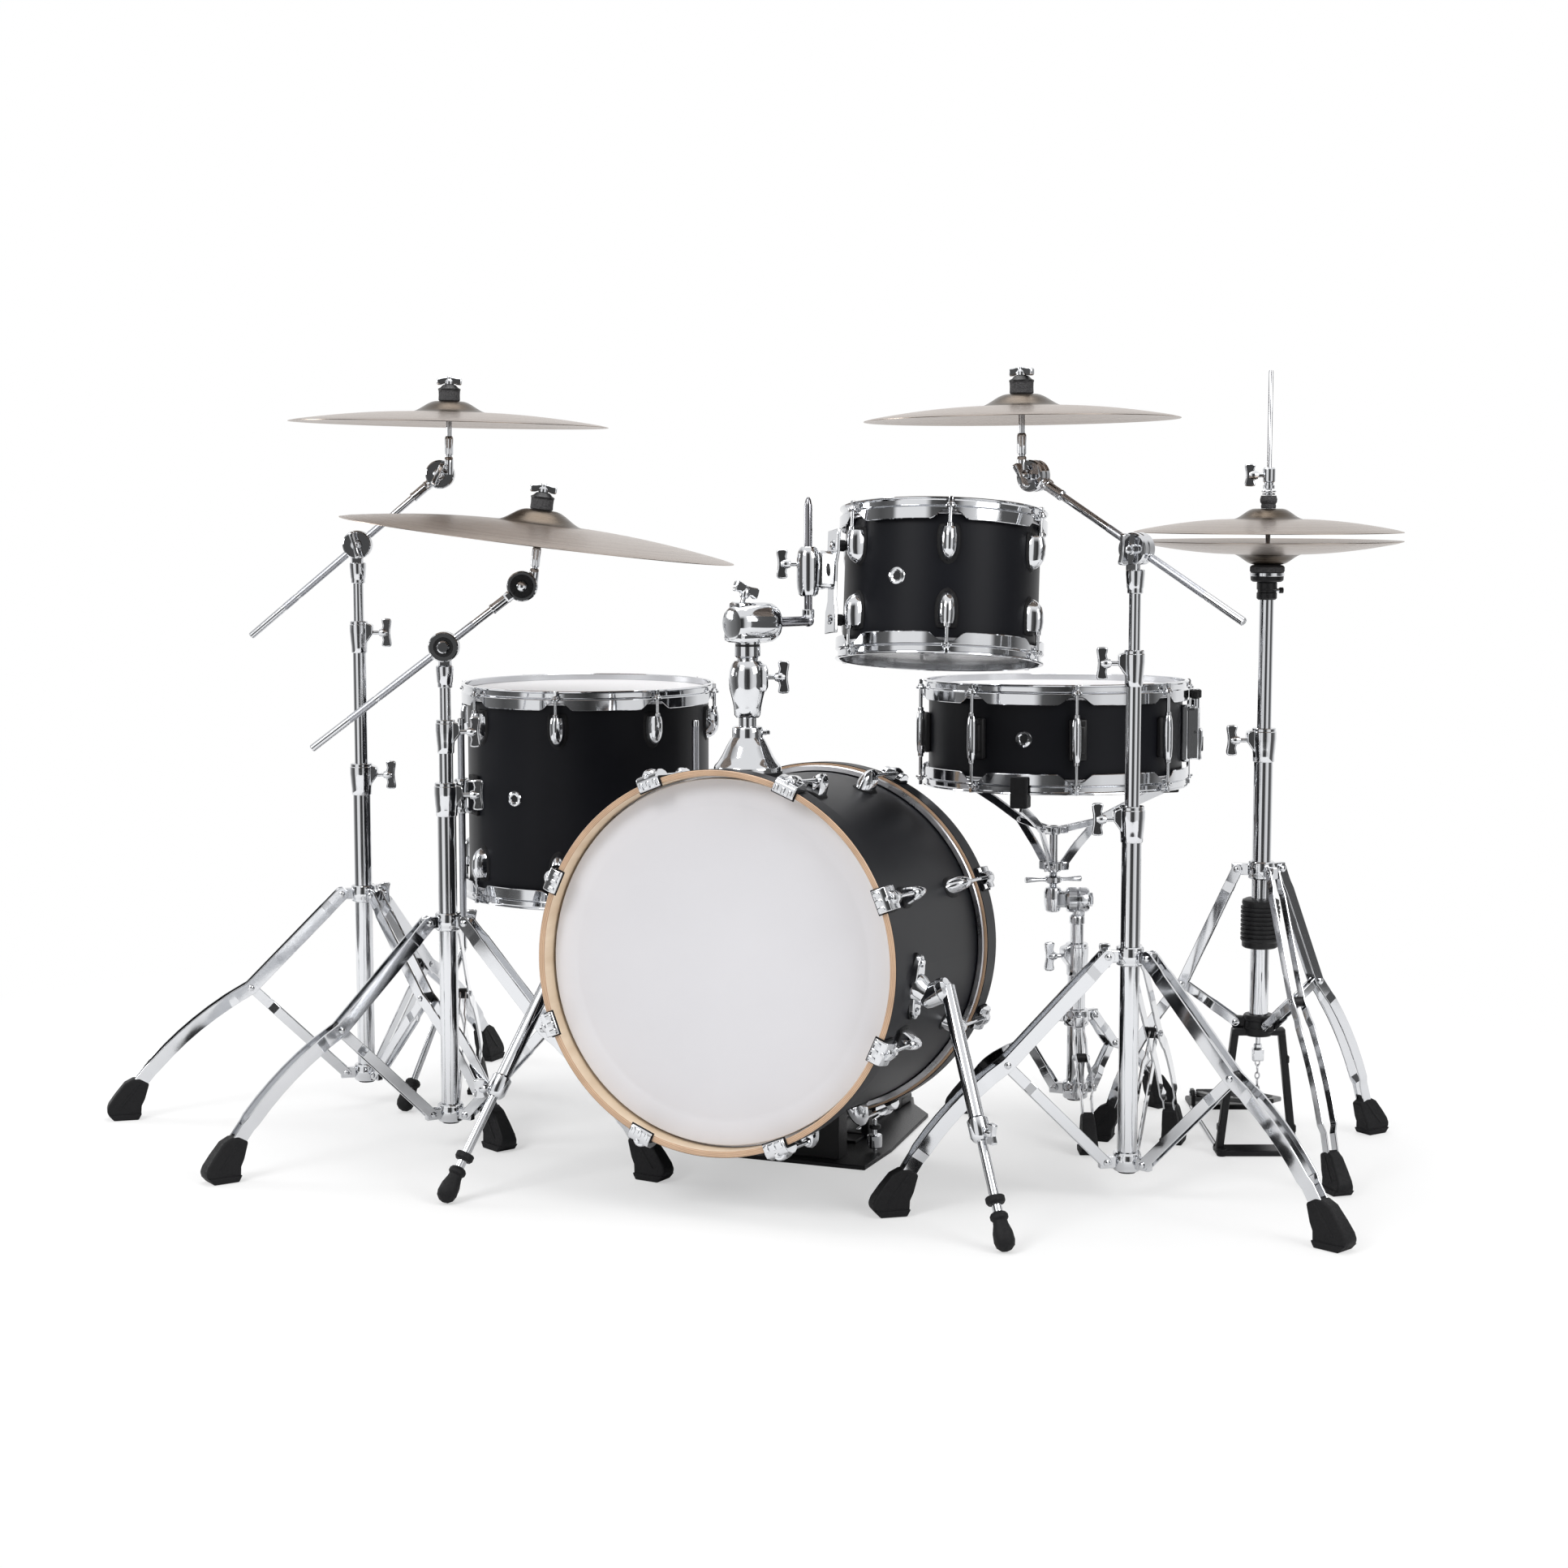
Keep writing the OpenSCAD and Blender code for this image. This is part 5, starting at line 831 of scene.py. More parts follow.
show_drum("rack_tom", "rack_tom", AT_RACK, RACK_D, RACK_DEPTH, RACK_LUGS, clear_bottom=True)
show_drum("floor_tom", "kit_root", AT_FLOOR, FLOOR_D, FLOOR_DEPTH, FLOOR_LUGS)
show_drum("snare", "snare_basket", AT_SNARE, SNARE_D, SNARE_DEPTH, SNARE_LUGS)


def vent(piece, r, degrees, z):
    """Air vent in a shell: a chrome ring round a black disc, painted shade for the dark hole."""
    at = turn(degrees, "Z") @ move(r - 0.6, 0, z) @ turn(90, "Y")
    piece.lathe(chrome, [(5, 0), (11, 0), (11.5, 0.8), (10.6, 2.2), (8, 3.2), (6, 2.6), (5, 1.4)],
                36, at, closed=True)
    # Black disc in the ring: painted shade for the drum's dark inside seen through the hole.
    piece.lathe(nylon, [(0, 0), (5.4, 0), (5.4, 1), (0, 1)], 24, at)


def single_lugs(piece, d, depth, lug_turns):
    """Lugs and tension rods around both ends of a drum."""
    for end in both_ends(depth):
        for degrees in lug_turns:
            at = end @ turn(degrees, "Z")
            bullet_lug(piece, d / 2, LUG_W, LUG_OUT, LUG_INSET, LUG_LEN, BULLET, at)
            piece.lathe(chrome, [(0, 0), (4.2, 0), (4.2, 4), (3.4, 5), (0, 5)], 20,
                        at @ move(d / 2 + ROD_OUT, 0, -LUG_INSET - 1))
            tension_rod(piece, d / 2 + ROD_OUT, -LUG_INSET - 4, LEDGE + 4, at)


def show_rack_lugs():
    lugs = Piece("rack_tom_bullet_lugs", AT_RACK)
    single_lugs(lugs, RACK_D, RACK_DEPTH, RACK_LUGS)
    vent(lugs, RACK_D / 2, -120, -RACK_DEPTH / 2)
    lugs.show("rack_tom", "rack_tom_lugs")


FLOOR_LEG_TURNS, FLOOR_LEG_R, FLOOR_BRACKET_Z = (205, 325, 85), 198, -150


def show_floor_lugs():
    lugs = Piece("floor_tom_bullet_lugs", AT_FLOOR)
    single_lugs(lugs, FLOOR_D, FLOOR_DEPTH, FLOOR_LUGS)
    for degrees in FLOOR_LEG_TURNS:
        at = turn(degrees, "Z") @ move(FLOOR_LEG_R, 0, FLOOR_BRACKET_Z)
        lugs.take(rubber, block((4, 38, 58), (-18.5, 0, 0), 1.5), at)
        lugs.take(chrome, block((20, 30, 50), (-11, 0, 0), 4), at)
        lugs.lathe(chrome, [(5.06, -25), (9.6, -25), (11, -23), (11, -17), (9.8, -13), (9.8, 13),
                            (11, 17), (11, 23), (9.6, 25), (5.06, 25)], 32, at, closed=True)
        lugs.wing_bolt(at @ move(0, 9, 0) @ turn(60, "Z"), 12, 34)
    vent(lugs, FLOOR_D / 2, -122.5, -FLOOR_DEPTH / 2)
    lugs.show("kit_root", "floor_tom_lugs")


show_rack_lugs()
show_floor_lugs()

# ---------- hi-hat ----------

HAT_LEG_TOP, HAT_KNEE_R, HAT_KNEE_Z, HAT_LOW = 392, 105, 230, 182
HAT_CLAMP_TOP, HAT_SEAT, HAT_GAP = 585, 804, 11
HAT_CYMBAL = (356, 96, 14, 16)
HAT_TOP_Z = HAT_SEAT + CYMBAL_T + HAT_GAP + 60
HAT_BOARD = HAT_AT @ turn(90, "Z")
CASTING_LOW, CASTING_TOP = 165, 194
BOARD_LEN, TOE_AHEAD, TOE_Z, HEEL_Z = 262, 24, 78, 24
BOARD_HALF, BOARD_T, BOARD_PIN = 44, 7, 6
UPRIGHT_FOOT, UPRIGHT_HEAD = 51, 31
UPRIGHT_PLANE = turn(90, "Z") @ turn(90, "X")


def show_hihat_base():
    base = Piece("hihat_tripod", HAT_AT)
    tube(base, TUBE_BASE, CASTING_TOP, HAT_CLAMP_TOP - 30)
    tube_clamp(base, HAT_CLAMP_TOP, TUBE_BASE, TUBE_MIDDLE, turn(180, "Z"))
    tripod(base, HAT_LEGS, HAT_REACH, HAT_LEG_TOP, HAT_KNEE_R, HAT_KNEE_Z, HAT_LOW,
           low_collar=False)
    housing = [(12.1, 286), (22, 286), (24.4, 288), (24.4, 294)]
    for i in range(8):
        z = 297 + i * 6
        housing += [(26.4, z), (26.4, z + 3), (24.2, z + 3.6), (24.2, z + 5.4)]
    housing += [(25.2, 347), (24.4, 351), (20, 353), (12.1, 353)]
    base.lathe(nylon, housing, 48, closed=True)
    base.show("kit_root", "hihat_base")


def upright(piece, side):
    """Slanting side bar of the hi-hat's frame, with its two pads."""
    foot, head, low = side * UPRIGHT_FOOT, side * UPRIGHT_HEAD, CASTING_LOW + 9
    outline = [(foot - 5, 0), (foot + 5, 0), (head + 5, low), (head - 5, low)]
    piece.take(black_paint, plate(outline, 13.6, 2, 3), UPRIGHT_PLANE)
    for z in (36, 132):
        share = z / low
        y = foot + (head - foot) * share
        piece.take(black_paint, block((17, 3.4, 10), (0, y + side * 4.6, z), 1.4))


def show_hihat_pedal():
    pedal = Piece("hihat_pedal_base", HAT_BOARD)
    pedal.lathe(black_paint, [(4.2, CASTING_LOW), (18, CASTING_LOW), (20.4, CASTING_LOW + 2.4),
                              (20.4, 176), (19.4, 177), (19.4, 186), (20.6, 187),
                              (20.6, CASTING_TOP - 2), (19, CASTING_TOP), (4.2, CASTING_TOP)], 48,
                closed=True)
    for degrees in HAT_LEGS:
        pedal.take(black_paint, corner_block((10, -EAR_W / 2, HAT_LOW - EAR_H / 2),
                                             (PIVOT_R - 6, EAR_W, EAR_H), 2.5),
                   turn(degrees - 90, "Z"))
    pedal.take(black_paint, corner_block((-9, -UPRIGHT_HEAD - 5, CASTING_LOW),
                                         (18, 2 * UPRIGHT_HEAD + 10, 10), 2.5))
    for side in (-1, 1):
        upright(pedal, side)
        pedal.rod(head_ring, (10, side * UPRIGHT_FOOT, 5),
                  (BOARD_LEN - 10, side * (BOARD_HALF + 6), 5), 5.6)
        ear = [(-12, 0), (12, 0), (12, 18), (7, 30), (-7, 30), (-12, 18)]
        pedal.take(black_paint, plate(ear, 6, 1.4),
                   move(BOARD_LEN, side * (BOARD_HALF + 3.3), 0) @ turn(90, "X"))
        cap_y = side * (BOARD_HALF + 6.3) - (2 if side < 0 else 0)
        pedal.disc(chrome, 9, 0, 2, move(BOARD_LEN, cap_y, HEEL_Z))
        for x in (-14, 14):
            pedal.lathe(rubber, [(0, 0), (6, 0), (7, 1), (7, 8.6), (6, 9.6), (0, 9.6)], 20,
                        move(x, side * (UPRIGHT_FOOT - 2), 0))
    pedal.take(black_paint, corner_block((-20, -UPRIGHT_FOOT - 5, 0),
                                         (40, 2 * UPRIGHT_FOOT + 10, 8), 2.5))
    pedal.take(black_paint, corner_block((BOARD_LEN - 6, -BOARD_HALF - 6, 0),
                                         (62, 2 * BOARD_HALF + 12, 8), 2.5))
    for i in range(5):
        pedal.take(rubber, corner_block((BOARD_LEN + 18 + i * 7, -BOARD_HALF + 4, 7),
                                        (3.6, 2 * BOARD_HALF - 8, 2), 0.8))
    pedal.show("kit_root", "hihat_pedal_frame", slot="metal_black")


def footboard(name, at, heel, toe, outline, half_barrel, tread):
    """Pedal board on its heel hinge, with raised treads; outline and treads run from the heel."""
    board = Piece(name, at)
    lie = aim(heel, toe) @ turn(-90, "Y")
    board.take(black_paint, plate(outline, BOARD_T - 0.6, 1.6, 3), lie)
    for x, half in tread:
        board.take(rubber, block((4.4, 2 * half, 2.4), (x, 0, BOARD_T / 2 - 0.6), 0.9), lie)
    hinge = Matrix.Translation(heel)
    board.disc(black_paint, 2 * BOARD_PIN, -half_barrel, half_barrel, hinge)
    board.disc(chrome, BOARD_PIN, -half_barrel - 6, half_barrel + 6, hinge)
    return board, lie


def show_hihat_board():
    heel, toe = (BOARD_LEN, 0, HEEL_Z), (-TOE_AHEAD, 0, TOE_Z)
    length = (Vector(toe) - Vector(heel)).length
    half = BOARD_HALF
    outline = [(0, -half + 2), (length * 0.72, -half), (length - 34, -half * 0.62),
               (length - 6, -half * 0.45), (length, -9), (length, 9), (length - 6, half * 0.45),
               (length - 34, half * 0.62), (length * 0.72, half), (0, half - 2)]
    tread = [(22 + i * 17, half - 9) for i in range(11)]
    tread += [(length * 0.80, 27), (length * 0.87, 20)]
    board, lie = footboard("hihat_board", HAT_BOARD, heel, toe, outline, half - 2, tread)
    board.take(chrome, block((12, 14, 5), (BOARD_LEN + 2, 0, BOARD_T / 2 + 2), 1.4), lie)
    board.show("hihat_board", "hihat_footboard", slot="metal_black")


def show_hihat_upper():
    upper = Piece("hihat_upper_section", HAT_AT)
    tube(upper, TUBE_MIDDLE, HAT_CLAMP_TOP - INSERT, 758)
    upper.lathe(nylon, [(3.6, 757), (11.5, 757), (13.5, 759), (13.5, 766), (12.4, 767),
                        (12.4, 770), (13.5, 771), (13.5, 779.5), (12.5, 781), (3.6, 781)], 40,
                closed=True)
    upper.lathe(nylon, [(3.6, 781), (19, 781), (21.6, 783), (22, 786), (22, 794), (3.6, 794)], 48,
                closed=True)
    upper.ring(chrome, 22.9, 21.5, 788.6, 793.2, 0.4, 48)
    upper.lathe(felt, [(3.6, 794), (22, 794), (23, 795), (23, 800.6), (21, 802.6), (17, 804),
                       (3.6, 804)], 48, closed=True)
    upper.rod(chrome, (12, 0, 769.5), (17, 0, 769.5), 5)
    upper.rod(nylon, (16.4, 0, 769.5), (22, 0, 769.5), 8, 0.6, 16)
    upper.show("hihat_upper", "hihat_upper_tube")

    bronze = lathed_bronze("hihat bronze", KIT @ HAT_AT, HAT_CYMBAL[1] / 2)
    low = Piece("hihat_bottom_cymbal_lathed",
                HAT_AT @ move(0, 0, HAT_SEAT + CYMBAL_T) @ UPSIDE_DOWN)
    cymbal(low, bronze, *HAT_CYMBAL)
    low.show("hihat_upper", "hihat_bottom_cymbal", slot="cymbal_bronze")
    high = Piece("hihat_top_cymbal_lathed", HAT_AT @ move(0, 0, HAT_TOP_Z))
    cymbal(high, bronze, *HAT_CYMBAL)
    high.show("hihat_top", "hihat_top_cymbal", slot="cymbal_bronze")


def show_hihat_rod():
    pull = Piece("hihat_pull_rod_and_chain", HAT_AT)
    pull.lathe(chrome, [(0, 0), (3.25, 0), (3.25, 928), (2.6, 929.6), (0, 930)], 24,
               move(0, 0, 131))
    pull.take(chrome, corner_block((-8, -7, 129), (16, 14, 18), 2.4))
    pull.lathe(chrome, [(0, 0), (4.6, 0), (5.6, 1), (5.6, 5), (4.6, 6), (0, 6)], 6,
               move(0, 0, 147))
    for i in range(5):
        link = turned([(2.9 + 1.05 * c, 1.05 * s) for c, s in map(across, range(0, 360, 45))], 20,
                      closed=True)
        pull.take(head_ring, link, move(0, 0, 126.5 - 9 * i) @ turn(90 * (i % 2), "Z")
                  @ Matrix.Diagonal((1, 1, 1.38, 1)) @ turn(90, "X"))
    pull.show("hihat_rod", "hihat_pull_rod")


def show_clutch():
    clutch = Piece("hihat_clutch_assembly", HAT_AT)
    low, felt_top = HAT_TOP_Z - 20, HAT_TOP_Z + CYMBAL_T + GAP
    bore = 3.31
    clutch.lathe(chrome, [(bore, low), (8, low), (9, low + 1), (9, low + 6), (8, low + 7),
                          (4.2, low + 7), (4.2, felt_top + 26), (bore, felt_top + 26)], 32,
                 closed=True)
    clutch.lathe(felt, [(4.2, low + 7), (13.5, low + 7), (15.5, low + 9), (15.5, low + 17.4),
                        (14, low + 19.6), (4.2, low + 19.6)], 40, closed=True)
    clutch.lathe(felt, [(4.2, felt_top), (9.6, felt_top), (10, felt_top + 3), (9.4, felt_top + 6),
                        (11, felt_top + 8), (11.4, felt_top + 12), (10, felt_top + 17),
                        (4.2, felt_top + 17)], 36, closed=True)
    for z, r, h in ((18, 9, 2.4), (21.6, 10, 2.2), (26, 8, 5)):
        clutch.ring(chrome, r, 4.0, felt_top + z, felt_top + z + h, 0.6, 32)
    clutch.lathe(chrome, [(bore, felt_top + 30), (6.4, felt_top + 30), (6.4, felt_top + 34),
                          (8.5, felt_top + 36), (8.5, felt_top + 52), (7, felt_top + 54),
                          (bore, felt_top + 54)], 32, closed=True)
    clutch.wing_bolt(turn(180, "Z") @ move(7, 0, felt_top + 44), 9, 30)
    clutch.show("hihat_top", "hihat_clutch")


show_hihat_base()
show_hihat_pedal()
show_hihat_board()
show_hihat_upper()
show_hihat_rod()
show_clutch()

# ---------- snare drum and its stand ----------

SNARE_R, SNARE_LUG_LEN = SNARE_D / 2, 56
LEVER_TURN, LEVER_Z, LEVER_OUT = -12, -62, 19
SNARE_CLAMP_TOP, SNARE_LEG_TOP, SNARE_KNEE_R, SNARE_KNEE_Z = 262, 155, 70, 110
TILTER_Z, TILTER_HALF = 324, 16
HUB = (-34, 8)  # middle of the basket, from the stand
HUB_LOW, HUB_TOP = 371, 423
GRIP_TURNS = (250, 23, 128)


def snare_lug(piece, at):
    """Two-ended lug on black bases, with a tension rod up and one down."""
    mid = -SNARE_DEPTH / 2
    r, half = SNARE_R, SNARE_LUG_LEN / 2
    piece.take(nylon, block((9, 24, SNARE_LUG_LEN), (r + 4, 3, mid), 2.6), at)
    piece.take(nylon, block((8, 15, SNARE_LUG_LEN - 18), (r + 9, 4.5, mid), 2.2), at)
    bar = [(0, -half - 2), (4.6, -half - 2), (6, -half + 2), (6.9, -half + 14), (6.9, half - 14),
           (6, half - 2), (4.6, half + 2), (0, half + 2)]
    piece.lathe(chrome, bar, 32, at @ move(r + ROD_OUT - 0.6, 0, mid))
    for end in both_ends(SNARE_DEPTH):
        tension_rod(piece, r + ROD_OUT, mid + half - 2, LEDGE + 4, at @ end)
        piece.lathe(chrome, [(0, 0), (4, 0), (4, 5), (3, 6), (0, 6)], 20,
                    at @ end @ move(r + ROD_OUT, 0, mid + half + 1))


def show_snare_lugs():
    lugs = Piece("snare_bridge_lugs", AT_SNARE)
    for degrees in SNARE_LUGS:
        snare_lug(lugs, turn(degrees, "Z"))
    vent(lugs, SNARE_R, -109.5, -SNARE_DEPTH / 2)
    r = SNARE_R
    at = turn(LEVER_TURN, "Z")
    lugs.take(chrome, block((11, 30, 80), (r + 4.8, 0, -64), 3), at)
    for y in (-12.5, 12.5):
        lugs.take(chrome, block((16, 5, 72), (r + 16, y, -64), 1.8), at)
    lugs.take(chrome, block((14, 30, 8), (r + 13, 0, -30), 2.4), at)
    lugs.lathe(chrome, [(0, -36), (6, -36), (6, -16), (4, -14), (0, -14)], 28,
               at @ move(r + 18, 0, 0))
    lugs.lathe(nylon, [(0, -15), (7, -15), (8.5, -13.6), (8.5, -4.6), (7.4, -3.4), (0, -3.4)], 24,
               at @ move(r + 18, 0, 0))
    lugs.lathe(head_ring, [(0, -3.6), (6.4, -3.6), (6.4, -2.6), (5.4, -2), (0, -2)], 24,
               at @ move(r + 18, 0, 0))
    at = turn(LEVER_TURN + 180, "Z")
    lugs.take(chrome, block((13, 32, 34), (r + 5.5, 0, -79), 3), at)
    for y in (-9, 9):
        lugs.lathe(chrome, [(0, 0), (3.4, 0), (3.4, 2), (2.4, 3), (0, 3)], 16,
                   at @ move(r + 9.6, y, -79) @ turn(90, "Y"))
    lugs.show("snare_basket", "snare_lugs")


def show_lever():
    lever = Piece("snare_throw_off_lever",
                  AT_SNARE @ turn(LEVER_TURN, "Z") @ move(SNARE_R + LEVER_OUT, 0, LEVER_Z))
    lever.disc(chrome, 6, -15, 15)
    lever.disc(chrome, 11, -9.4, 9.4)
    outline = [(2, 6), (2, -30), (3, -38), (6, -40), (9, -38), (8, -30), (10, -12), (10, 2),
               (7, 6)]
    lever.take(chrome, plate(outline, 19, 1.6, 3), turn(90, "X"))
    lever.take(nylon, block((2, 13, 20), (9.4, 0, -17), 0.8))
    lever.show("snare_lever", "snare_throw_lever")


def show_wires():
    wires = Piece("snare_wire_strands", AT_SNARE @ turn(LEVER_TURN, "Z"))
    z = -SNARE_DEPTH - 1.1
    for i in range(9):
        y = (i - 4) * 4
        wires.rod(worked_steel, (-134, y, z - 2), (134, y, z - 2), 1.9, 0.3, 10)
    for side in (-1, 1):
        wires.take(chrome, block((16, 40, 3.6), (side * 140, 0, z - 2), 1.2))
    wires.show("snare_basket", "snare_wires")


def show_snare_stand():
    base = Piece("snare_stand_tripod", SNARE_STAND_AT)
    tube(base, TUBE_BASE, LOW_Z - COLLAR_H / 2, SNARE_CLAMP_TOP - 30)
    tube_clamp(base, SNARE_CLAMP_TOP, TUBE_BASE, TUBE_MIDDLE, turn(200, "Z"))
    tripod(base, SNARE_LEGS, SNARE_REACH, SNARE_LEG_TOP, SNARE_KNEE_R, SNARE_KNEE_Z, LOW_Z)
    tube_plug(base)
    base.show("kit_root", "snare_stand_base")

    upper = Piece("snare_stand_upper_section", SNARE_STAND_AT)
    solid_tube(upper, TUBE_MIDDLE, 74, 290)
    upper.lathe(chrome, [(0, 289.4), (10, 289.4), (11, 290.4), (11, 299), (9.4, 302), (7.4, 303.5),
                         (7.4, 310), (0, 310)], 36)
    upper.take(chrome, block((10, 15, 14), (5.4, 0, TILTER_Z - 17), 3))
    upper.lathe(chrome, [(5.1, 0), (16, 0), (18, 2), (18, 12), (15.6, TILTER_HALF),
                         (5.1, TILTER_HALF)], 48, move(GAP / 2, 0, TILTER_Z) @ turn(90, "Y"),
                closed=True)
    upper.show("snare_tube", "snare_stand_upper_tube")


def basket_arm(piece, at):
    """Bent arm of the basket, with the two straps that carry it."""
    strap(piece, [(14, HUB_LOW), (38, HUB_LOW + 28), (72, HUB_TOP + 10), (120, HUB_TOP + 30),
                  (182, HUB_TOP + 52)], 13, 4, 0, at)
    for offset in (-3.4, 3.4):
        strap(piece, [(11, HUB_TOP), (70, HUB_TOP + 9)], 9, 2, offset, at)
    for r, z, length in ((16, HUB_LOW, 11), (14, HUB_TOP, 11), (68, HUB_TOP + 8.5, 11)):
        piece.pin(chrome, r, z, length, 6, at)


def show_basket():
    basket = Piece("snare_basket_frame", SNARE_STAND_AT)
    basket.lathe(chrome, [(0, 0), (15.6, 0), (18, 3), (18, 14), (16, TILTER_HALF),
                          (0, TILTER_HALF)], 48, move(-TILTER_HALF - GAP / 2, 0, TILTER_Z)
                 @ turn(90, "Y"))
    basket.rod(chrome, (-2, 0, TILTER_Z), (18, 0, TILTER_Z), 10)
    basket.lathe(chrome, [(0, 0), (9, 0), (10, 1), (10, 4), (8.6, 5), (0, 5)], 6,
                 move(17, 0, TILTER_Z) @ turn(90, "Y"))
    basket.take(chrome, block((24, 18, 24), (HUB[0] + 12, HUB[1] - 2, TILTER_Z), 4))
    hub = move(*HUB, 0)
    basket.lathe(chrome, [(0, 306), (9, 306), (11, 308), (13, 320), (13, 334), (11, 340), (6, 342),
                          (0, 342)], 40, hub)
    thread = [(0, 340)]
    for i in range(11):
        thread += [(5.2, 341 + i * 2), (6, 342 + i * 2)]
    thread += [(5.2, 363), (6, 364), (6, HUB_TOP), (0, HUB_TOP)]
    basket.lathe(chrome, thread, 32, hub)
    basket.lathe(chrome, [(5.6, 347), (10, 347), (12, 348.4), (12, 355.6), (10, 357), (5.6, 357)],
                 36, hub, closed=True)
    for side in (-1, 1):
        basket.lathe(chrome, [(0, 0), (2.6, 0), (2.6, 22), (3.2, 26), (4.4, 40), (3.8, 41.4),
                              (0, 41.4)], 20, hub @ move(0, 0, 352) @ turn(12, "Z")
                     @ turn(90 * side, "Y"))
    for z, r, h in ((HUB_LOW, 13, 14), (HUB_TOP, 11.5, 12)):
        basket.lathe(chrome, [(5.6, z - h / 2), (r - 2, z - h / 2), (r, z - h / 2 + 2),
                              (r, z + h / 2 - 2), (r - 2, z + h / 2), (5.6, z + h / 2)], 36, hub,
                     closed=True)
        for degrees in GRIP_TURNS:
            for y in (-6.4, 6.4):
                basket.take(chrome, block((11, 3.6, h - 2), (r + 3, y, z), 1.4),
                            hub @ turn(degrees, "Z"))
    for degrees in GRIP_TURNS:
        basket_arm(basket, hub @ turn(degrees, "Z"))
    basket.at = AT_SNARE
    grip = [(174, -157), (198, -157), (198, -115), (188, -115), (188, -139.8), (174, -139.8)]
    for degrees in GRIP_TURNS:
        basket.take(rubber, plate(grip, 23.6, 2.2, 3), turn(degrees, "Z") @ turn(90, "X"))
    basket.show("snare_basket", "snare_stand_basket")


show_snare_lugs()
show_lever()
show_wires()
show_snare_stand()
show_basket()

# ---------- bass drum ----------

BASS_D, BASS_DEPTH = 457, 352
HOOP_H, HOOP_FRONT, WOOD_T = 38, 26, 8
HOOP_BACK = HOOP_H - HOOP_FRONT
WOOD_OUT = BASS_D / 2 + 13
BASS_TURN, BASS_TILT = 22, 4
BASS_ORIGIN = Vector((-32, -355, 319))
BASS_ROD = BASS_D / 2 + 19.5
BASS_LUG_INSET, BASS_LUG_LEN = 72, 38
c_turn, s_turn = across(BASS_TURN)
c_tilt, s_tilt = across(BASS_TILT)
BASS_AXIS = Vector((s_turn * c_tilt, c_turn * c_tilt, -s_tilt))
BASS_SIDE = Vector((c_turn, -s_turn, 0))
BASS_UP = Vector((s_turn * s_tilt, c_turn * s_tilt, c_tilt))


def on_bass(along, side, up):
    """Place in the bass drum's own directions; along runs back from its front hoop's edge."""
    return BASS_ORIGIN + along * BASS_AXIS + side * BASS_SIDE + up * BASS_UP


AT_BASS = (Matrix.Translation(on_bass(HOOP_FRONT, 0, 0))
           @ turn(-BASS_TURN, "Z") @ turn(90 - BASS_TILT, "X"))
PLY_T = 1.9  # one layer of the hoops' wood


def maple_plies():
    """Edge of the wooden hoops, with its layers around the drum's axis."""
    made = finish("maple plies", (0.55, 0.38, 0.22), 0.42, coat=0.2, coat_roughness=0.25)
    place = KIT @ AT_BASS
    seen = spot(made, place.translation, place.to_euler())
    radius = around_axis(made, seen)
    plies = add(made, "ShaderNodeMath", {0: radius, 1: 1000 / PLY_T}, operation="MULTIPLY")
    saw = add(made, "ShaderNodeMath", {0: plies.outputs[0]}, operation="FRACT")
    stripe = ramp(made, saw.outputs[0], ((0.0, (0.30, 0.16, 0.09)), (0.16, (0.52, 0.34, 0.22)),
                                         (0.5, (0.64, 0.45, 0.30)), (0.9, (0.46, 0.29, 0.18))))
    noise = add(made, "ShaderNodeTexNoise", {"Vector": spot(made), "Scale": 26.0, "Detail": 5})
    tone = ramp(made, noise.outputs["Fac"], ((0.3, (0.82, 0.80, 0.78)), (0.7, (1, 1, 1))))
    mixed = add(made, "ShaderNodeMix", {"Factor": 1.0, "A": stripe, "B": tone}, data_type="RGBA",
                blend_type="MULTIPLY")
    wire(made, mixed.outputs[2], "Base Color")
    wire(made, ramp(made, noise.outputs["Fac"], ((0.3, 0.36), (0.7, 0.5))), "Roughness")
    return made


maple = maple_plies()
pale_maple = finish("pale maple veneer", (0.74, 0.60, 0.43), 0.4, coat=0.2, coat_roughness=0.25)
grain(pale_maple, 9, ((0.3, (0.68, 0.52, 0.36)), (0.7, (0.80, 0.65, 0.48))), "Base Color",
      place=spot(pale_maple, scale=(1, 1, 0.2)))


def show_bass_hoops():
    hoops = Piece("bass_drum_maple_hoops", AT_BASS)
    inner = WOOD_OUT - WOOD_T
    for end in both_ends(BASS_DEPTH):
        hoops.ring(maple, WOOD_OUT - 0.5, inner, -HOOP_BACK, HOOP_FRONT, 1.2, 160, end)
        hoops.ring(pale_maple, inner + 0.6, inner - 0.2, -HOOP_BACK + 1, HOOP_FRONT - 1.6, 0.3,
                   160, end)
        hoops.ring(satin_black, WOOD_OUT, WOOD_OUT - 1.2, -HOOP_BACK + 0.3, HOOP_FRONT - 1.6, 0.4,
                   160, end)
    hoops.show("kit_root", "bass_drum_hoops", slot="hoop_wood")


def show_bass_heads():
    heads = Piece("bass_drum_head_films", AT_BASS)
    sleeve = BASS_D / 2 + 0.5
    low = -HOOP_BACK - FLESH_H
    for end in both_ends(BASS_DEPTH):
        heads.lathe(head_film, [(0, HEAD_T), (sleeve - 34, HEAD_T), (sleeve - 31, HEAD_T - 0.5),
                                (sleeve - 28, HEAD_T), (sleeve, HEAD_T), (sleeve + HEAD_T, 0),
                                (sleeve + HEAD_T, -HOOP_BACK), (sleeve, -HOOP_BACK), (sleeve, 0),
                                (0, 0)], 128, end)
        heads.ring(head_ring, BASS_D / 2 + 9, sleeve, low, -HOOP_BACK, 1.5, 128, end)
    heads.show("kit_root", "bass_drum_heads", slot="drum_head")


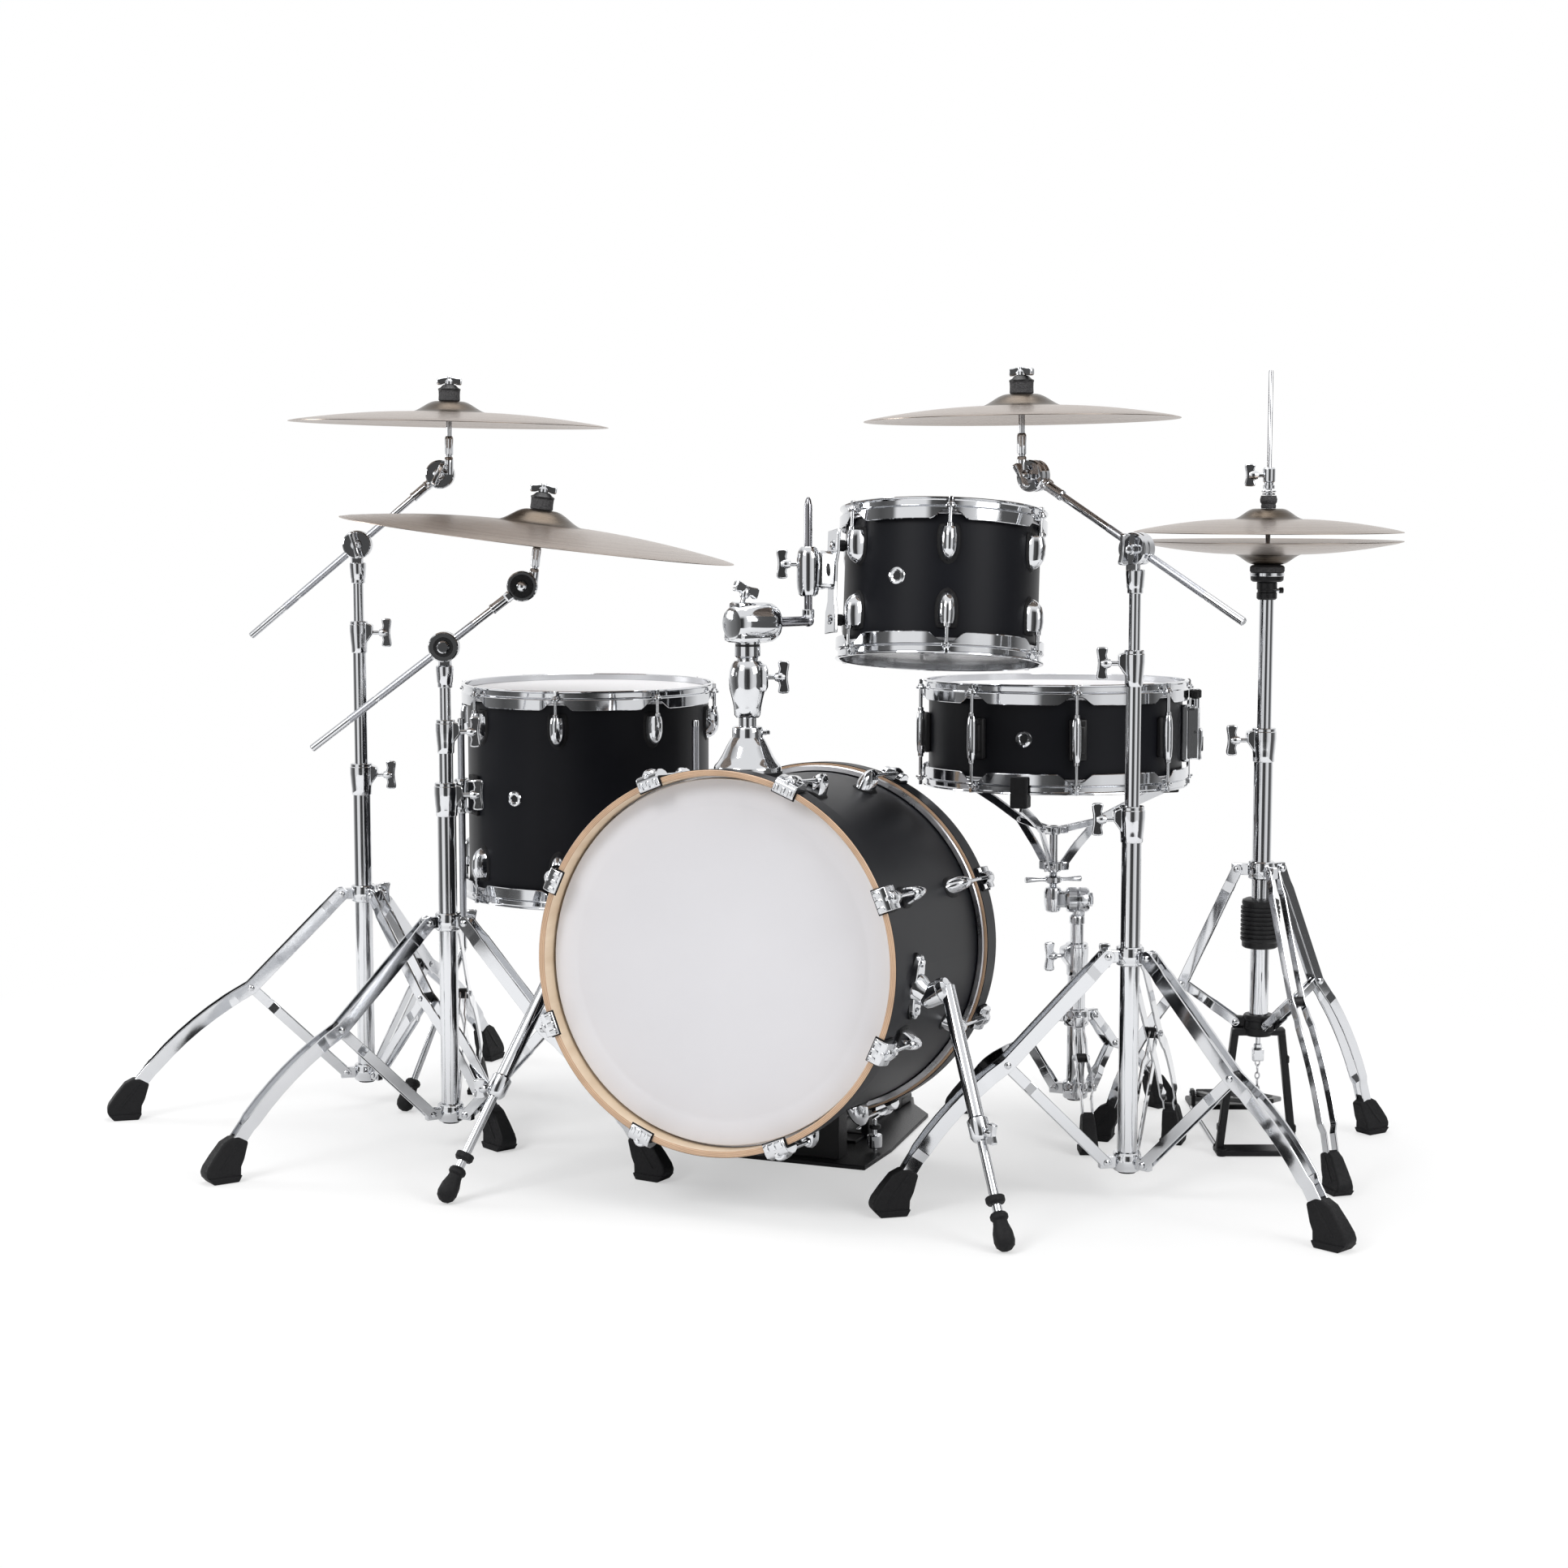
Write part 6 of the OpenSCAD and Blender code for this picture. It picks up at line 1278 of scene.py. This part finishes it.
def claw(piece, at):
    """Cast claw over the wooden hoop, with its ridged lip, and the gasket under it."""
    lip, outer = 11, WOOD_OUT + GAP
    front = HOOP_FRONT + GAP
    for low, size in (((outer - lip - 1.4, -16.5, front), (lip + 2, 33, 1.3)),
                      ((outer, -16.5, -4), (1.3, 33, front + 5))):
        piece.take(rubber, corner_block(low, size, 0.5), at)
    side = [(outer - lip, front + 1.2), (outer + 1, front + 1.2), (outer + 1.2, front),
            (outer + 1.2, -2), (outer + 3.4, -4), (outer + 8, 0), (outer + 11, 8),
            (outer + 11, 17), (outer + 7, front + 3), (outer + 2, front + 5.4),
            (outer - lip + 3, front + 5.4), (outer - lip, front + 3.4)]
    piece.take(chrome, plate(side, 30, 2.2, 3), at @ turn(90, "X"))
    for y in (-9.5, 0, 9.5):
        piece.take(chrome, block((9.5, 5, 2.6), (outer - lip / 2 + 0.6, y, front + 5.4), 1.1), at)
    piece.lathe(chrome, [(0, -4), (8, -4), (9.4, -2), (10.4, 14), (9.6, 22), (8, 24), (5.4, 24),
                         (5.4, 21), (0, 21)], 32, at @ move(BASS_ROD - 1.4, 0, 0))


SPUR_R, SPUR_HALF = 262, 12
MOUNT_ALONG = 115  # from the front hoop's edge back to the spurs and the tom holder
SPUR_D, TIP_R = 19, 13
SPUR_FEET = {1: Vector((320, -516, TIP_R)), -1: Vector((-372, -297, TIP_R))}


def spur_frame(side):
    """A spur's pivot, its hinge's outward direction and its foot."""
    c, s = across(6)
    pivot = on_bass(MOUNT_ALONG, side * SPUR_R * c, -SPUR_R * s)
    foot = SPUR_FEET[side]
    hinge = (foot - pivot).cross(Vector((BASS_AXIS.x, BASS_AXIS.y, 0))).normalized() * side
    return pivot, hinge, foot


def show_bass_lugs():
    lugs = Piece("bass_drum_claws_and_lugs", AT_BASS)
    for end in both_ends(BASS_DEPTH):
        for i in range(8):
            at = end @ turn(22.5 + i * 45, "Z")
            claw(lugs, at)
            bass_lug(lugs, at)
            tension_rod(lugs, BASS_ROD, -BASS_LUG_INSET - 4, 22, at)
    lugs.at = HERE
    for side in (-1, 1):
        spur_bracket(lugs, side)
    lugs.show("kit_root", "bass_drum_lugs")


BASS_BULLET = ((0, 0.80), (2, 0.95), (8, 1.0), (0.55 * BASS_LUG_LEN, 0.98),
               (0.75 * BASS_LUG_LEN, 0.84), (0.9 * BASS_LUG_LEN, 0.56), (BASS_LUG_LEN, 0.08))


def bass_lug(piece, at):
    bullet_lug(piece, BASS_D / 2, LUG_W, 29, BASS_LUG_INSET, BASS_LUG_LEN, BASS_BULLET, at,
               seat=0.8, gasket=(4, 5, 3.6), wider=1)
    piece.lathe(chrome, [(0, -2), (5, -2), (5, 3.5), (3.6, 5), (0, 5)], 20,
                at @ move(BASS_ROD, 0, -BASS_LUG_INSET))


def spur_bracket(piece, side):
    """Long two-lobed plate on the shell, its barrel and the fixed half of the spur's joint."""
    pivot, hinge, foot = spur_frame(side)
    center = on_bass(MOUNT_ALONG, 0, 0)
    inner = center + (pivot - center).normalized() * (BASS_D / 2 - 3)
    end = pivot - hinge * (SPUR_HALF + 6)
    length = (end - inner).length
    lobes = [(41 * math.copysign(1, c) * abs(c) ** 0.6, (15 if abs(s) > 0.6 else 13) * s)
             for c, s in map(across, range(0, 360, 12))]
    at = aim(inner, pivot)
    for made, grow, low, thick, edge in ((rubber, 1.05, -3, 5, 0.6), (chrome, 1.0, -1, 10, 2)):
        form = plate([(x * grow, y * grow) for x, y in lobes], thick, edge, 3)
        piece.take(made, form, at @ move(0, 0, low + thick / 2))
    for x in (-31, 31):
        piece.lathe(chrome, [(0, 7), (5.4, 7), (5.4, 10), (4, 11.6), (0, 11.6)], 24,
                    at @ move(x, 0, 0))
    piece.lathe(chrome, [(0, 3), (20, 3), (19, 9), (16.4, 14), (15.4, length - 4),
                         (14, length - 1), (0, length)], 44, aim(inner, end))
    near, far = pivot - hinge * 26, pivot - hinge * GAP / 2
    width = (far - near).length
    piece.lathe(chrome, [(0, 0), (12, 0), (14.4, 3), (15, 8), (15, width - 1.2), (14, width),
                         (0, width)], 40, aim(near, far))


def rubber_tip(piece, toward, foot):
    """Rounded rubber tip on the end of a rod that comes from a point."""
    r = TIP_R
    low = foot - (toward - foot).normalized() * r
    profile = [(0, 0), (r * 0.5, 0.14 * r), (r * 0.87, 0.5 * r), (r, r), (r * 0.94, 24),
               (r * 0.72, 34), (r * 0.68, 38), (r * 0.86, 41), (r * 0.86, 45), (r * 0.7, 48),
               (0.4 * r, 50), (0, 50)]
    piece.lathe(rubber, profile, 32, aim(low, toward))


def show_spur(side, name):
    pivot, hinge, foot = spur_frame(side)
    spur = Piece(f"bass_{name}_leg")
    near, far = pivot + hinge * GAP / 2, pivot + hinge * SPUR_HALF
    spur.lathe(chrome, [(0, 0), (15, 0), (16, 1), (16, 8), (14, 11), (8, 12.4), (0, 12.8)], 40,
               aim(near, far))
    start = pivot + hinge * (SPUR_D / 2 + GAP)
    along = (foot - start).normalized()
    spur.rod(chrome, start - along * 3, start + along * 178, SPUR_D, 1)
    spur.lathe(chrome, [(0, 0), (10.4, 0), (13, 3), (13, 24), (11, 28), (9, 30), (0, 30)], 40,
               aim(start + along * 170, start + along * 200))
    spur.rod(chrome, start + along * 150, foot, 12)
    spur.lathe(rubber, [(6, 0), (10.6, 0), (12, 1.4), (12, 7), (10, 10), (6.3, 10)], 32,
               aim(foot - along * 56, foot), closed=True)
    rubber_tip(spur, start, foot)
    spur.wing_bolt(Matrix.Translation(start + along * 185) @ turn(-60 if side > 0 else -150, "Z")
                   @ move(SPUR_D / 2, 0, 0), 8, 26)
    spur.show(name, f"bass_{name}")


show_bass_hoops()
show_bass_heads()
show_bass_lugs()
show_spur(1, "spur_right")
show_spur(-1, "spur_left")

# ---------- tom holder ----------

HOLDER = on_bass(MOUNT_ALONG, 0, 0)
HOLDER_AT = move(HOLDER.x, HOLDER.y, 0)
L_ROD = Vector((88, -190, 0))
BALL_Z, BALL_D, ROD_TOP = 736, 36, 894
ARM_TURN = math.degrees(math.atan2(L_ROD.y - HOLDER.y, L_ROD.x - HOLDER.x))
L_ROD_D = 10.5
RATCHET_Z, RATCHET_H = 768, 63
BRACKET_TURN = 23.7


def show_holder_base():
    base = Piece("tom_holder_base", HOLDER_AT)
    base.lathe(chrome, [(11.2, 530), (43, 530), (43, 553), (42, 556), (38, 560), (33, 568),
                        (27, 580), (22, 589), (19.5, 592), (19.5, 603), (18.3, 605), (16, 606),
                        (11.2, 606)], 64, closed=True)
    base.ring(rubber, 44, 30, 528, 549, 0.8, 64)
    base.rod(chrome, (18, 0, 598), (24, 0, 598), 7)
    base.take(chrome, block((5, 5, 5), (26, 0, 598), 0.8))
    base.show("kit_root", "tom_mount_base")


def show_holder_post():
    post = Piece("tom_holder_clamp", HOLDER_AT)
    solid_tube(post, 22, 490, 622)
    post.lathe(chrome, [(0, 617), (14.5, 617), (16.8, 620), (17.6, 630), (20, 641), (23, 653),
                        (24, 664), (23, 676), (20.4, 684), (17, 688.5), (12, 690), (0, 690)], 56)
    post.take(chrome, block((18, 34, 36), (17, 0, 667), 7))
    post.take(chrome, block((12, 40, 22), (-10, 0, 668), 5))
    for y in (-14, 14):
        post.lathe(chrome, [(0, 0), (4, 0), (4, 2.4), (3, 3.4), (0, 3.4)], 6, move(-10, y, 679))
    post.wing_bolt(move(24, 0, 668), 12, 42)
    post.lathe(chrome, [(0, 686), (13.4, 686), (13.4, 692), (16.5, 695), (16.5, 707), (0, 707)],
               48)
    post.lathe(nylon, [(0, 706), (15.6, 706), (15.6, 710.4), (0, 710.4)], 48)
    post.lathe(chrome, [(0, 710), (16.5, 710), (16.5, 722), (0, 724)], 48)
    at = move(0, 0, BALL_Z) @ turn(ARM_TURN, "Z")
    post.lathe(chrome, [(0, -27), (13, -27), (19.5, -25), (23.4, -20), (25, -12), (26, 4),
                        (26, 24), (25, 34), (23, 38), (21, 39), (21, 35), (19, 12), (0, 8)], 64,
               at @ turn(90, "Y"))
    post.lathe(nylon, [(12.6, 30), (20.4, 30), (21.6, 37.6), (19, 38.4), (13.6, 35), (12.6, 34)],
               48, at @ turn(90, "Y"), closed=True)
    post.take(chrome, block((52, 40, 16), (1, 0, -16), 6), at)
    post.take(chrome, block((22, 24, 10), (-11, 0, 22), 4), at)
    post.wing_bolt(at @ move(-10, 0, 21) @ turn(-70, "Y"), 13, 38)
    post.show("tom_post", "tom_holder_post")


def ball(d):
    bm = bmesh.new()
    bmesh.ops.create_uvsphere(bm, u_segments=40, v_segments=24, radius=d / 2)
    return bm


def show_holder_arm():
    arm = Piece("tom_holder_l_arm")
    elbow = L_ROD + Vector((0, 0, BALL_Z))
    start = HOLDER + Vector((0, 0, BALL_Z - HOLDER.z))
    arm.take(dark_chrome, ball(BALL_D), Matrix.Translation(start))
    arm.rod(dark_chrome, start, elbow, L_ROD_D + 2.4)
    at = Matrix.Translation(elbow)
    arm.take(dark_chrome, ball(L_ROD_D + 4.6), at)
    length = ROD_TOP - BALL_Z
    arm.lathe(dark_chrome, [(0, 0), (5.25, 0), (5.25, length - 11), (3.4, length - 3),
                            (1.5, length), (0, length)], 32, at)
    arm.lathe(chrome, [(0, 4), (7.4, 4), (8, 5), (8, 14), (7.2, 15), (5.2, 15), (0, 15)], 28, at)
    arm.show("tom_arm", "tom_holder_arm")


def show_tom_bracket():
    bracket = Piece("rack_tom_bracket", AT_RACK @ turn(201, "Z"))
    r = RACK_D / 2
    strip = [(-17, -160), (17, -160), (17, -132), (11, -118), (11, -70), (17, -56), (17, -26),
             (-17, -26), (-17, -56), (-11, -70), (-11, -118), (-17, -132)]
    bracket.take(chrome, plate(strip, 4.6, 1.4, 3), move(r + 26.5, 0, 0) @ UPRIGHT_PLANE)
    for z in (-46, -142):
        at = move(0, 0, z) @ turn(90, "Y")
        bracket.lathe(nylon, [(0, r - 1), (7.5, r - 1), (7.5, r + 5), (6, r + 6.5), (6, r + 11),
                              (7.5, r + 12.5), (7.5, r + 24), (0, r + 24)], 32, at)
        bracket.lathe(chrome, [(0, r + 28.6), (6.6, r + 28.6), (6.6, r + 30), (4, r + 31.6),
                               (0, r + 31.6)], 24, at)
    bracket.take(chrome, block((26, 24, 48), (r + 38, 0, -79), 5))
    bracket.at = Matrix.Translation(L_ROD + Vector((0, 0, RATCHET_Z)))
    bore = L_ROD_D / 2 + 0.06
    bracket.lathe(chrome, [(bore, 0), (10, 0), (12.4, 2), (14.4, 10), (15, 18), (15, 48),
                           (13.6, 56), (11, 61), (9, RATCHET_H), (bore, RATCHET_H)], 48,
                  closed=True)
    bracket.take(chrome, block((18, 22, 44), (-14, 0, 30), 5), turn(BRACKET_TURN + 180, "Z"))
    for z, r2 in ((32, 17), (44, 12)):
        bracket.lathe(nylon, [(0, 0), (r2 - 1.5, 0), (r2, 1.5), (r2, 4), (r2 - 1, 5), (0, 5)], 36,
                      turn(BRACKET_TURN, "Z") @ move(19, 0, z) @ turn(90, "Y"))
    bracket.wing_bolt(turn(180, "Z") @ move(14, 0, RATCHET_H - 22), 10, 38)
    bracket.show("rack_tom", "tom_bracket")


show_holder_base()
show_holder_post()
show_holder_arm()
show_tom_bracket()

# ---------- floor tom legs ----------

LEG_D, LEG_BEND_Z, LEG_REACH, LEG_TOP_Z = 10, 236, 290, 573


def show_floor_legs():
    for name, degrees in zip(("left", "right", "back"), FLOOR_LEG_TURNS):
        leg = Piece(f"floor_tom_leg_{name}_rod", FLOOR_TOM_AT @ turn(degrees, "Z"))
        bend, foot = Vector((FLOOR_LEG_R, 0, LEG_BEND_Z)), Vector((LEG_REACH, 0, TIP_R))
        leg.rod(chrome, bend, (FLOOR_LEG_R, 0, LEG_TOP_Z), LEG_D - 0.5)
        leg.rod(worked_steel, (FLOOR_LEG_R, 0, LEG_BEND_Z + 24), (FLOOR_LEG_R, 0, LEG_TOP_Z - 9),
                LEG_D, 0.3)
        leg.lathe(chrome, [(0, 0), (3.6, 0), (5, 1.6), (5, 8.4), (0, 8.4)][::-1], 24,
                  move(FLOOR_LEG_R, 0, LEG_TOP_Z) @ UPSIDE_DOWN)
        leg.take(chrome, ball(LEG_D - 0.3), Matrix.Translation(bend))
        leg.rod(chrome, bend, foot, LEG_D - 0.5)
        rubber_tip(leg, bend, foot)
        leg.show(f"floor_leg_{name}", f"floor_tom_leg_{name}")


show_floor_legs()

# ---------- riser and pedal of the bass drum ----------

PEDAL_AT = move(BASS_ORIGIN.x, BASS_ORIGIN.y, 0) @ turn(-BASS_TURN, "Z")
PEDAL_PLATE, PEDAL_HALF, RISER_FRONT, RISER_BACK, PEDAL_END = 6, 100, 278, 387, 690
AXLE_Y, AXLE_Z, COLUMN_X = 432, 150, 46
BEATER_LEN, BEATER_LEAN = 165, 30


def cradle(piece, half, y, depth, radius):
    """Block under the bass drum whose top follows the drum."""
    lowest = BASS_ORIGIN.z - (y + depth) * math.tan(math.radians(BASS_TILT)) - 0.6
    outline = [(-half, PEDAL_PLATE), (half, PEDAL_PLATE)]
    for i in range(13):
        x = half * (1 - i / 6)
        outline.append((x, min(78, lowest - math.sqrt((radius * 1.0025 + 0.6) ** 2 - x * x))))
    piece.take(black_paint, plate(outline, depth, 0.8, 2),
               move(0, y + depth / 2, 0) @ turn(90, "X"))


def show_pedal_frame():
    base = Piece("bass_pedal_base", PEDAL_AT)
    half = PEDAL_HALF
    outline = [(-half, RISER_FRONT), (half, RISER_FRONT), (half, RISER_BACK),
               (0.8 * half, PEDAL_END - 93), (0.4 * half, PEDAL_END - 40),
               (0.25 * half, PEDAL_END), (-0.25 * half, PEDAL_END), (-0.4 * half, PEDAL_END - 40),
               (-0.8 * half, PEDAL_END - 93), (-half, RISER_BACK)]
    base.take(black_paint, plate(outline, PEDAL_PLATE, 1.4, 3), move(0, 0, PEDAL_PLATE / 2))
    cradle(base, 55, RISER_FRONT + 20, 32, BASS_D / 2)
    cradle(base, 30, RISER_BACK - 34, 32, WOOD_OUT)
    at = move(0, RISER_FRONT + 20, 38) @ turn(90, "X")
    base.lathe(chrome, [(13, 0), (16.6, 0), (17, 0.8), (16, 2), (14, 2), (13, 1)], 40, at,
               closed=True)
    base.lathe(nylon, [(0, 0), (13.4, 0), (13.4, 1.2), (0, 1.2)], 32, at)
    for side in (-1, 1):
        post = move(side * 85, 358, PEDAL_PLATE)
        base.lathe(chrome, [(0, 0), (3, 0), (3, 44), (2, 46), (0, 46)], 20, post)
        base.lathe(chrome, [(3, 6), (9, 6), (10, 7.4), (10, 22.6), (9, 24), (3, 24)], 36, post,
                   closed=True)
        base.lathe(nylon, [(3, 32), (7, 32), (8, 33), (8, 37), (7, 38), (3, 38)], 28, post,
                   closed=True)
        x = side * COLUMN_X
        column = [(-9, 6), (9, 6), (9, 60), (7, 80), (8, 150), (5, 155), (-5, 155), (-8, 150),
                  (-7, 80), (-9, 60)]
        base.take(black_paint, plate(column, 11.6, 2, 3), move(x, AXLE_Y, 0) @ UPRIGHT_PLANE)
        at = move(x, AXLE_Y, AXLE_Z) @ turn(90, "Y")
        base.ring(chrome, 8, 4.1, -6.8, 6.8, 0.8, 32, at)
        base.take(black_paint, corner_block((side * 29.3 - 3, 599, PEDAL_PLATE), (6, 18, 28), 2))
        base.rod(chrome, (side * 26, 446, 10), (side * 23, 600, 10), 5.4)
    base.take(black_paint, corner_block((-COLUMN_X, AXLE_Y - 9, PEDAL_PLATE),
                                        (2 * COLUMN_X, 18, 8), 2))
    base.take(black_paint, corner_block((-COLUMN_X, RISER_BACK, PEDAL_PLATE),
                                        (2 * COLUMN_X, AXLE_Y - RISER_BACK, 5), 1.4))
    base.take(black_paint, corner_block((-32, 616, PEDAL_PLATE), (64, PEDAL_END - 642, 14), 3))
    for i in range(5):
        base.take(rubber, block((48, 3.6, 2.4), (0, 624 + i * 8, 20), 0.9))
    base.show("kit_root", "bass_pedal_frame", slot="metal_black")


def show_pedal_board():
    heel, toe = Vector((608, 0, 26)), Vector((446, 0, 80))
    length, half, heel_half = (toe - heel).length, BOARD_HALF - 6, 26
    outline = [(0, -heel_half + 1), (14, -heel_half + 1), (34, -half), (length * 0.7, -half),
               (length, -18), (length, 18), (length * 0.7, half), (34, half), (14, heel_half - 1),
               (0, heel_half - 1)]
    tread = [(30 + i * 15, half - 8) for i in range(6)] + [(124, 25), (140, 20), (156, 15)]
    board = footboard("bass_pedal_board", PEDAL_AT @ turn(90, "Z"), heel, toe, outline,
                      heel_half - 1, tread)[0]
    board.at = PEDAL_AT
    for i in range(6):
        z = 79 + i * 9.4
        board.take(head_ring, block((5.6 if i % 2 else 4, 4.6, 9), (0, 449.5, z + 2), 1.4))
    board.show("bass_board", "bass_pedal_footboard", slot="metal_black")


def show_beater():
    beater = Piece("bass_pedal_beater_assembly", PEDAL_AT @ move(0, AXLE_Y, AXLE_Z))
    half = COLUMN_X + 12
    beater.rod(chrome, (-half, 0, 0), (half, 0, 0), 8, 0.8)
    beater.rod(chrome, (-8, 0, 0), (8, 0, 0), 18, 1.6)
    for side in (-1, 1):
        beater.ring(chrome, 20, 8.6, -2, 2, 0.6, 48, move(side * 6, 0, 0) @ turn(90, "Y"))
    lean = turn(-BEATER_LEAN, "X")
    beater.rod(chrome, lean @ Vector((0, 0, 0)), lean @ Vector((0, 0, BEATER_LEN + 4)), 6.5)
    beater.lathe(felt_pale, [(0, -18), (20, -18), (22.4, -16), (23, -13), (23, 13), (22.4, 16),
                             (20, 18), (0, 18)], 48, lean @ move(0, 0, BEATER_LEN) @ turn(90, "X"))
    beater.lathe(nylon, [(0, 0), (7, 0), (8, 1), (8, 8), (7, 9), (0, 9)], 28,
                 lean @ move(0, 0, BEATER_LEN - 31))
    beater.show("bass_beater", "bass_pedal_beater")


show_pedal_frame()
show_pedal_board()
show_beater()

# ---------- finish of the solids themselves ----------

def refinish(name, made):
    slots = nodes[name].data.materials
    if len(slots):
        for i in range(len(slots)):
            slots[i] = made
    else:
        slots.append(made)


KEPT = {name: satin_black for name in (
    "rack_tom_shell", "floor_tom_shell", "snare_shell", "bass_drum_shell", "hihat_bottom_cymbal",
    "hihat_top_cymbal")}
KEPT.update({name: black_paint for name in (
    "hihat_pedal_frame", "hihat_footboard", "bass_pedal_frame", "bass_pedal_footboard")})
for name in nodes:
    refinish(name, KEPT.get(name, chrome))

# ---------- camera, floor and light ----------

CAMERA_AT, CAMERA_DOWN, LENS = Vector((57, -3630, 907)), 6.33, 61.4907
LAMPS = (  # name, place, size, power, and what it points to
    ("key", (-2.4, -2.8, 3.2), 1.6, 85, (0, 0, 0.5)),
    ("fill", (2.8, -2.4, 2.4), 1.8, 60, (0, 0, 0.5)),
    ("top", (0, 0.6, 3.6), 2.2, 60, (0, 0, 0)),
    ("side", (-3.4, 0.8, 1.4), 1.0, 25, (0, 0, 0.6)),
)


def studio():
    scene.view_settings.view_transform = "Standard"
    lens = bpy.data.cameras.new("view")
    lens.sensor_width = 36
    lens.lens = LENS
    lens.clip_end = 60
    camera = bpy.data.objects.new("view", lens)
    camera.location = KIT @ CAMERA_AT
    camera.rotation_euler = (math.radians(90 - CAMERA_DOWN), 0, 0)
    scene.collection.objects.link(camera)
    scene.camera = camera
    pale_floor()
    soft_world()
    for name, place, size, power, target in LAMPS:
        light = bpy.data.lights.new(name, "AREA")
        light.energy = power
        light.size = size
        lamp = bpy.data.objects.new(name, light)
        lamp.location = place
        toward = Vector(target) - Vector(place)
        lamp.rotation_euler = toward.to_track_quat("-Z", "Y").to_euler()
        scene.collection.objects.link(lamp)


def seen_white(owner, plain, white):
    """Mix that is white to the camera and through clear film, and plain to light and mirrors."""
    path = add(owner, "ShaderNodeLightPath")
    direct = add(owner, "ShaderNodeMath", {0: path.outputs["Is Camera Ray"],
                                           1: path.outputs["Is Transmission Ray"]},
                 operation="MAXIMUM")
    return add(owner, "ShaderNodeMixShader", {"Fac": direct.outputs[0], 1: plain,
                                              2: white}).outputs[0]


def pale_floor():
    made = finish("pale floor", (0.9, 0.9, 0.9), 0.95, specular=0.0)
    coords = add(made, "ShaderNodeTexCoord")
    length = add(made, "ShaderNodeVectorMath", {0: coords.outputs["Object"]}, operation="LENGTH")
    fade = add(made, "ShaderNodeMapRange", {"Value": length.outputs["Value"], "From Min": 0.5,
                                            "From Max": 1.7, "To Min": 0.45, "To Max": 1})
    glow = add(made, "ShaderNodeEmission", {"Color": (1, 1, 1, 1)})
    tree = made.node_tree
    plain = tree.nodes["Principled BSDF"].outputs[0]
    white = add(made, "ShaderNodeMixShader", {"Fac": fade.outputs["Result"], 1: plain,
                                              2: glow.outputs[0]})
    tree.links.new(seen_white(made, plain, white.outputs[0]),
                   tree.nodes["Material Output"].inputs["Surface"])
    bm = bmesh.new()
    bmesh.ops.create_grid(bm, x_segments=1, y_segments=1, size=1.9)
    mesh = bpy.data.meshes.new("floor")
    bm.to_mesh(mesh)
    bm.free()
    mesh.materials.append(made)
    floor = bpy.data.objects.new("floor", mesh)
    floor.location.z = -0.0005
    scene.collection.objects.link(floor)


AROUND = ((-180, 0.95), (-140, 0.95), (-124, 0.6), (-104, 0.25), (-78, 0.10), (-62, 0.15),
          (-57, 1.0), (-24, 1.0), (-17, 0.12), (4, 0.04), (13, 0.09), (20, 0.6), (35, 0.92),
          (54, 0.92), (60, 0.12), (86, 0.10), (108, 0.5), (122, 0.95), (180, 0.95))


def soft_world():
    world = bpy.data.worlds.new("studio")
    world.use_nodes = True
    scene.world = world
    coords = add(world, "ShaderNodeTexCoord")
    parts = add(world, "ShaderNodeSeparateXYZ", {"Vector": coords.outputs["Generated"]})
    ahead = add(world, "ShaderNodeMath", {0: parts.outputs["Y"], 1: -1}, operation="MULTIPLY")
    angle = add(world, "ShaderNodeMath", {0: parts.outputs["X"], 1: ahead.outputs[0]},
                operation="ARCTAN2")
    share = add(world, "ShaderNodeMapRange", {"Value": angle.outputs[0], "From Min": -math.pi,
                                              "From Max": math.pi})
    walls = ramp(world, share.outputs["Result"],
                 [(degrees / 360 + 0.5, grey) for degrees, grey in AROUND])
    height = add(world, "ShaderNodeMapRange", {"Value": parts.outputs["Z"], "From Min": 0.5,
                                               "From Max": 0.72})
    lit = add(world, "ShaderNodeMix", {"Factor": height.outputs["Result"], "A": walls,
                                       "B": (1, 1, 1, 1)}, data_type="RGBA")
    path = add(world, "ShaderNodeLightPath")
    strength = add(world, "ShaderNodeMath", {0: path.outputs["Is Glossy Ray"], 1: 0.4, 2: 0.7},
                   operation="MULTIPLY_ADD")
    tree = world.node_tree
    plain = tree.nodes["Background"]
    tree.links.new(lit.outputs[2], plain.inputs["Color"])
    tree.links.new(strength.outputs[0], plain.inputs["Strength"])
    white = add(world, "ShaderNodeBackground", {"Color": (1, 1, 1, 1)})
    tree.links.new(seen_white(world, plain.outputs[0], white.outputs[0]),
                   tree.nodes["World Output"].inputs["Surface"])


studio()
